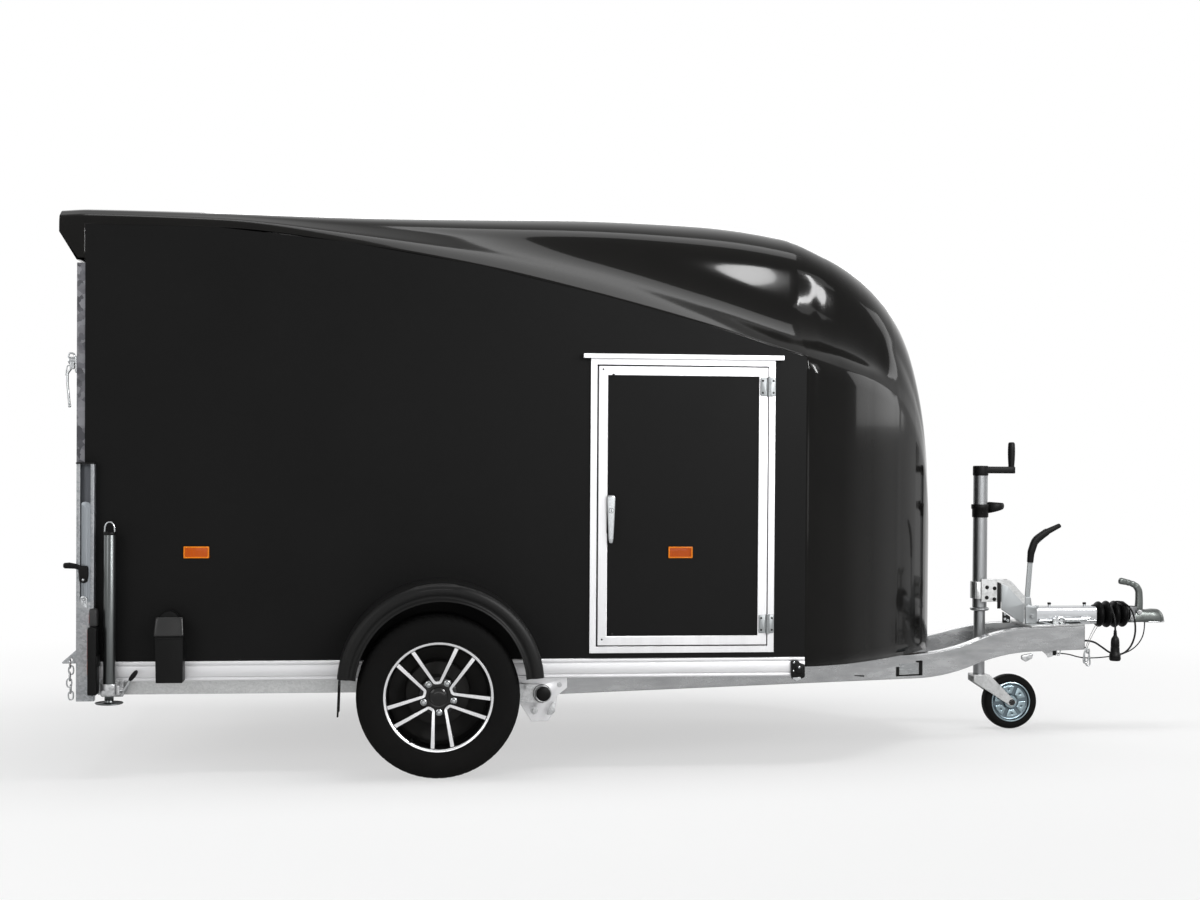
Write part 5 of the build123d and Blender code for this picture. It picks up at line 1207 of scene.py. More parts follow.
    def eased(self, skin: np.ndarray, first_fixed: np.ndarray) -> np.ndarray:
        """Rounds the section's corners: each point moves half way to the mean of its neighbours across.

        Two passes along the trailer follow, which leave each point's place along it.

        Args:
            skin: Grid of points, rows by points across.
            first_fixed: Rows whose first point stays.

        Returns:
            The eased grid.
        """
        out = skin.copy()
        for _ in range(self.ease_passes):
            mean = (out[:, :-2] + out[:, 2:]) / 2
            out[:, 1:-1] += 0.5 * (mean - out[:, 1:-1])
        for _ in range(2):
            mean = (out[:-2] + out[2:]) / 2
            move = 0.5 * (mean - out[1:-1])
            move[..., 0] = 0
            move[first_fixed[1:-1], 0] = 0
            out[1:-1] += move
        return out

    def build(self) -> None:
        """Makes the moulding in place of its CAD node: skin, nose sides, rear visor and its cheeks."""
        rows = self.rows()
        flat = rows[:, 0] <= self.panel_front + 0.5
        half = self.eased(self.section(rows), flat)
        half[-1, :, 1] = 0
        mirror = half[:, ::-1] * np.array([1, -1, 1])
        whole = np.concatenate([half, mirror[:, 1:]], axis=1)
        shape = Shape().grid(whole)
        nose = rows[:, 0] >= self.panel_front - 0.5
        crease = half[nose, 0]
        drop = np.linspace(0, 1, 24)[None, :, None]
        foot = crease * np.array([1, 1, 0]) + np.array([0, 0, self.skirt_z])
        side = crease[:, None] * (1 - drop) + foot[:, None] * drop
        shape.grid(side)
        shape.grid(side * np.array([1, -1, 1]))
        back = whole[0]
        down = np.linspace(0, 1, 5)[:, None]
        tip = back * np.array([1, 1, 0]) + np.array([0, 0, self.visor_tip_z])
        face = back[None] * (1 - down[..., None]) + tip[None] * down[..., None]
        root = tip + np.array([self.visor_slope, 0, self.visor_root_z - self.visor_tip_z])
        seat = root + np.array([self.rear - 3 - root[0, 0], 0, 0])
        shape.grid(np.concatenate([face, root[None], seat[None]]))
        tail = half[rows[:, 0] <= self.rear + 0.5, 0]
        under = np.interp(tail[:, 0], [tail[0, 0], tail[0, 0] + self.visor_slope],
                          [self.visor_tip_z, self.visor_root_z])
        down = np.linspace(0, 1, 5)[None, :, None]
        low = np.stack([tail[:, 0], tail[:, 1], under], axis=-1)
        cheek = tail[:, None] * (1 - down) + low[:, None] * down
        shape.grid(cheek)
        shape.grid(cheek * np.array([1, -1, 1]))
        shape.piece("roof_and_nose", MOULDING, "roof_shell", smooth=66, wall=self.wall)


# Wheels


@dataclass
class RoadWheel:
    """One road wheel: treaded tyre, alloy rim with five forked spokes, bolts, cap, valve and brake plate.

    Radii are from the axle. A tyre's or a plate's profile gives the radius and the place across beside it.
    """

    name: str
    side: int
    axle_x: float = -884.0
    radius: float = 291.0
    track_y: float = 890.0
    rim_half: float = 82.5
    spoke_turn: float = 22.7
    bolt_turn: float = 56.3
    bolt_circle: float = 56.0
    pitch_count: int = 60
    segments: int = 480
    groove_y: tuple = (-44.0, -15.0, 15.0, 44.0)
    groove_depth: float = 6.5
    slot_depth: float = 5.0
    valve_radius: float = 178.0
    valve_turn: float = 238.0
    drum_back: float = 791.6
    plate_profile: tuple = ((34, 787.5), (122, 787.5), (132, 791.5), (170, 794.5), (179, 799), (185, 799),
                            (185, 803), (177, 803), (168, 797.6), (130, 794.2), (121, 790.9), (34, 790.9))

    @property
    def body(self) -> str:
        """Body that carries the wheel."""
        return f"wheel_{self.name}"

    def tyre(self) -> None:
        """Makes the tyre: a rounded section turned once, whose tread is lowered where a groove crosses it.

        The grooves are four rings, and slanted slots at each pitch of the turn that bend with the distance
        from the middle. The lowering eases over the width of a few points.
        """
        corners = [(77.0, 189.2), (80.0, 196), (86.5, 210), (90.0, 226), (91.0, 240), (90.0, 256),
                   (87.2, 268), (83.0, 277.5), (76.0, 285.0), (66.0, 288.8), (50, 290.0), (25, 290.7),
                   (0, 291.0)]
        line = np.array(corners)
        s = np.concatenate([[0], np.cumsum(np.hypot(*np.diff(line, axis=0).T))])
        dense = np.unique(np.concatenate([np.linspace(0, s[8], 24), np.linspace(s[8], s[-1], 27)]))
        half = smooth_through(s, line, dense)
        inside = [(64.0, 189.2), (60, 205), (76, 228), (80, 245), (76, 262), (66, 272), (40, 276), (0, 277)]
        ys = np.concatenate([half[:, 0], -half[::-1, 0][1:]])
        rs = np.concatenate([half[:, 1], half[::-1, 1][1:]])
        inner_y = np.array([p[0] for p in inside] + [-p[0] for p in inside[::-1][1:]])[::-1]
        inner_r = np.array([p[1] for p in inside] + [p[1] for p in inside[::-1][1:]])[::-1]
        turn = np.linspace(0, 2 * np.pi, self.segments, endpoint=False)[None]
        y, r = ys[:, None], rs[:, None] * np.ones_like(turn)
        on_tread = np.clip((rs[:, None] - 283.5) / 3.0, 0, 1)
        rings = np.zeros_like(r)
        for middle in self.groove_y:
            rings = np.maximum(rings, np.clip(1.6 - np.abs(y - middle) / 3.6, 0, 1))
        phase = self.pitch_count * turn / (2 * np.pi) + 0.42 * np.sin(y / 26) + np.abs(y) / 60
        slot = np.clip((np.abs((phase % 1) - 0.5) - 0.34) / 0.06, 0, 1)
        shoulder = np.clip((np.abs(y) - 47) / 3, 0, 1)
        block = slot * (0.45 + 0.55 * shoulder)
        r = r - on_tread * np.maximum(rings * self.groove_depth, block * self.slot_depth)
        lug = np.clip((rs[:, None] - 272) / 5, 0, 1) * np.clip((286 - rs[:, None]) / 3, 0, 1)
        r = r - lug * slot * 1.8
        protect = np.exp(-((rs[:, None] - 206) / 2.2) ** 2) * 1.4
        protect = protect + np.exp(-((rs[:, None] - 262) / 1.2) ** 2) * 0.5
        y = y * np.ones_like(turn) + np.sign(y) * protect
        outer = np.stack([self.axle_x + r * np.cos(turn), self.side * self.track_y + y,
                          self.radius + r * np.sin(turn)], axis=-1)
        inner = np.stack([self.axle_x + inner_r[:, None] * np.cos(turn),
                          self.side * self.track_y + inner_y[:, None] * np.ones_like(turn),
                          self.radius + inner_r[:, None] * np.sin(turn)], axis=-1)
        shape = Shape().grid(np.concatenate([outer, inner]), close_rows=True, close_cols=True)
        shape.piece(f"tyre_{self.name}_treaded", RUBBER, f"tyre_{self.name}", self.body, 32)

    def out(self, depth: float | np.ndarray) -> float | np.ndarray:
        """Place across the trailer of a depth behind the rim's outer edge."""
        return self.side * (self.track_y + self.rim_half - depth)

    def around(self, radius: float, turn: float) -> tuple[float, float]:
        """Place along the trailer and height of a point at a radius and a turn in degrees about the axle."""
        angle = math.radians(turn)
        return self.axle_x + radius * math.cos(angle), self.radius + radius * math.sin(angle)

    def arms(self, width: Callable[[np.ndarray], np.ndarray], front: float, back: float,
             shape: Shape) -> None:
        """Adds the five forked spokes: a rounded V line swept by a flat bar that widens towards the rim.

        Args:
            width: Half width of the bar at each distance from the wheel's middle.
            front: Depth of the bar's outer face behind the rim's edge.
            back: Depth of its inner face.
            shape: Shape that takes the surface.
        """
        fork = bent_line([(182.0, 86.5, 0), (50.0, 10.0, 0), (50.0, -10.0, 0), (182.0, -86.5, 0)], 10.0, 9)
        dense = [fork[0] + (fork[1] - fork[0]) * t for t in np.linspace(0, 1, 9)[:-1]]
        dense += list(fork[1:-1]) + [fork[-2] + (fork[-1] - fork[-2]) * t for t in np.linspace(0, 1, 9)[1:]]
        path = np.array(dense)[:, :2]
        ahead = np.gradient(path, axis=0)
        ahead /= np.linalg.norm(ahead, axis=1)[:, None]
        across = np.stack([-ahead[:, 1], ahead[:, 0]], axis=-1)
        reach = np.linalg.norm(path, axis=1)
        half = width(reach)[:, None]
        dish = (7.0 * np.clip((150 - reach) / 110, 0, 1) ** 1.5)[:, None, None]
        rim_round = 1.3
        ends = np.array([-1, -1, -1, 1, 1, 1])
        depth_set = np.array([back, front + rim_round, front, front, front + rim_round, back])
        inset = ends * np.array([0.9, 1, 1, 1, 1, 0.9])
        soft = ends * np.array([0, 0, rim_round, rim_round, 0, 0])
        flat = path[:, None] + across[:, None] * (inset[None, :, None] * half[:, None] - soft[None, :, None])
        depth = np.broadcast_to(depth_set[None, :, None], flat[..., :1].shape) + dish
        for fork_number in range(5):
            turn = math.radians(self.spoke_turn + 72 * fork_number)
            u = flat[..., :1] * math.cos(turn) - flat[..., 1:2] * math.sin(turn)
            v = flat[..., :1] * math.sin(turn) + flat[..., 1:2] * math.cos(turn)
            y = self.out(depth)
            shape.grid(np.concatenate([self.axle_x + u, y, self.radius + v], axis=-1), close_cols=True)

    def alloy(self) -> None:
        """Makes the rim: black barrel and hub in place of the CAD rim, machined lip and spoke faces."""
        centre = (self.axle_x, 0.0, self.radius)
        place = self.out
        barrel = [(194.6, place(165)), (194.8, place(162)), (189, place(159)), (185, place(150)),
                  (183, place(120)), (181, place(60)), (184, place(24)), (188.2, place(6)),
                  (194.4, place(3.4)), (194.4, place(1.6)), (190.0, place(2.2)), (183.6, place(6)),
                  (181.6, place(10)), (176.5, place(22)), (174.5, place(60)), (176.0, place(120)),
                  (178, place(150)), (184, place(161)), (190, place(165))]
        dark = Shape().turned(barrel, centre, "y", 128, closed=True)
        hub = [(0, place(21)), (27, place(21)), (29, place(20)), (44, place(20)), (60, place(22)),
               (68, place(27)), (70, place(34)), (66, place(48)), (40, place(52)), (0, place(52))]
        dark.turned(hub, centre, "y", 80)
        self.arms(lambda reach: 6.6 + 2.2 * np.clip((reach - 50) / 130, 0, 1), 8.0, 36.0, dark)
        dark.piece(f"rim_{self.name}_black", ALLOY_BLACK, f"rim_{self.name}", self.body, 34)
        bright = Shape().turned([(194.9, place(3.2)), (195.0, place(1.4)), (193.6, place(0.2)),
                                 (190.6, place(0.4)), (186.4, place(2.4)), (185.0, place(4.6)),
                                 (187.4, place(5.4)), (191.5, place(4.0))], centre, "y", 160, closed=True)
        self.arms(lambda reach: 5.6 + 2.0 * np.clip((reach - 50) / 130, 0, 1), 7.2, 9.2, bright)
        bright.piece(f"rim_{self.name}_machined", ALLOY, body=self.body, smooth=34)
        studs = Shape()
        for number in range(5):
            x, z = self.around(self.bolt_circle, self.bolt_turn + 72 * number)
            studs.turned([(11.5, place(21.5)), (11.5, place(19.4)), (9.0, place(18.4)), (9.0, place(13)),
                          (8.2, place(9.6)), (6.0, place(7.4)), (3.0, place(6.6)), (0, place(6.4))],
                         (x, 0, z), "y", 12)
        studs.piece(f"wheel_{self.name}_bolts", PLATED, body=self.body, smooth=30)
        cap = Shape().turned([(33.0, place(22)), (33.0, place(17)), (31.8, place(14.6)), (29.0, place(13.4)),
                              (27.5, place(13.8)), (26.5, place(13.2)), (14, place(12.2)), (0, place(11.8))],
                             centre, "y", 64)
        cap.piece(f"wheel_{self.name}_cap", ALLOY_BLACK, body=self.body, smooth=30)
        x, z = self.around(self.valve_radius, self.valve_turn)
        valve = Shape().turned([(4.6, place(20)), (4.4, place(8)), (3.4, place(6)), (3.4, place(-4)),
                                (4.2, place(-5)), (4.2, place(-13)), (3.4, place(-14.4)), (0, place(-14.6))],
                               (x, 0, z), "y", 14)
        valve.piece(f"wheel_{self.name}_valve", BLACK_PLASTIC, body=self.body, smooth=30)

    def brake(self) -> None:
        """Dresses the drum's node, and adds its edge, the hub's flange and the fixed brake plate."""
        CAST.coat_node(f"hub_{self.name}")
        centre, ring = (self.axle_x, 0, self.radius), Shape()
        lip = ((112.0, 1), (116.0, 2), (117.5, 6), (117.5, 12), (115.0, 16), (112.0, 17))
        flange = ((111.6, 58), (113.5, 60), (113.5, 63), (108, 64), (70, 66), (62, 76), (61, 90))
        for profile in (lip, flange):
            ring.turned([(r, self.side * (self.drum_back + out)) for r, out in profile], centre, "y", 64)
        ring.piece(f"drum_{self.name}_edge", CAST, body=self.body, smooth=30, wall=1.5)
        plate = Shape().turned([(r, self.side * y) for r, y in self.plate_profile], centre, "y", 72,
                               closed=True)
        plate.piece(f"brake_plate_{self.name}", CAST, smooth=30)

    def build(self) -> None:
        """Makes the whole wheel."""
        self.tyre()
        self.alloy()
        self.brake()


@dataclass
class Mudguard(SidePart):
    """A moulded mudguard with its ridged lip and its recess, and the rubber flap behind the wheel."""

    axle_x: float = -875.0
    centre_z: float = 330.0
    radius: float = 367.0
    inner_y: float = 780.0
    end_angle: float = 4.6
    recess: float = 2.5
    flap_low: tuple[float, float] = (2.0, 226.0)
    flap_high: tuple[float, float] = (7.0, 352.0)
    flap_width: float = 190.0
    bracket_z: float = 342.0
    bracket_y: tuple[float, float] = (18.0, 204.0)

    def build(self) -> None:
        """Makes the mudguard and its flap."""
        self.guard()
        self.flap()

    def guard(self) -> None:
        """Makes the mudguard by carrying one section round the wheel.

        The section is a crown, a rolled shoulder, a channel in the lip and a rolled edge.
        At the very top the shoulder is pressed in for the recess.
        """
        outside = smoothed([(0.3, 0), (90, 0.0), (180, 0.6), (200, 1.6), (211, 6.5), (217, 15), (219.4, 25),
                            (219.8, 34), (218, 39.5), (213.8, 44), (212.2, 48.5), (213.0, 54), (216.8, 58.5),
                            (219.6, 62), (219.9, 66), (218.0, 67.0)])
        inside = smoothed([(215.2, 66.4), (213.5, 61), (209.5, 56), (208.0, 49), (209.2, 42), (214.0, 37),
                           (215.2, 27), (213, 17), (207.5, 9.6), (198, 5.6), (120, 4.6), (0.3, 4.5)])
        out, drop = (column[None] for column in np.array(outside + inside).T)
        angle = np.radians(np.linspace(self.end_angle, 180 - self.end_angle, 77))[:, None]
        press = (np.clip((np.radians(13) - np.abs(angle - np.pi / 2 - 0.06)) / 0.03, 0,
                         1) * np.clip((out - 200) / 6, 0, 1) * np.clip((24 - drop) / 5, 0,
                                                                       1) * np.clip((drop - 2) / 3, 0, 1))
        r = self.radius - drop - self.recess * press
        skin = np.stack([self.axle_x + r * np.cos(angle), self.inner_y + out - self.recess * press,
                         self.centre_z + r * np.sin(angle)], axis=-1)
        self.make(Shape().solid(skin), f"mudguard_{self.name}", GUARD_PLASTIC, "mudguards", smooth=40)

    def flap(self) -> None:
        """Makes the rubber flap that leans back behind the wheel, and its bracket with three bolts."""
        rear = self.axle_x - self.radius
        (low_x, low_z), (high_x, high_z) = self.flap_low, self.flap_high
        lean = np.linspace(0, 1, 9)[:, None]
        spread = np.linspace(0, 1, 15)[None]
        y = self.inner_y + 16 + spread * self.flap_width * (1 - 0.03 * lean)
        z = high_z + (low_z - high_z) * lean + 0 * spread
        x = rear + high_x + (low_x - high_x) * lean + 1.6 * np.sin(spread * 9.0) * lean
        self.make(Shape().grid(np.stack([x, y, z], axis=-1)), f"mud_flap_{self.name}", RUBBER, "mud_flaps",
                  smooth=40, wall=5.0)
        y0, y1 = (self.inner_y + y for y in self.bracket_y)
        back, front = rear + high_x + 0.4, rear + high_x + 3.0
        bracket = Shape().plate([box_outline(y1 - y0, 24, 3, ((y0 + y1) / 2, self.bracket_z))], back, front,
                                "yz", 0.6)
        for place in (0.15, 0.5, 0.85):
            bracket.bolt((front, y0 + (y1 - y0) * place, self.bracket_z), (1, 0, 0), 5.0)
        self.make(bracket, f"flap_bracket_{self.name}", PLATED, smooth=38)


# The body's panels and frames


class BodyPanels:
    """Walls, floor, portal, rear sill and ramp of the box, which keep the shapes of their CAD nodes."""

    def build(self) -> None:
        """Gives the kept panels their finishes and rounds the edges of the frames."""
        for node in ("side_wall_right", "side_wall_left", "ramp_panel", "door_panel"):
            SIDE_PANEL.coat_node(node)
        FLOOR_PLY.coat_node("floor_board")
        softened("rear_portal", PORTAL_METAL, "trailer", 2.0)
        softened("rear_sill", ALUMINIUM, "trailer", 2.0)
        softened("ramp_frame", PORTAL_METAL, "ramp", 2.0)


@dataclass
class Sill(SidePart):
    """A drawn side sill with its step, groove and lower lip."""

    inner_y: float = 734.0
    outer_y: float = 780.0
    rear: float = -2094.4
    front: float = 477.7

    def build(self) -> None:
        """Makes the sill: its section carried along the side."""
        inner, outer = self.inner_y, self.outer_y
        section = [(inner, 401.8), (outer - 3, 401.8), (outer, 399), (outer, 389), (outer - 2, 387.5),
                   (outer - 2, 385.5), (outer, 384), (outer, 347), (outer - 2.4, 345), (outer - 2.4, 342),
                   (outer, 340), (outer, 334), (outer - 2.5, 331.2), (inner, 331.2)]
        sill = Shape().prism(rounded_outline(section, 1.0, 3), self.rear, self.front, "yz")
        self.make(sill, f"sill_{self.name}", ALUMINIUM, "sills", smooth=38)


@dataclass
class RearCorner(SidePart):
    """Post, ramp strut, chain, tail lamp, chock, prop stand, its clamp and the ramp's latch on one side."""

    post_rear: float = -2158.0
    post_front: float = -2096.0
    post_inner: float = 775.3
    post_outer: float = 809.3
    post_low: float = 266.0
    post_top: float = 1108.0
    wall: float = 4.5
    lip: float = 13.0
    cover_top: float = 620.0
    strut_x: float = -2131.0
    strut_y: float = 793.0
    stand_x: float = -2040.0
    stand_y: float = 826.0
    clamp_z: float = 309.0
    lamp_y: float = 845.6
    lamp_rear: float = -2107.0
    chock_rear: float = -1880.0
    latch_y: float = 735.0

    def build(self) -> None:
        """Makes every fitting of the corner."""
        self.post()
        self.strut()
        self.lamp()
        self.chock()
        self.stand()
        self.clamp()
        self.latch()

    def post(self) -> None:
        """Makes a lipped channel, a dark sheet of painted shade inside it, its inner sleeve and cover, its
        cap, the ear behind it and the chain.
        """
        a, b, i, o = self.post_rear, self.post_front, self.post_inner, self.post_outer
        w, lip = self.wall, self.lip
        low, top = self.post_low, self.post_top
        line = [(a, i), (b, i), (b, o), (b - lip, o), (b - lip, o - w), (b - w, o - w), (b - w, i + w),
                (a + w, i + w), (a + w, o - w), (a + lip, o - w), (a + lip, o), (a, o)]
        outline = rounded_outline(line, [2, 2, 2.5, 1, 0.6, 1.5, 1.5, 1.5, 1.5, 0.6, 1, 2.5], 4)
        channel = Shape().prism(outline, low, top, "xy")
        ear = [(-2209, 403), (-2205, 399), (a - 0.2, 399), (a - 0.2, 447), (-2162, 445)]
        channel.plate([rounded_outline(ear, 2, 3), ring_outline(5, (-2176, 412), 16)], 792, 797, "xz")
        self.make(channel, f"corner_post_{self.name}", POST_METAL, "corner_posts")
        # Painted shade: a dark sheet on the inner face of the channel's back stands for the shade inside the
        # channel.
        groove = Shape().plate([span_outline(a + w + 0.3, b - w - 0.3, low + 1, top - 3)],
                               i + w + 0.2, i + w + 1.2, "xz", 0.3)
        self.make(groove, f"post_channel_shade_{self.name}", CHANNEL_SHADE, smooth=38)
        sleeve = Shape().plate([span_outline(-2147, -2107, 604, 972, [0.5, 0.5, 16, 16], 6)], 784, 800, "xz",
                               1.5)
        sleeve.plate([span_outline(-2134, -2119, 622, 960, [0.5, 0.5, 7, 7], 6)], 800, 803.5, "xz", 1.2)
        self.make(sleeve, f"post_sleeve_{self.name}", SLEEVE)
        cover = Shape().plate([span_outline(a + 1, -2108.5, low, self.cover_top, 2, 4)], o - 0.5, o + 1.4,
                              "xz", 0.7)
        self.make(cover, f"post_cover_{self.name}", POST_METAL)
        marks = Shape()
        for k in range(11):
            marks.turned([(0, o + 0.5), (2.6, o + 0.5), (2.9, o - 0.5)], (b - 5.5, 0, 286 + 27 * k), "y", 8)
        marks.plate([span_outline(a - 2, b + 2, i + 0.4, o + 2, 3, 3)], top - 2, top + 4, "xy", 1.5)
        self.make(marks, f"post_cap_{self.name}", BLACK_PLASTIC)
        chain = Shape()
        for k in range(6):
            across = np.array([1.0, 0, 0]) if k % 2 else np.array([0, 1.0, 0])
            middle = np.array([-2180 + 3.5 * math.sin(1.7 * k), 794.5, 398.0 - 22.5 * k])
            chain.loop(oval(middle, (0, 0, 1), across, 15, 8.6), 2.7, np.cross((0, 0, 1), across))
        self.make(chain, f"ramp_chain_{self.name}", PLATED, smooth=60)

    def strut(self) -> None:
        """Makes the ramp strut's lower end: plated rod and clevis, black knob with its screw, and grip."""
        x, y = self.strut_x, self.strut_y
        bright = Shape().rod([(x, y, 300), (x, y, 470), (x, y, 690)], 8.5, count=20)
        bright.plate([span_outline(x - 13, x + 13, 594, 640, [3, 3, 12.5, 12.5], 7),
                      ring_outline(4.5, (x, 626), 16)], y + 7, y + 20, "xz", 1.5)
        bright.screw((x, y + 32.6, 698), (0, 1, 0), 5.2).screw((x, y + 19.6, 626), (0, 1, 0), 4.6)
        self.make(bright, f"strut_rod_{self.name}", PLATED, "ramp_struts")
        body = rounded_outline([(x - 19, 748), (x - 14, 688), (x + 11, 684), (x + 16, 712), (x + 15, 746)],
                               [7, 11, 11, 10, 8], 7)
        knob = Shape().plate([body], y + 6, y + 32.8, "xz", 6)
        knob.plate([box_outline(23, 44, 9, (x - 1, 722), 6)], y + 31, y + 36, "xz", 3)
        grip = [(x - 70, y + 19, 747), (x - 66, y + 19, 747), (x - 50, y + 19, 747.5), (x - 30, y + 19, 745),
                (x - 12, y + 19, 740)]
        knob.rod(grip, 10.5, scale=np.array([0.62, 0.96, 1.05, 0.9, 0.8]))
        self.make(knob, f"strut_knob_{self.name}", BLACK_PLASTIC)

    def lamp(self) -> None:
        """Makes the tail lamp: a black housing with three lenses, and the outline lamp on its rubber arm."""
        y, back = self.lamp_y, self.lamp_rear
        body = Shape().plate([box_outline(72, 238, 9, (y, 414))], back, back + 30, "yz", 3.5)
        body.plate([box_outline(66, 40, 4, (y, 414))], back + 29.5, back + 35, "yz", 2)
        self.make(body, f"tail_lamp_{self.name}_housing", BLACK_PLASTIC, "tail_lamps")
        for colour, finish, height, z, proud in (("red", RED_LENS, 104, 475, 0.7),
                                                 ("amber", AMBER, 56, 393, 0.6),
                                                 ("clear", CLEAR_LENS, 60, 333, 0.6)):
            lens = Shape().plate([box_outline(65, height, 5, (y, z))], back - proud, back + 2, "yz", 0.9)
            self.make(lens, f"tail_lamp_{self.name}_{colour}", finish, smooth=38)
        arm = Shape().plate([span_outline(812, 854, 534, 597, [3, 6, 14, 14], 6)], back + 1, back + 28, "yz",
                            6)
        self.make(arm, f"outline_lamp_{self.name}_arm", GREY_RUBBER)
        lens = Shape().plate([box_outline(30, 44, 8, (833, 566))], back + 0.2, back + 2.5, "yz")
        self.make(lens, f"outline_lamp_{self.name}_lens", RED_LENS, smooth=38)

    def chock(self) -> None:
        """Makes a wheel chock in its holder: an open box, a flared flap, and the rounded wedge behind."""
        a = self.chock_rear
        front = rounded_outline([(a + 4, 334), (a + 97, 334), (a + 98, 497), (a + 1, 497)], 3, 4)
        tray = Shape().plate([front], 850, 856.5, "xz", 2)
        cheek = rounded_outline([(780.5, 336), (852, 336), (852, 495), (780.5, 470)], 3, 3)
        for low in (a + 4, a + 92):
            tray.plate([cheek], low, low + 5, "yz", 1)
        tray.plate([span_outline(a + 5, a + 96, 780.5, 852, 3, 3)], 334, 339, "xy", 1)
        tray.plate([box_outline(97, 6, 2, (a + 49.5, 492))], 855, 858.2, "xz", 1.4)
        self.make(tray, f"chock_holder_{self.name}", BLACK_PLASTIC, "wheel_chocks")
        s = np.linspace(0, 1, 13)[:, None]
        across = np.linspace(-1, 1, 21)[None]
        x = a + 48.5 + (52.0 - 5.0 * s) * across
        z = 500 + 66 * s + 0 * across
        y = 857.5 - 15 * s ** 1.4 - 2.2 * (1 - across ** 2) * np.sin(np.pi * s) - 2.0 * across ** 8
        self.make(Shape().grid(np.stack([x, y, z], axis=-1)), f"chock_flap_{self.name}", CHOCK_GLOSS,
                  smooth=40, wall=4.0)
        wedge = [(a + 14, 342), (a + 84, 342), (a + 86, 540), (a + 82, 562), (a + 70, 579), (a + 52, 588),
                 (a + 34, 585), (a + 20, 574), (a + 14, 556)]
        wedge = Shape().plate([rounded_outline(wedge, 12, 4)], 790, 838, "xz", 4)
        self.make(wedge, f"wheel_chock_{self.name}", CHOCK_BLACK)

    def stand(self) -> None:
        """Makes the prop stand that slides in its clamp: tube, stem, foot, black cap and wire bail."""
        x, y, body = self.stand_x, self.stand_y, f"prop_stand_{self.name}"
        centre = (x, y, 0)
        tube = Shape().turned([(16.2, 301), (19.5, 300), (20.8, 301.5), (21, 304), (21, 857), (19.5, 860),
                               (17, 860), (17, 304)], centre, "z", 40, closed=True)
        tube.turned([(0, 270), (14, 270), (16, 273), (16, 303), (0, 303)], centre, "z", 28)
        tube.turned([(0, 259.5), (38, 258.2), (46, 259.2), (49, 262), (48.6, 264), (45, 262.6), (36, 261.4),
                     (24, 262.4), (17.5, 266), (15.5, 272), (0, 273)], centre, "z", 48)
        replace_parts(self.make(tube, f"stand_{self.name}_tube", STAND_ZINC, body=body), f"stand_{self.name}")
        cap = Shape().turned([(0, 869), (17, 868.6), (21, 867), (22.2, 864.5), (22.2, 857), (21.2, 856)],
                             centre, "z", 36)
        self.make(cap, f"stand_{self.name}_cap", BLACK_PLASTIC, body=body, smooth=40)
        arch = np.linspace(0, np.pi, 19)
        path = np.stack([x + 16.5 * np.cos(arch), y + 0 * arch, 879 + 22.5 * np.sin(arch)], axis=-1)
        path = np.vstack([[x + 17.5, y, 864], [x + 17, y, 872], path[1:-1], [x - 17, y, 872],
                          [x - 17.5, y, 864]])
        self.make(Shape().rod(path, 2.9, count=12), f"stand_{self.name}_bail", PLATED, body=body, smooth=50)

    def clamp(self) -> None:
        """Makes the stand's clamp: a split ring on two plates, its bolts, and the lever with its grip."""
        x, y, z = self.stand_x, self.stand_y, self.clamp_z
        ring = Shape().plate([ring_outline(30, (x, y), 40), ring_outline(21.5, (x, y), 40)], z - 20, z + 22,
                             "xy", 1.5)
        web = rounded_outline([(x - 30, 775.6), (x + 30, 775.6), (x + 27, 803), (x - 27, 803)], 3, 3)
        for low in (z - 22.5, z + 18.5):
            ring.plate([web], low, low + 5, "xy", 1)
        ring.plate([box_outline(78, 62, 4, (x + 4, z))], 780.4, 785, "xz", 1.2)
        for u in (-28, 36):
            for v in (22, -22):
                ring.bolt((x + u, 785, z + v), (0, 1, 0), 6)
        ring.plate([box_outline(11, 34, 3, (x + 33, z))], 818, 846, "xz", 1.5)
        ring.rod([(x + 14, y + 6, z), (x + 50, y + 6, z)], 9, count=20)
        ring.plate([box_outline(40, 9, 2, (x - 2, z - 10))], 852, 857, "xz", 1.2)
        ring.bolt((x + 12, 853, z + 9), (0, 1, 0), 7).bolt((x - 14, 851, z - 8), (0, 1, 0), 7)
        self.make(ring, f"stand_clamp_{self.name}", ZINC_DULL, "stand_clamps")
        line = bent_line([(x + 30, y + 12, 308), (x + 52, y + 16, 308), (x + 70, y + 18, 338),
                          (x + 79, y + 18, 352)], 14)
        self.make(Shape().rod(line, 4.6, count=14), f"stand_lever_{self.name}", PLATED, smooth=40)
        grip = [(x + 73, y + 18, 343), (x + 77, y + 18, 349), (x + 83, y + 18, 357), (x + 90, y + 18, 366),
                (x + 96, y + 18, 374), (x + 99, y + 18, 378)]
        grip = Shape().rod(grip, 8.0, scale=np.array([0.62, 0.95, 1.08, 1.06, 0.86, 0.4]))
        self.make(grip, f"stand_grip_{self.name}", BLACK_PLASTIC, smooth=50)

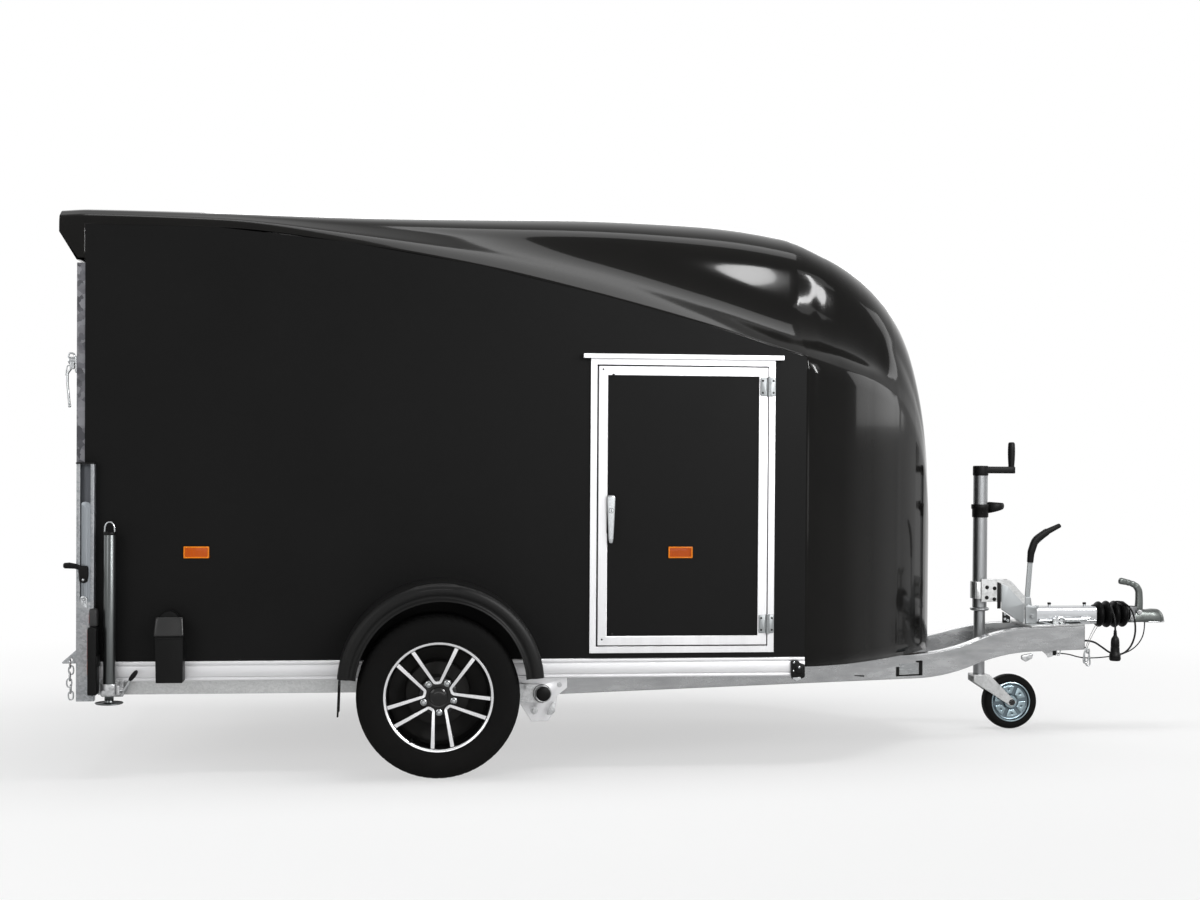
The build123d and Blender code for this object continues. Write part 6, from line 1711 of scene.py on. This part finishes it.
    def latch(self) -> None:
        """Makes a ramp latch: keeper on the ramp's back, barrel, hanging lever with a knob, wire and hook.

        Both latches have the same hand, so this piece isn't turned over.
        """
        y = self.side * self.latch_y
        base = Shape().plate([box_outline(34, 60, 4, (y, 1460))], -2173, -2167.8, "yz", 1.2)
        base.rod([(-2170, y, 1474), (-2180, y, 1474), (-2196, y, 1474), (-2200, y, 1474)], 13.5, count=20,
                 scale=np.array([1.0, 1.0, 1.0, 0.7]))
        base.plate([box_outline(15, 30, 5, (-2186, 1458))], y - 12, y + 12, "xz", 2)
        for v in (1438, 1484):
            base.screw((-2173, y + 9, v), (-1, 0, 0), 4.5).screw((-2173, y - 9, v), (-1, 0, 0), 4.5)
        lever = bent_line([(-2182, y, 1468), (-2186, y, 1452), (-2203, y, 1428), (-2203, y, 1392),
                           (-2199, y, 1352), (-2196, y, 1316)], 14, 6)
        base.carried(box_outline(7.5, 15, 3), lever, (0, 1, 0))
        base.turned([(0, -6), (4.2, -4.6), (5.8, -1), (5.6, 2), (3.6, 5.2), (0, 6)], (-2195.5, y, 1312), "z",
                    14)
        hoop = [(-2188, y + 10, 1458), (-2206, y + 10, 1456), (-2211, y + 10, 1424), (-2204, y + 4, 1418)]
        base.rod(bent_line(hoop, 7, 6), 2.4, count=10)
        hook = [(-2176, y - 6, 1482), (-2178, y - 6, 1498), (-2196, y - 6, 1502), (-2200, y - 6, 1484)]
        base.rod(bent_line(hook, 9), 3.2, count=12)
        base.piece(f"ramp_latch_{self.name}", PLATED, "ramp_latches" if self.side < 0 else "", "ramp", 38)


@dataclass
class Drawbar:
    """Jockey wheel, brake lever, bellows, coupling, clamp plates and small tackle of the drawbar."""

    jockey_x: float = 1414.0
    wheel_x: float = 1546.0
    wheel_z: float = 115.0
    axis_z: float = 482.0
    bellows_rear: float = 1912.0
    bellows_front: float = 2066.0

    def build(self) -> None:
        """Makes every fitting in order from the jockey wheel to the coupling."""
        self.jockey()
        self.wheel()
        self.plates()
        self.lever()
        self.bellows()
        self.tackle()
        self.hooks()
        self.tabs()
        self.beam_marks()

    def jockey(self) -> None:
        """Makes the outer tube with its stop ring, the black plug holder and the black crank on top."""
        centre = (self.jockey_x, 0, 0)
        tube = Shape().turned([(26.5, 500), (30, 500), (30, 1069.6), (26.5, 1069.6)], centre, "z", 56,
                              closed=True)
        tube.turned([(30, 499.5), (36, 501), (39.2, 504), (40, 507), (39.2, 510), (36, 513), (30, 514.5)],
                    centre, "z", 56)
        tube.piece("jockey_outer_tube", TUBE_ZINC, "jockey_tube")
        holder = Shape().turned([(30.2, 893), (33.6, 894), (34, 897), (34.2, 926), (36.6, 929), (38, 932),
                                 (38, 945), (36.4, 948.4), (30.2, 949)], centre, "z", 56, closed=True)
        turn = np.linspace(0, 2 * np.pi, 56, endpoint=False)
        round_turn = np.linspace(0, 2 * np.pi, 16, endpoint=False)
        thick, tall = 7.0 * np.cos(round_turn), (17 * np.sin(round_turn))
        reach_x, reach_y = 30 + thick[None], 22 + thick[None]
        x = self.jockey_x + 66 + reach_x * np.cos(turn)[:, None]
        y = reach_y * np.sin(turn)[:, None]
        z = 938 + 0.1 * (x - self.jockey_x - 66) + tall[None] * (1.1 - 0.3 * np.cos(turn)[:, None])
        holder.grid(np.stack([x, y, z], axis=-1), close_rows=True, close_cols=True)
        holder.screw((self.jockey_x - 2, -34.1, 914), (0, -1, 0), 4)
        holder.piece("plug_holder", BLACK_PLASTIC, smooth=40)
        crank = Shape().turned([(0, 1111.5), (29, 1111), (32, 1108.5), (32.5, 1104), (32.5, 1074),
                                (31.5, 1070), (29, 1069.7), (0, 1069.7)], centre, "z", 48)
        arm = [(self.jockey_x + 4, -26), (self.jockey_x + 34, -20), (self.jockey_x + 134, -14.5),
               (self.jockey_x + 149, -13), (self.jockey_x + 149, 13), (self.jockey_x + 134, 14.5),
               (self.jockey_x + 34, 20), (self.jockey_x + 4, 26)]
        crank.plate([rounded_outline(arm, [4, 8, 6, 9, 9, 6, 8, 4], 5)], 1079, 1108, "xy", 3.5)
        crank.turned([(0, 1211.5), (9, 1211), (12.6, 1208.5), (14.2, 1203), (15.2, 1185), (15.4, 1165),
                      (14.6, 1140), (13, 1116), (12.6, 1104), (0, 1104)], (self.jockey_x + 134, 0, 0), "z",
                     28)
        crank.piece("jockey_crank", BLACK_PLASTIC)

    def wheel(self) -> None:
        """Makes the jockey wheel: turned tyre, disc with a raised lip, six raised panels, and the hub."""
        centre = (self.wheel_x, 0, self.wheel_z)
        half = [(84.3, 27), (86, 29), (92, 30.8), (99, 31), (105, 29.6), (110, 26.5), (113.2, 21),
                (114.5, 14), (115, 6), (115, 0)]
        profile = smoothed(half + [(r, -y) for r, y in half[::-1][1:]], 1) + [(84.3, -20), (84.3, 20)]
        tyre = Shape().turned(profile, centre, "y", 96, closed=True)
        tyre.piece("jockey_tyre_round", RUBBER, "jockey_tyre", "jockey_wheel", 40)
        line = [(84.2, 26), (83.4, 28), (81, 28.6), (78.6, 27.4), (77.4, 23), (75.5, 17), (72, 14.6),
                (68, 14.2), (31, 14.2), (29, 16), (27.6, 24), (25.6, 26.5), (13, 27), (12, 31), (0, 31)]
        disc = Shape().turned(line, centre, "y", 72).turned([(r, -y) for r, y in line], centre, "y", 72)
        disc.turned([(84.2, 26), (84.2, -26)], centre, "y", 72)
        panels = Shape()
        for side in (-1, 1):
            for k in range(6):
                mid = math.radians(30 + 60 * k + 8)
                spread = np.radians(np.linspace(-23, 23, 9))
                rim = [(self.wheel_x + 67 * math.cos(mid + t),
                        self.wheel_z + 67 * math.sin(mid + t)) for t in spread]
                rim += [(self.wheel_x + 35 * math.cos(mid - t),
                         self.wheel_z + 35 * math.sin(mid - t)) for t in spread * 0.8]
                hole = ring_outline(4.6, (self.wheel_x + 52 * math.cos(mid),
                                          self.wheel_z + 52 * math.sin(mid)), 12)
                panels.plate([rounded_outline(rim, [5] + [0] * 7 + [5, 4] + [0] * 7 + [4], 4), hole],
                             side * 14, side * 19.5, "xz", 1.6)
            panels.turned([(84.0, side * 25.5), (83.4, side * 28.2), (81, side * 29), (78.8, side * 27.6),
                           (78.4, side * 25)], centre, "y", 72)
            panels.turned([(29, side * 16), (27.6, side * 24.2), (25.6, side * 26.9), (13, side * 27.3)],
                          centre, "y", 40)
        disc.piece("jockey_rim_disc", BLUE_DARK, "jockey_rim", "jockey_wheel", 35)
        panels.piece("jockey_rim_panels", BLUE_ZINC, body="jockey_wheel")
        nut = Shape().bolt((self.wheel_x, -41.2, self.wheel_z), (0, -1, 0), 9.0)
        nut.bolt((self.wheel_x, 41.2, self.wheel_z), (0, 1, 0), 9.0)
        nut.piece("jockey_axle_nuts", CAST, body="jockey_caster", smooth=38)

    def plates(self) -> None:
        """Makes the light gusset before the clamp, a black strip of painted shade behind it, a small black
        bracket, and the clamp's four bolts.
        """
        gusset = rounded_outline([(1490, 616), (1520, 602), (1588, 532), (1588, 452), (1576, 450),
                                  (1490, 508)], 3, 3)
        Shape().plate([gusset], -54.6, -58.2, "xz", 0.8).piece("clamp_gusset", GREY_METAL, smooth=38)
        dark = Shape()
        for x, z in ((1428, 601), (1461, 597), (1427, 558), (1460, 551)):
            dark.bolt((x, -54.4, z), (0, -1, 0), 5.8)
        dark.plate([rounded_outline([(1496, 500), (1530, 478), (1530, 452), (1496, 452)], 2, 3)], -50, -54,
                   "xz", 0.8)
        # Painted shade: a thin black strip along the gusset's rear edge stands for the shade there.
        dark.plate([rounded_outline([(1472, 624), (1488, 617), (1488, 512), (1472, 512)], 2, 3)], -54.5,
                   -56.2, "xz", 0.6)
        dark.piece("clamp_bolts_and_painted_shade", BLACK_PLASTIC, smooth=38)
        small = Shape()
        for x, z in ((1507, 488), (1507, 468), (1520, 462)):
            small.bolt((x, -54.1, z), (0, -1, 0), 4.2)
        small.piece("clamp_screws", PLATED, smooth=38)

    def lever(self) -> None:
        """Makes the brake lever: notched base plates, a flat bar that leans forward, and a black grip."""
        bar = Shape()
        base = rounded_outline([(1594, 449), (1594, 520), (1606, 530), (1630, 520), (1654, 528), (1644, 508),
                                (1644, 449)], [2, 6, 5, 8, 3, 5, 2], 4)
        bar.plate([base], -57.5, -61.5, "xz", 1)
        bar.plate([base], -40.5, -44.5, "xz", 1)
        bar.plate([rounded_outline([(1592, 450), (1634, 450), (1618, 560), (1596, 560)], 6, 4)], -46, -56,
                  "xz", 1)
        line = bent_line([(1600, -51, 505), (1615, -51, 702), (1628, -51, 780), (1680, -51, 826)], 50, 9)
        bar.carried(box_outline(22, 8.5, 3), line, (0, 1, 0))
        bar.bolt((1622, -61.5, 480), (0, -1, 0), 9)
        bar.piece("brake_lever_bar", GREY_METAL, "handbrake_lever")
        path = bent_line([(1615.5, -51, 706), (1619, -51, 748), (1636, -51, 800), (1686, -51, 834),
                          (1742, -51, 861)], 60, 11)
        run = np.linspace(0, 1, len(path))
        scale = 0.93 + 0.1 * np.sin(np.pi * run) - 0.3 * np.clip((run - 0.93) / 0.07, 0, 1) ** 2
        scale[0] = 0.86
        path = np.vstack([path, path[-1] + np.array([3.5, 0, 2.3])])
        Shape().carried(box_outline(30, 26, 11, steps=6), path, (0, 1, 0), scale=np.append(scale, 0.45)
                        ).piece("brake_lever_grip", BLACK_PLASTIC, smooth=40)

    def bellows(self) -> None:
        """Makes the bellows: four deep folds whose radius follows the root of a sine, and its collars."""
        run = np.linspace(0, 1, 129)
        folds = np.abs(np.sin(4 * np.pi * run)) ** 0.62
        swell = 1 - 0.05 * np.cos(2 * np.pi * run)
        radius = 34 + 22 * folds * swell * (1 - 0.16 * np.exp(-((run - 0.02) / 0.1) ** 2))
        x = self.bellows_rear + 6 + (self.bellows_front - self.bellows_rear - 12) * run
        profile = [(30, self.bellows_rear + 0.3), (40, self.bellows_rear + 0.3), (41, self.bellows_rear + 2),
                   (40, self.bellows_rear + 5)] + list(zip(radius, x))
        profile += [(37, self.bellows_front - 5), (38, self.bellows_front - 2),
                    (37, self.bellows_front - 0.3), (30, self.bellows_front - 0.3)]
        Shape().turned(profile, (0, 0, self.axis_z), "x", 64
                               ).piece("bellows_folds", BELLOWS_RUBBER, "bellows", smooth=60)

    def tackle(self) -> None:
        """Makes the grease caps, the brake rods, the coupling and the lip under it."""
        black = Shape()
        for x in (1720.0, 1875.0):
            black.turned([(0, 533), (6.5, 532.4), (7.8, 530), (7.6, 525), (5, 523), (3.4, 522), (3.4, 515.5),
                          (6.5, 515)], (x, 0, 0), "z", 18)
        black.piece("grease_caps", BLACK_PLASTIC, smooth=40)
        rods = Shape().rod([(1655, -56, 462), (1715, -56, 461), (1790, -56, 460), (1905, -55, 459)], 5.5,
                           count=14)
        rods.rod([(1650, -60, 459), (1700, -62, 448), (1752, -62, 444), (1904, -58, 449)], 2.6, count=10)
        rods.turned([(0, -71), (12, -70.5), (14.5, -68), (14.5, -52), (12, -50), (0, -50)], (1724, 0, 459),
                    "y", 28)
        rods.turned([(14.6, -66), (19, -65), (19, -57), (14.6, -56)], (1748, 0, 459), "y", 24)
        rods.turned([(0, -67), (9, -66.6), (10.5, -64), (10.5, -50)], (1748, 0, 459), "y", 24)
        rods.rod([(1762, -58, 466), (1800, -58, 466), (1864, -58, 466)], 6.5, count=14)
        rods.rod([(1838, -52, 470), (1880, -52, 470)], 8.0, count=14)
        rods.piece("brake_rods", PLATED)
        self.coupling()
        head = Shape().bolt((2078, -33, 470), (0, -1, 0), 8.5).bolt((2108, -33, 492), (0, -1, 0), 7.5)
        lip = rounded_outline([(2127, -30), (2150, -38), (2186, -41.5), (2214, -34), (2227.5, -14),
                               (2227.5, 14), (2214, 34), (2186, 41.5), (2150, 38), (2127, 30)], 12, 4)
        head.plate([lip, ring_outline(26, (2186, 0))], 448.4, 454.0, "xy", 1.6)
        head.piece("coupling_lip", ZINC_DULL)

    def hooks(self) -> None:
        """Makes the two spring hooks under the beams and the thin lines that they hang on."""
        hooks = Shape()
        for k, (x, z) in enumerate(((1853, 338), (1860, 326))):
            middle, lean = np.array([x, -82.0 + 8 * k, z - 24]), np.array([0.16 - 0.3 * k, 0, 1.0])
            hooks.loop(oval(middle, lean, (1, 0, 0), 31, 11), 3.3, (0, 1, 0))
            hooks.turned([(0, z + 8), (4.6, z + 7), (5, z + 2), (4.4, z - 3), (0, z - 4)], (x, middle[1], 0),
                         "z", 14)
        hooks.rod(bent_line([(1846, -62, 345), (1852, -74, 350), (1857, -80, 344)], 8), 2.4, (0, 0, 1), 10)
        hooks.piece("spring_hooks", PLATED, smooth=60)
        lines = Shape()
        for start, end in (((1906, -50, 440), (1850, -80, 345)), ((1914, -52, 436), (1858, -76, 344))):
            run = np.linspace(0, 1, 9)[:, None]
            lines.rod(np.array(start) * (1 - run) + np.array(end) * run + np.array([-6, -4,
                                                                                    0]) * np.sin(np.pi * run),
                      1.5, (0, 1, 0), 8)
        lines.piece("hook_lines", WIRE, smooth=60)

    def tabs(self) -> None:
        """Makes the tabs and the wire eye that are welded to the beams."""
        beam_face = Shape()
        beam_face.plate([rounded_outline([(1646, 343), (1706, 343), (1700, 314), (1680, 309), (1672, 322)], 3,
                                         3)], -92, -96, "xz", 1)
        beam_face.rod(bent_line([(1716, -94, 343), (1722, -94, 318), (1730, -94, 318), (1736, -94, 343)], 6),
                      2.6, (0, 1, 0), 10)
        beam_face.plate([rounded_outline([(1556, 322), (1556, 306), (1574, 296), (1600, 310), (1606, 332)], 4,
                                         3)], -112, -128, "xz", 1.5)
        beam_face.piece("beam_tabs", ZINC_DULL)

    def coupling(self) -> None:
        """Makes the coupling's cast head and its handle.

        The head is an arch at each station along it, over a turned ball cup: the table gives the station, the
        half width, the crown's height and the power that shapes the corner. The handle is a rounded bar along
        a bent line, thick at its foot, with a round end.
        """
        table = np.array([(2060.0, 32.0, 514.0, 0.98), (2098.0, 33.0, 513.0, 0.9),
                          (2122.0, 33.0, 505.0, 0.62), (2150.0, 37.0, 501.0, 0.5),
                          (2176.0, 39.8, 504.0, 0.62), (2196.0, 38.8, 503.0, 0.74),
                          (2212.0, 32.0, 493.0, 0.84), (2221.0, 22.0, 479.0, 0.9),
                          (2226.0, 8.0, 462.0, 0.95)])
        at = np.concatenate([np.linspace(2060, 2196, 34), np.linspace(2199, 2226, 12)])
        rows = smooth_through(table[:, 0], table[:, 1:], at)
        turn = np.linspace(-np.pi / 2, np.pi / 2, 41)[None]
        half, crown, corner = rows[:, [0]], rows[:, [1]], rows[:, [2]]
        y = half * np.sign(np.sin(turn)) * np.abs(np.sin(turn)) ** corner
        z = 450.0 + (crown - 450.0) * np.abs(np.cos(turn)) ** corner
        cast = Shape().grid(np.stack([np.broadcast_to(at[:, None], y.shape), y, z], axis=-1))
        cast.piece("coupling_cast", HEAD_ZINC, "coupling_head", smooth=55, wall=4.0)
        tube = Shape().turned([(25, 1662), (25, 2062)], (0, 0, self.axis_z), "x", 40)
        tube.turned([(34, 452), (33, 449.5), (27, 449.2), (25.6, 452), (26, 466), (22, 480), (12, 489),
                     (0, 491)], (2186, 0, 0), "z", 40)
        tube.turned([(0, 448.5), (32, 448.5), (33, 452), (33, 512), (30, 515)], (2076, 0, 0), "z", 32)
        tube.piece("coupling_tube", TUBE_ZINC, smooth=40)
        knots = np.array([(2116, 498), (2118, 540), (2117, 574), (2108, 596), (2090, 609), (2064, 617),
                          (2040, 622), (2026, 625)], float)
        run = np.concatenate([[0], np.cumsum(np.hypot(*np.diff(knots, axis=0).T))])
        dense = smooth_through(run, knots, np.linspace(0, run[-1], 49))
        path = np.stack([dense[:, 0], np.zeros(49), dense[:, 1]], axis=-1)
        part = np.linspace(0, 1, 49)
        size = np.interp(part, [0, 0.25, 0.5, 0.7, 0.86, 0.95, 0.985, 1.0],
                         [1.2, 1.08, 1.0, 0.84, 0.9, 0.98, 0.8, 0.3])
        size = size + 0.035 * np.sin(part * 60) * (part > 0.5) * (part < 0.9)
        bar = Shape().carried(box_outline(29, 22, 9, steps=6), path, (0, 1, 0), scale=size)
        bar.turned([(0, -13), (6, -13), (7, -11.5), (7, 11.5), (6, 13), (0, 13)], (2117, 0, 512), "y", 20)
        bar.piece("coupling_lever", HEAD_ZINC, "coupling_handle", smooth=45)

    def beam_marks(self) -> None:
        """Puts the slot, as a black strip of painted shade, and the black bracket on the right beam's outer
        face.
        """
        (rear_x, rear_y), (front_x, front_y), half_width = (-440.0, 608.0), (1845.0, 62.0), 22.5
        slope = (rear_y - front_y) / (front_x - rear_x)
        turn = math.atan(slope)
        marks, lines = Shape(), Shape()

        def face(x: float, z: float, out: float) -> tuple[float, float, float]:
            """Point on the beam's outer face, that far out of it."""
            y = -(rear_y - slope * (x - rear_x)) - half_width / math.cos(turn)
            return x + out * math.sin(turn), y - out * math.cos(turn), z

        def strip(shape: Shape, corners: Outline, thick: float) -> None:
            """Puts a thin plate with those corners, along the beam and upwards, on its face."""
            line = rounded_outline(corners, 1.2, 3)
            shape.solid(np.array([[face(x, z, out) for x, z in line] for out in (0.2, thick)]))

        # Painted shade: the slot is a thin black strip on the beam's face, standing for the shade inside it.
        strip(marks, [(786, 271), (828, 266), (828, 272), (786, 274)], 0.9)
        strip(marks, [(970, 300), (982, 300), (982, 262), (970, 262)], 2.4)
        strip(marks, [(970, 268), (1086, 268), (1086, 262), (970, 262)], 2.4)
        strip(marks, [(1072, 322), (1086, 322), (1086, 262), (1072, 262)], 2.4)
        strip(marks, [(1056, 322), (1086, 322), (1086, 315), (1062, 315)], 2.4)
        marks.piece("beam_bracket", BLACK_PLASTIC, smooth=38)
        for z in range(272, 310, 6):
            strip(lines, [(985, z), (1068, z), (1068, z + 3.4), (985, z + 3.4)], 1.4)
        lines.piece("beam_bracket_ribs", GREY_METAL, smooth=38)


@dataclass
class SideDoor:
    """Hinges, screws, handle and lock of the side door, on the trailer's right."""

    pin_x: float = 332.5
    pin_y: float = -796.0
    hinge_z: tuple[float, float] = (527.0, 1405.0)
    face_y: float = -793.4
    handle_x: float = -255.0
    lock_z: float = 946.0

    def build(self) -> None:
        """Makes every fitting."""
        self.hinges()
        self.handle()

    def hinges(self) -> None:
        """Makes both hinges: leaf plate with the middle knuckle, frame plate with the outer ones."""
        leaf, frame, screws, frame_screws = Shape(), Shape(), Shape(), Shape()
        pin, ahead = (self.pin_x, self.pin_y, 0), (0, -1, 0)
        for z in self.hinge_z:
            leaf.plate([span_outline(300, 326, z - 34, z + 34, [5, 1, 1, 5])], -789.2, self.face_y, "xz", 1.2)
            leaf.turned([(0, z - 13.6), (7, z - 13.6), (7, z + 13.6), (0, z + 13.6)], pin, "z", 24)
            leaf.plate([box_outline(10, 27, 1, (327, z))], -790, -795.6, "xz", 1)
            frame.plate([span_outline(339, 357, z - 34, z + 34, [1, 5, 5, 1])], -783.4, self.face_y, "xz",
                        1.2)
            for low in (z - 36, z + 14):
                frame.turned([(0, low), (6.2, low), (7, low + 0.9), (7, low + 21.1), (6.2, low + 22),
                              (0, low + 22)], pin, "z", 24)
            for v in (-22, 22):
                screws.screw((309, self.face_y, z + v), ahead, 4.0)
                frame_screws.screw((349, self.face_y, z + v), ahead, 4.0)
        for z, beside in ((1443.0, 1463.0), (492.0, 472.0)):
            screws.screw((-247, -789, z), ahead, 4.6).screw((-285, -789, beside), ahead, 3.6)
        leaf.piece("hinge_door_plates", GREY_METAL, "door_hinges", "side_door")
        frame.piece("hinge_frame_plates", GREY_METAL, "hinge_leaves")
        screws.piece("hinge_door_screws", CAST, body="side_door", smooth=38)
        frame_screws.piece("hinge_frame_screws", CAST, smooth=38)

    def handle(self) -> None:
        """Makes the door handle: a back plate, a flat lever that narrows downwards, and a round lock."""
        x, lock_z = self.handle_x, self.lock_z
        plate = Shape().plate([box_outline(30, 150, 12, (x, 930), 6)], -789.2, -794, "xz", 1.4)
        plate.piece("door_handle_plate", BLACK_PLASTIC, "door_handle", "side_door")
        outline = rounded_outline([(x - 15, 1002), (x + 15, 1002), (x + 14, 950), (x + 9, 842), (x + 6, 826),
                                   (x - 6, 826), (x - 9, 842), (x - 14, 950)], [9, 9, 10, 6, 5, 5, 6, 10])
        lever = Shape().plate([outline], -800, -808.5, "xz", 3)
        lever.plate([box_outline(20, 40, 6, (x, 972))], -793, -801, "xz", 1)
        lever.turned([(0, -811.5), (8.2, -811.2), (9.6, -809.6), (10, -807)], (x, 0, lock_z), "y", 24)
        lever.piece("door_handle_lever", PLATED, body="side_door")
        # Painted shade: the key slot is a thin dark plate on the lock's face, standing for the shade inside
        # it.
        slot = Shape().plate([box_outline(2.0, 10, 0.8, (x, lock_z))], -811.2, -812.2, "xz", 0.3)
        slot.piece("door_lock_slot_shade", CAST, body="side_door", smooth=38)


@dataclass
class Reflectors:
    """Amber reflectors on the walls and on the door: a ribbed lens inside a raised lighter rim."""

    z: float = 792.0
    rear_x: float = -1745.0
    front_x: float = 6.0
    wall_y: float = 775.2
    door_y: float = 782.2

    def build(self) -> None:
        """Makes each reflector, on the walls first and then on the door."""
        places = [("wall_0", "right", -1, self.rear_x, "reflectors"), ("wall_1", "left", 1, self.rear_x, ""),
                  ("wall_2", "left", 1, self.front_x, ""), ("door_3", "right", -1, self.front_x,
                                                            "door_reflector")]
        for name, side_name, side, x, node in places:
            on_door = name.startswith("door")
            y, body = (self.door_y, "side_door") if on_door else (self.wall_y, "trailer")
            part, centre = SidePart(side_name, side), (x, self.z)
            rim = Shape().plate([box_outline(90, 42, 3, centre), box_outline(80, 32, 2, centre)], y, y + 6.6,
                                "xz", 1.0)
            part.make(rim, f"reflector_rim_{name}", AMBER_RIM, body=body)
            lens = Shape().plate([box_outline(81.5, 33.5, 2, centre)], y + 0.4, y + 5.0, "xz", 0.6)
            for k in range(1, 8):
                lens.plate([box_outline(0.9, 32, 0.3, (x - 40 + 10 * k, self.z))], y + 4.8, y + 5.5, "xz",
                           0.2)
            part.make(lens, f"reflector_lens_{name}", AMBER, node, body)


@dataclass
class MarkerLamp(SidePart):
    """A side marker lamp: a black rubber body with a cut corner, three screws and a clear lens below."""

    back_y: float = 780.4
    face_y: float = 795.0

    def build(self) -> None:
        """Makes the lamp."""
        outline = [(424, 391), (448, 392), (457, 382), (476, 374), (476.5, 328), (444, 313), (425, 324)]
        body = Shape().plate([rounded_outline(outline, [5, 6, 6, 7, 7, 6, 6])], self.back_y, self.face_y,
                             "xz", 4)
        raised = [(438, 372), (466, 366), (468, 338), (440, 340)]
        body.plate([rounded_outline(raised, 7)], self.face_y - 2, self.face_y + 4.6, "xz", 3)
        self.make(body, f"marker_lamp_{self.name}", BLACK_PLASTIC, "marker_lamps")
        outline = rounded_outline([(428, 327), (458, 329), (462, 322), (444, 314.5), (430, 322)], 3, 4)
        lens = Shape().plate([outline], self.face_y - 1, self.face_y + 3.6, "xz", 1.6)
        self.make(lens, f"marker_lens_{self.name}", CLEAR_LENS)
        screws = Shape()
        for x, z, proud, size in ((433, 383, 0, 4.2), (432, 352, 0, 3.4), (452, 366, 4.4, 4.8)):
            screws.screw((x, self.face_y + proud, z), (0, 1, 0), size)
        self.make(screws, f"marker_screws_{self.name}", PLATED, smooth=38)


@dataclass
class Pivot(SidePart):
    """The suspension's outer fittings: black pivot cap in its bright ring, bolts and side plate doubler."""

    plate_y: float = 794.0
    place: tuple[float, float, float] = (-499.0, 0.0, 275.0)

    def build(self) -> None:
        """Makes the cap, then the ring with the bolts and the doubler."""
        cap = Shape().turned([(0, 799.5), (24, 799.2), (26.4, 797.6), (26.6, 793.5)], self.place, "y", 40)
        cap.turned([(33.4, 794.4), (31.4, 794.4), (31.4, 793), (33.4, 793)], (-503, 0, 277), "y", 40)
        self.make(cap, f"pivot_cap_{self.name}", BLACK_PLASTIC)
        ring = Shape().turned([(26.8, 793.6), (27, 796.4), (28.2, 797), (29.4, 796.2), (30.6, 793.6)],
                              self.place, "y", 40)
        for x, z, size in ((-532, 215, 9.5), (-560, 300, 6.5), (-440, 308, 6.5)):
            ring.bolt((x, self.plate_y, z), (0, 1, 0), size)
        doubler = [(-470, 240), (-455, 248), (-455, 212), (-468, 199), (-488, 199)]
        ring.plate([rounded_outline(doubler, 4, 4)], 790, 796, "xz", 1.2)
        self.make(ring, f"pivot_ring_{self.name}", ZINC_DULL)


@dataclass
class PlainNodes:
    """CAD nodes that keep their shape with rounded edges, or only take a finish."""

    edged: tuple = (
        ("chassis_frame", ZINC, "trailer", 1.6), ("drawbar_beams", BEAM_ZINC, "trailer", 4.0),
        ("coupling_mount", ZINC, "trailer", 1.2), ("suspension_beam", ALUMINIUM, "trailer", 1.4),
        ("trailing_arms", ZINC_DULL, "trailer", 2.0), ("door_frame", ALUMINIUM_UP, "trailer", 1.6),
        ("door_leaf", ALUMINIUM_UP, "side_door", 1.6), ("jockey_clamp", ZINC, "trailer", 1.2),
        ("overrun_housing", BRIGHT_CASE, "trailer", 3.0), ("jockey_fork", ZINC, "jockey_caster", 1.2),
        ("lead_gland", BLACK_PLASTIC, "trailer", 2.0), ("cable_clip", BLACK_PLASTIC, "trailer", 1.5),
    )

    def build(self) -> None:
        """Rounds and dresses every node of the table, and gives the jockey wheel's leg its finish."""
        for node, finish, body, edge in self.edged:
            softened(node, finish, body, edge)
        TUBE_ZINC.coat_node("jockey_leg")


def main() -> None:
    """Builds every sub-assembly in order."""
    global EFFECTS
    logging.basicConfig(level=logging.INFO, format="%(name)s: %(message)s")
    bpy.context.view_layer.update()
    EFFECTS = Effects()
    studio = Studio()
    studio.camera()
    Cables().build()
    studio.room()
    RoofMoulding().build()
    BodyPanels().build()
    for part in (Sill, RoadWheel, Mudguard, RearCorner):
        for name, side in SIDES:
            part(name, side).build()
    for part in (Drawbar, SideDoor, Reflectors):
        part().build()
    for part in (MarkerLamp, Pivot):
        for name, side in SIDES:
            part(name, side).build()
    PlainNodes().build()


if __name__ == "__main__":
    main()
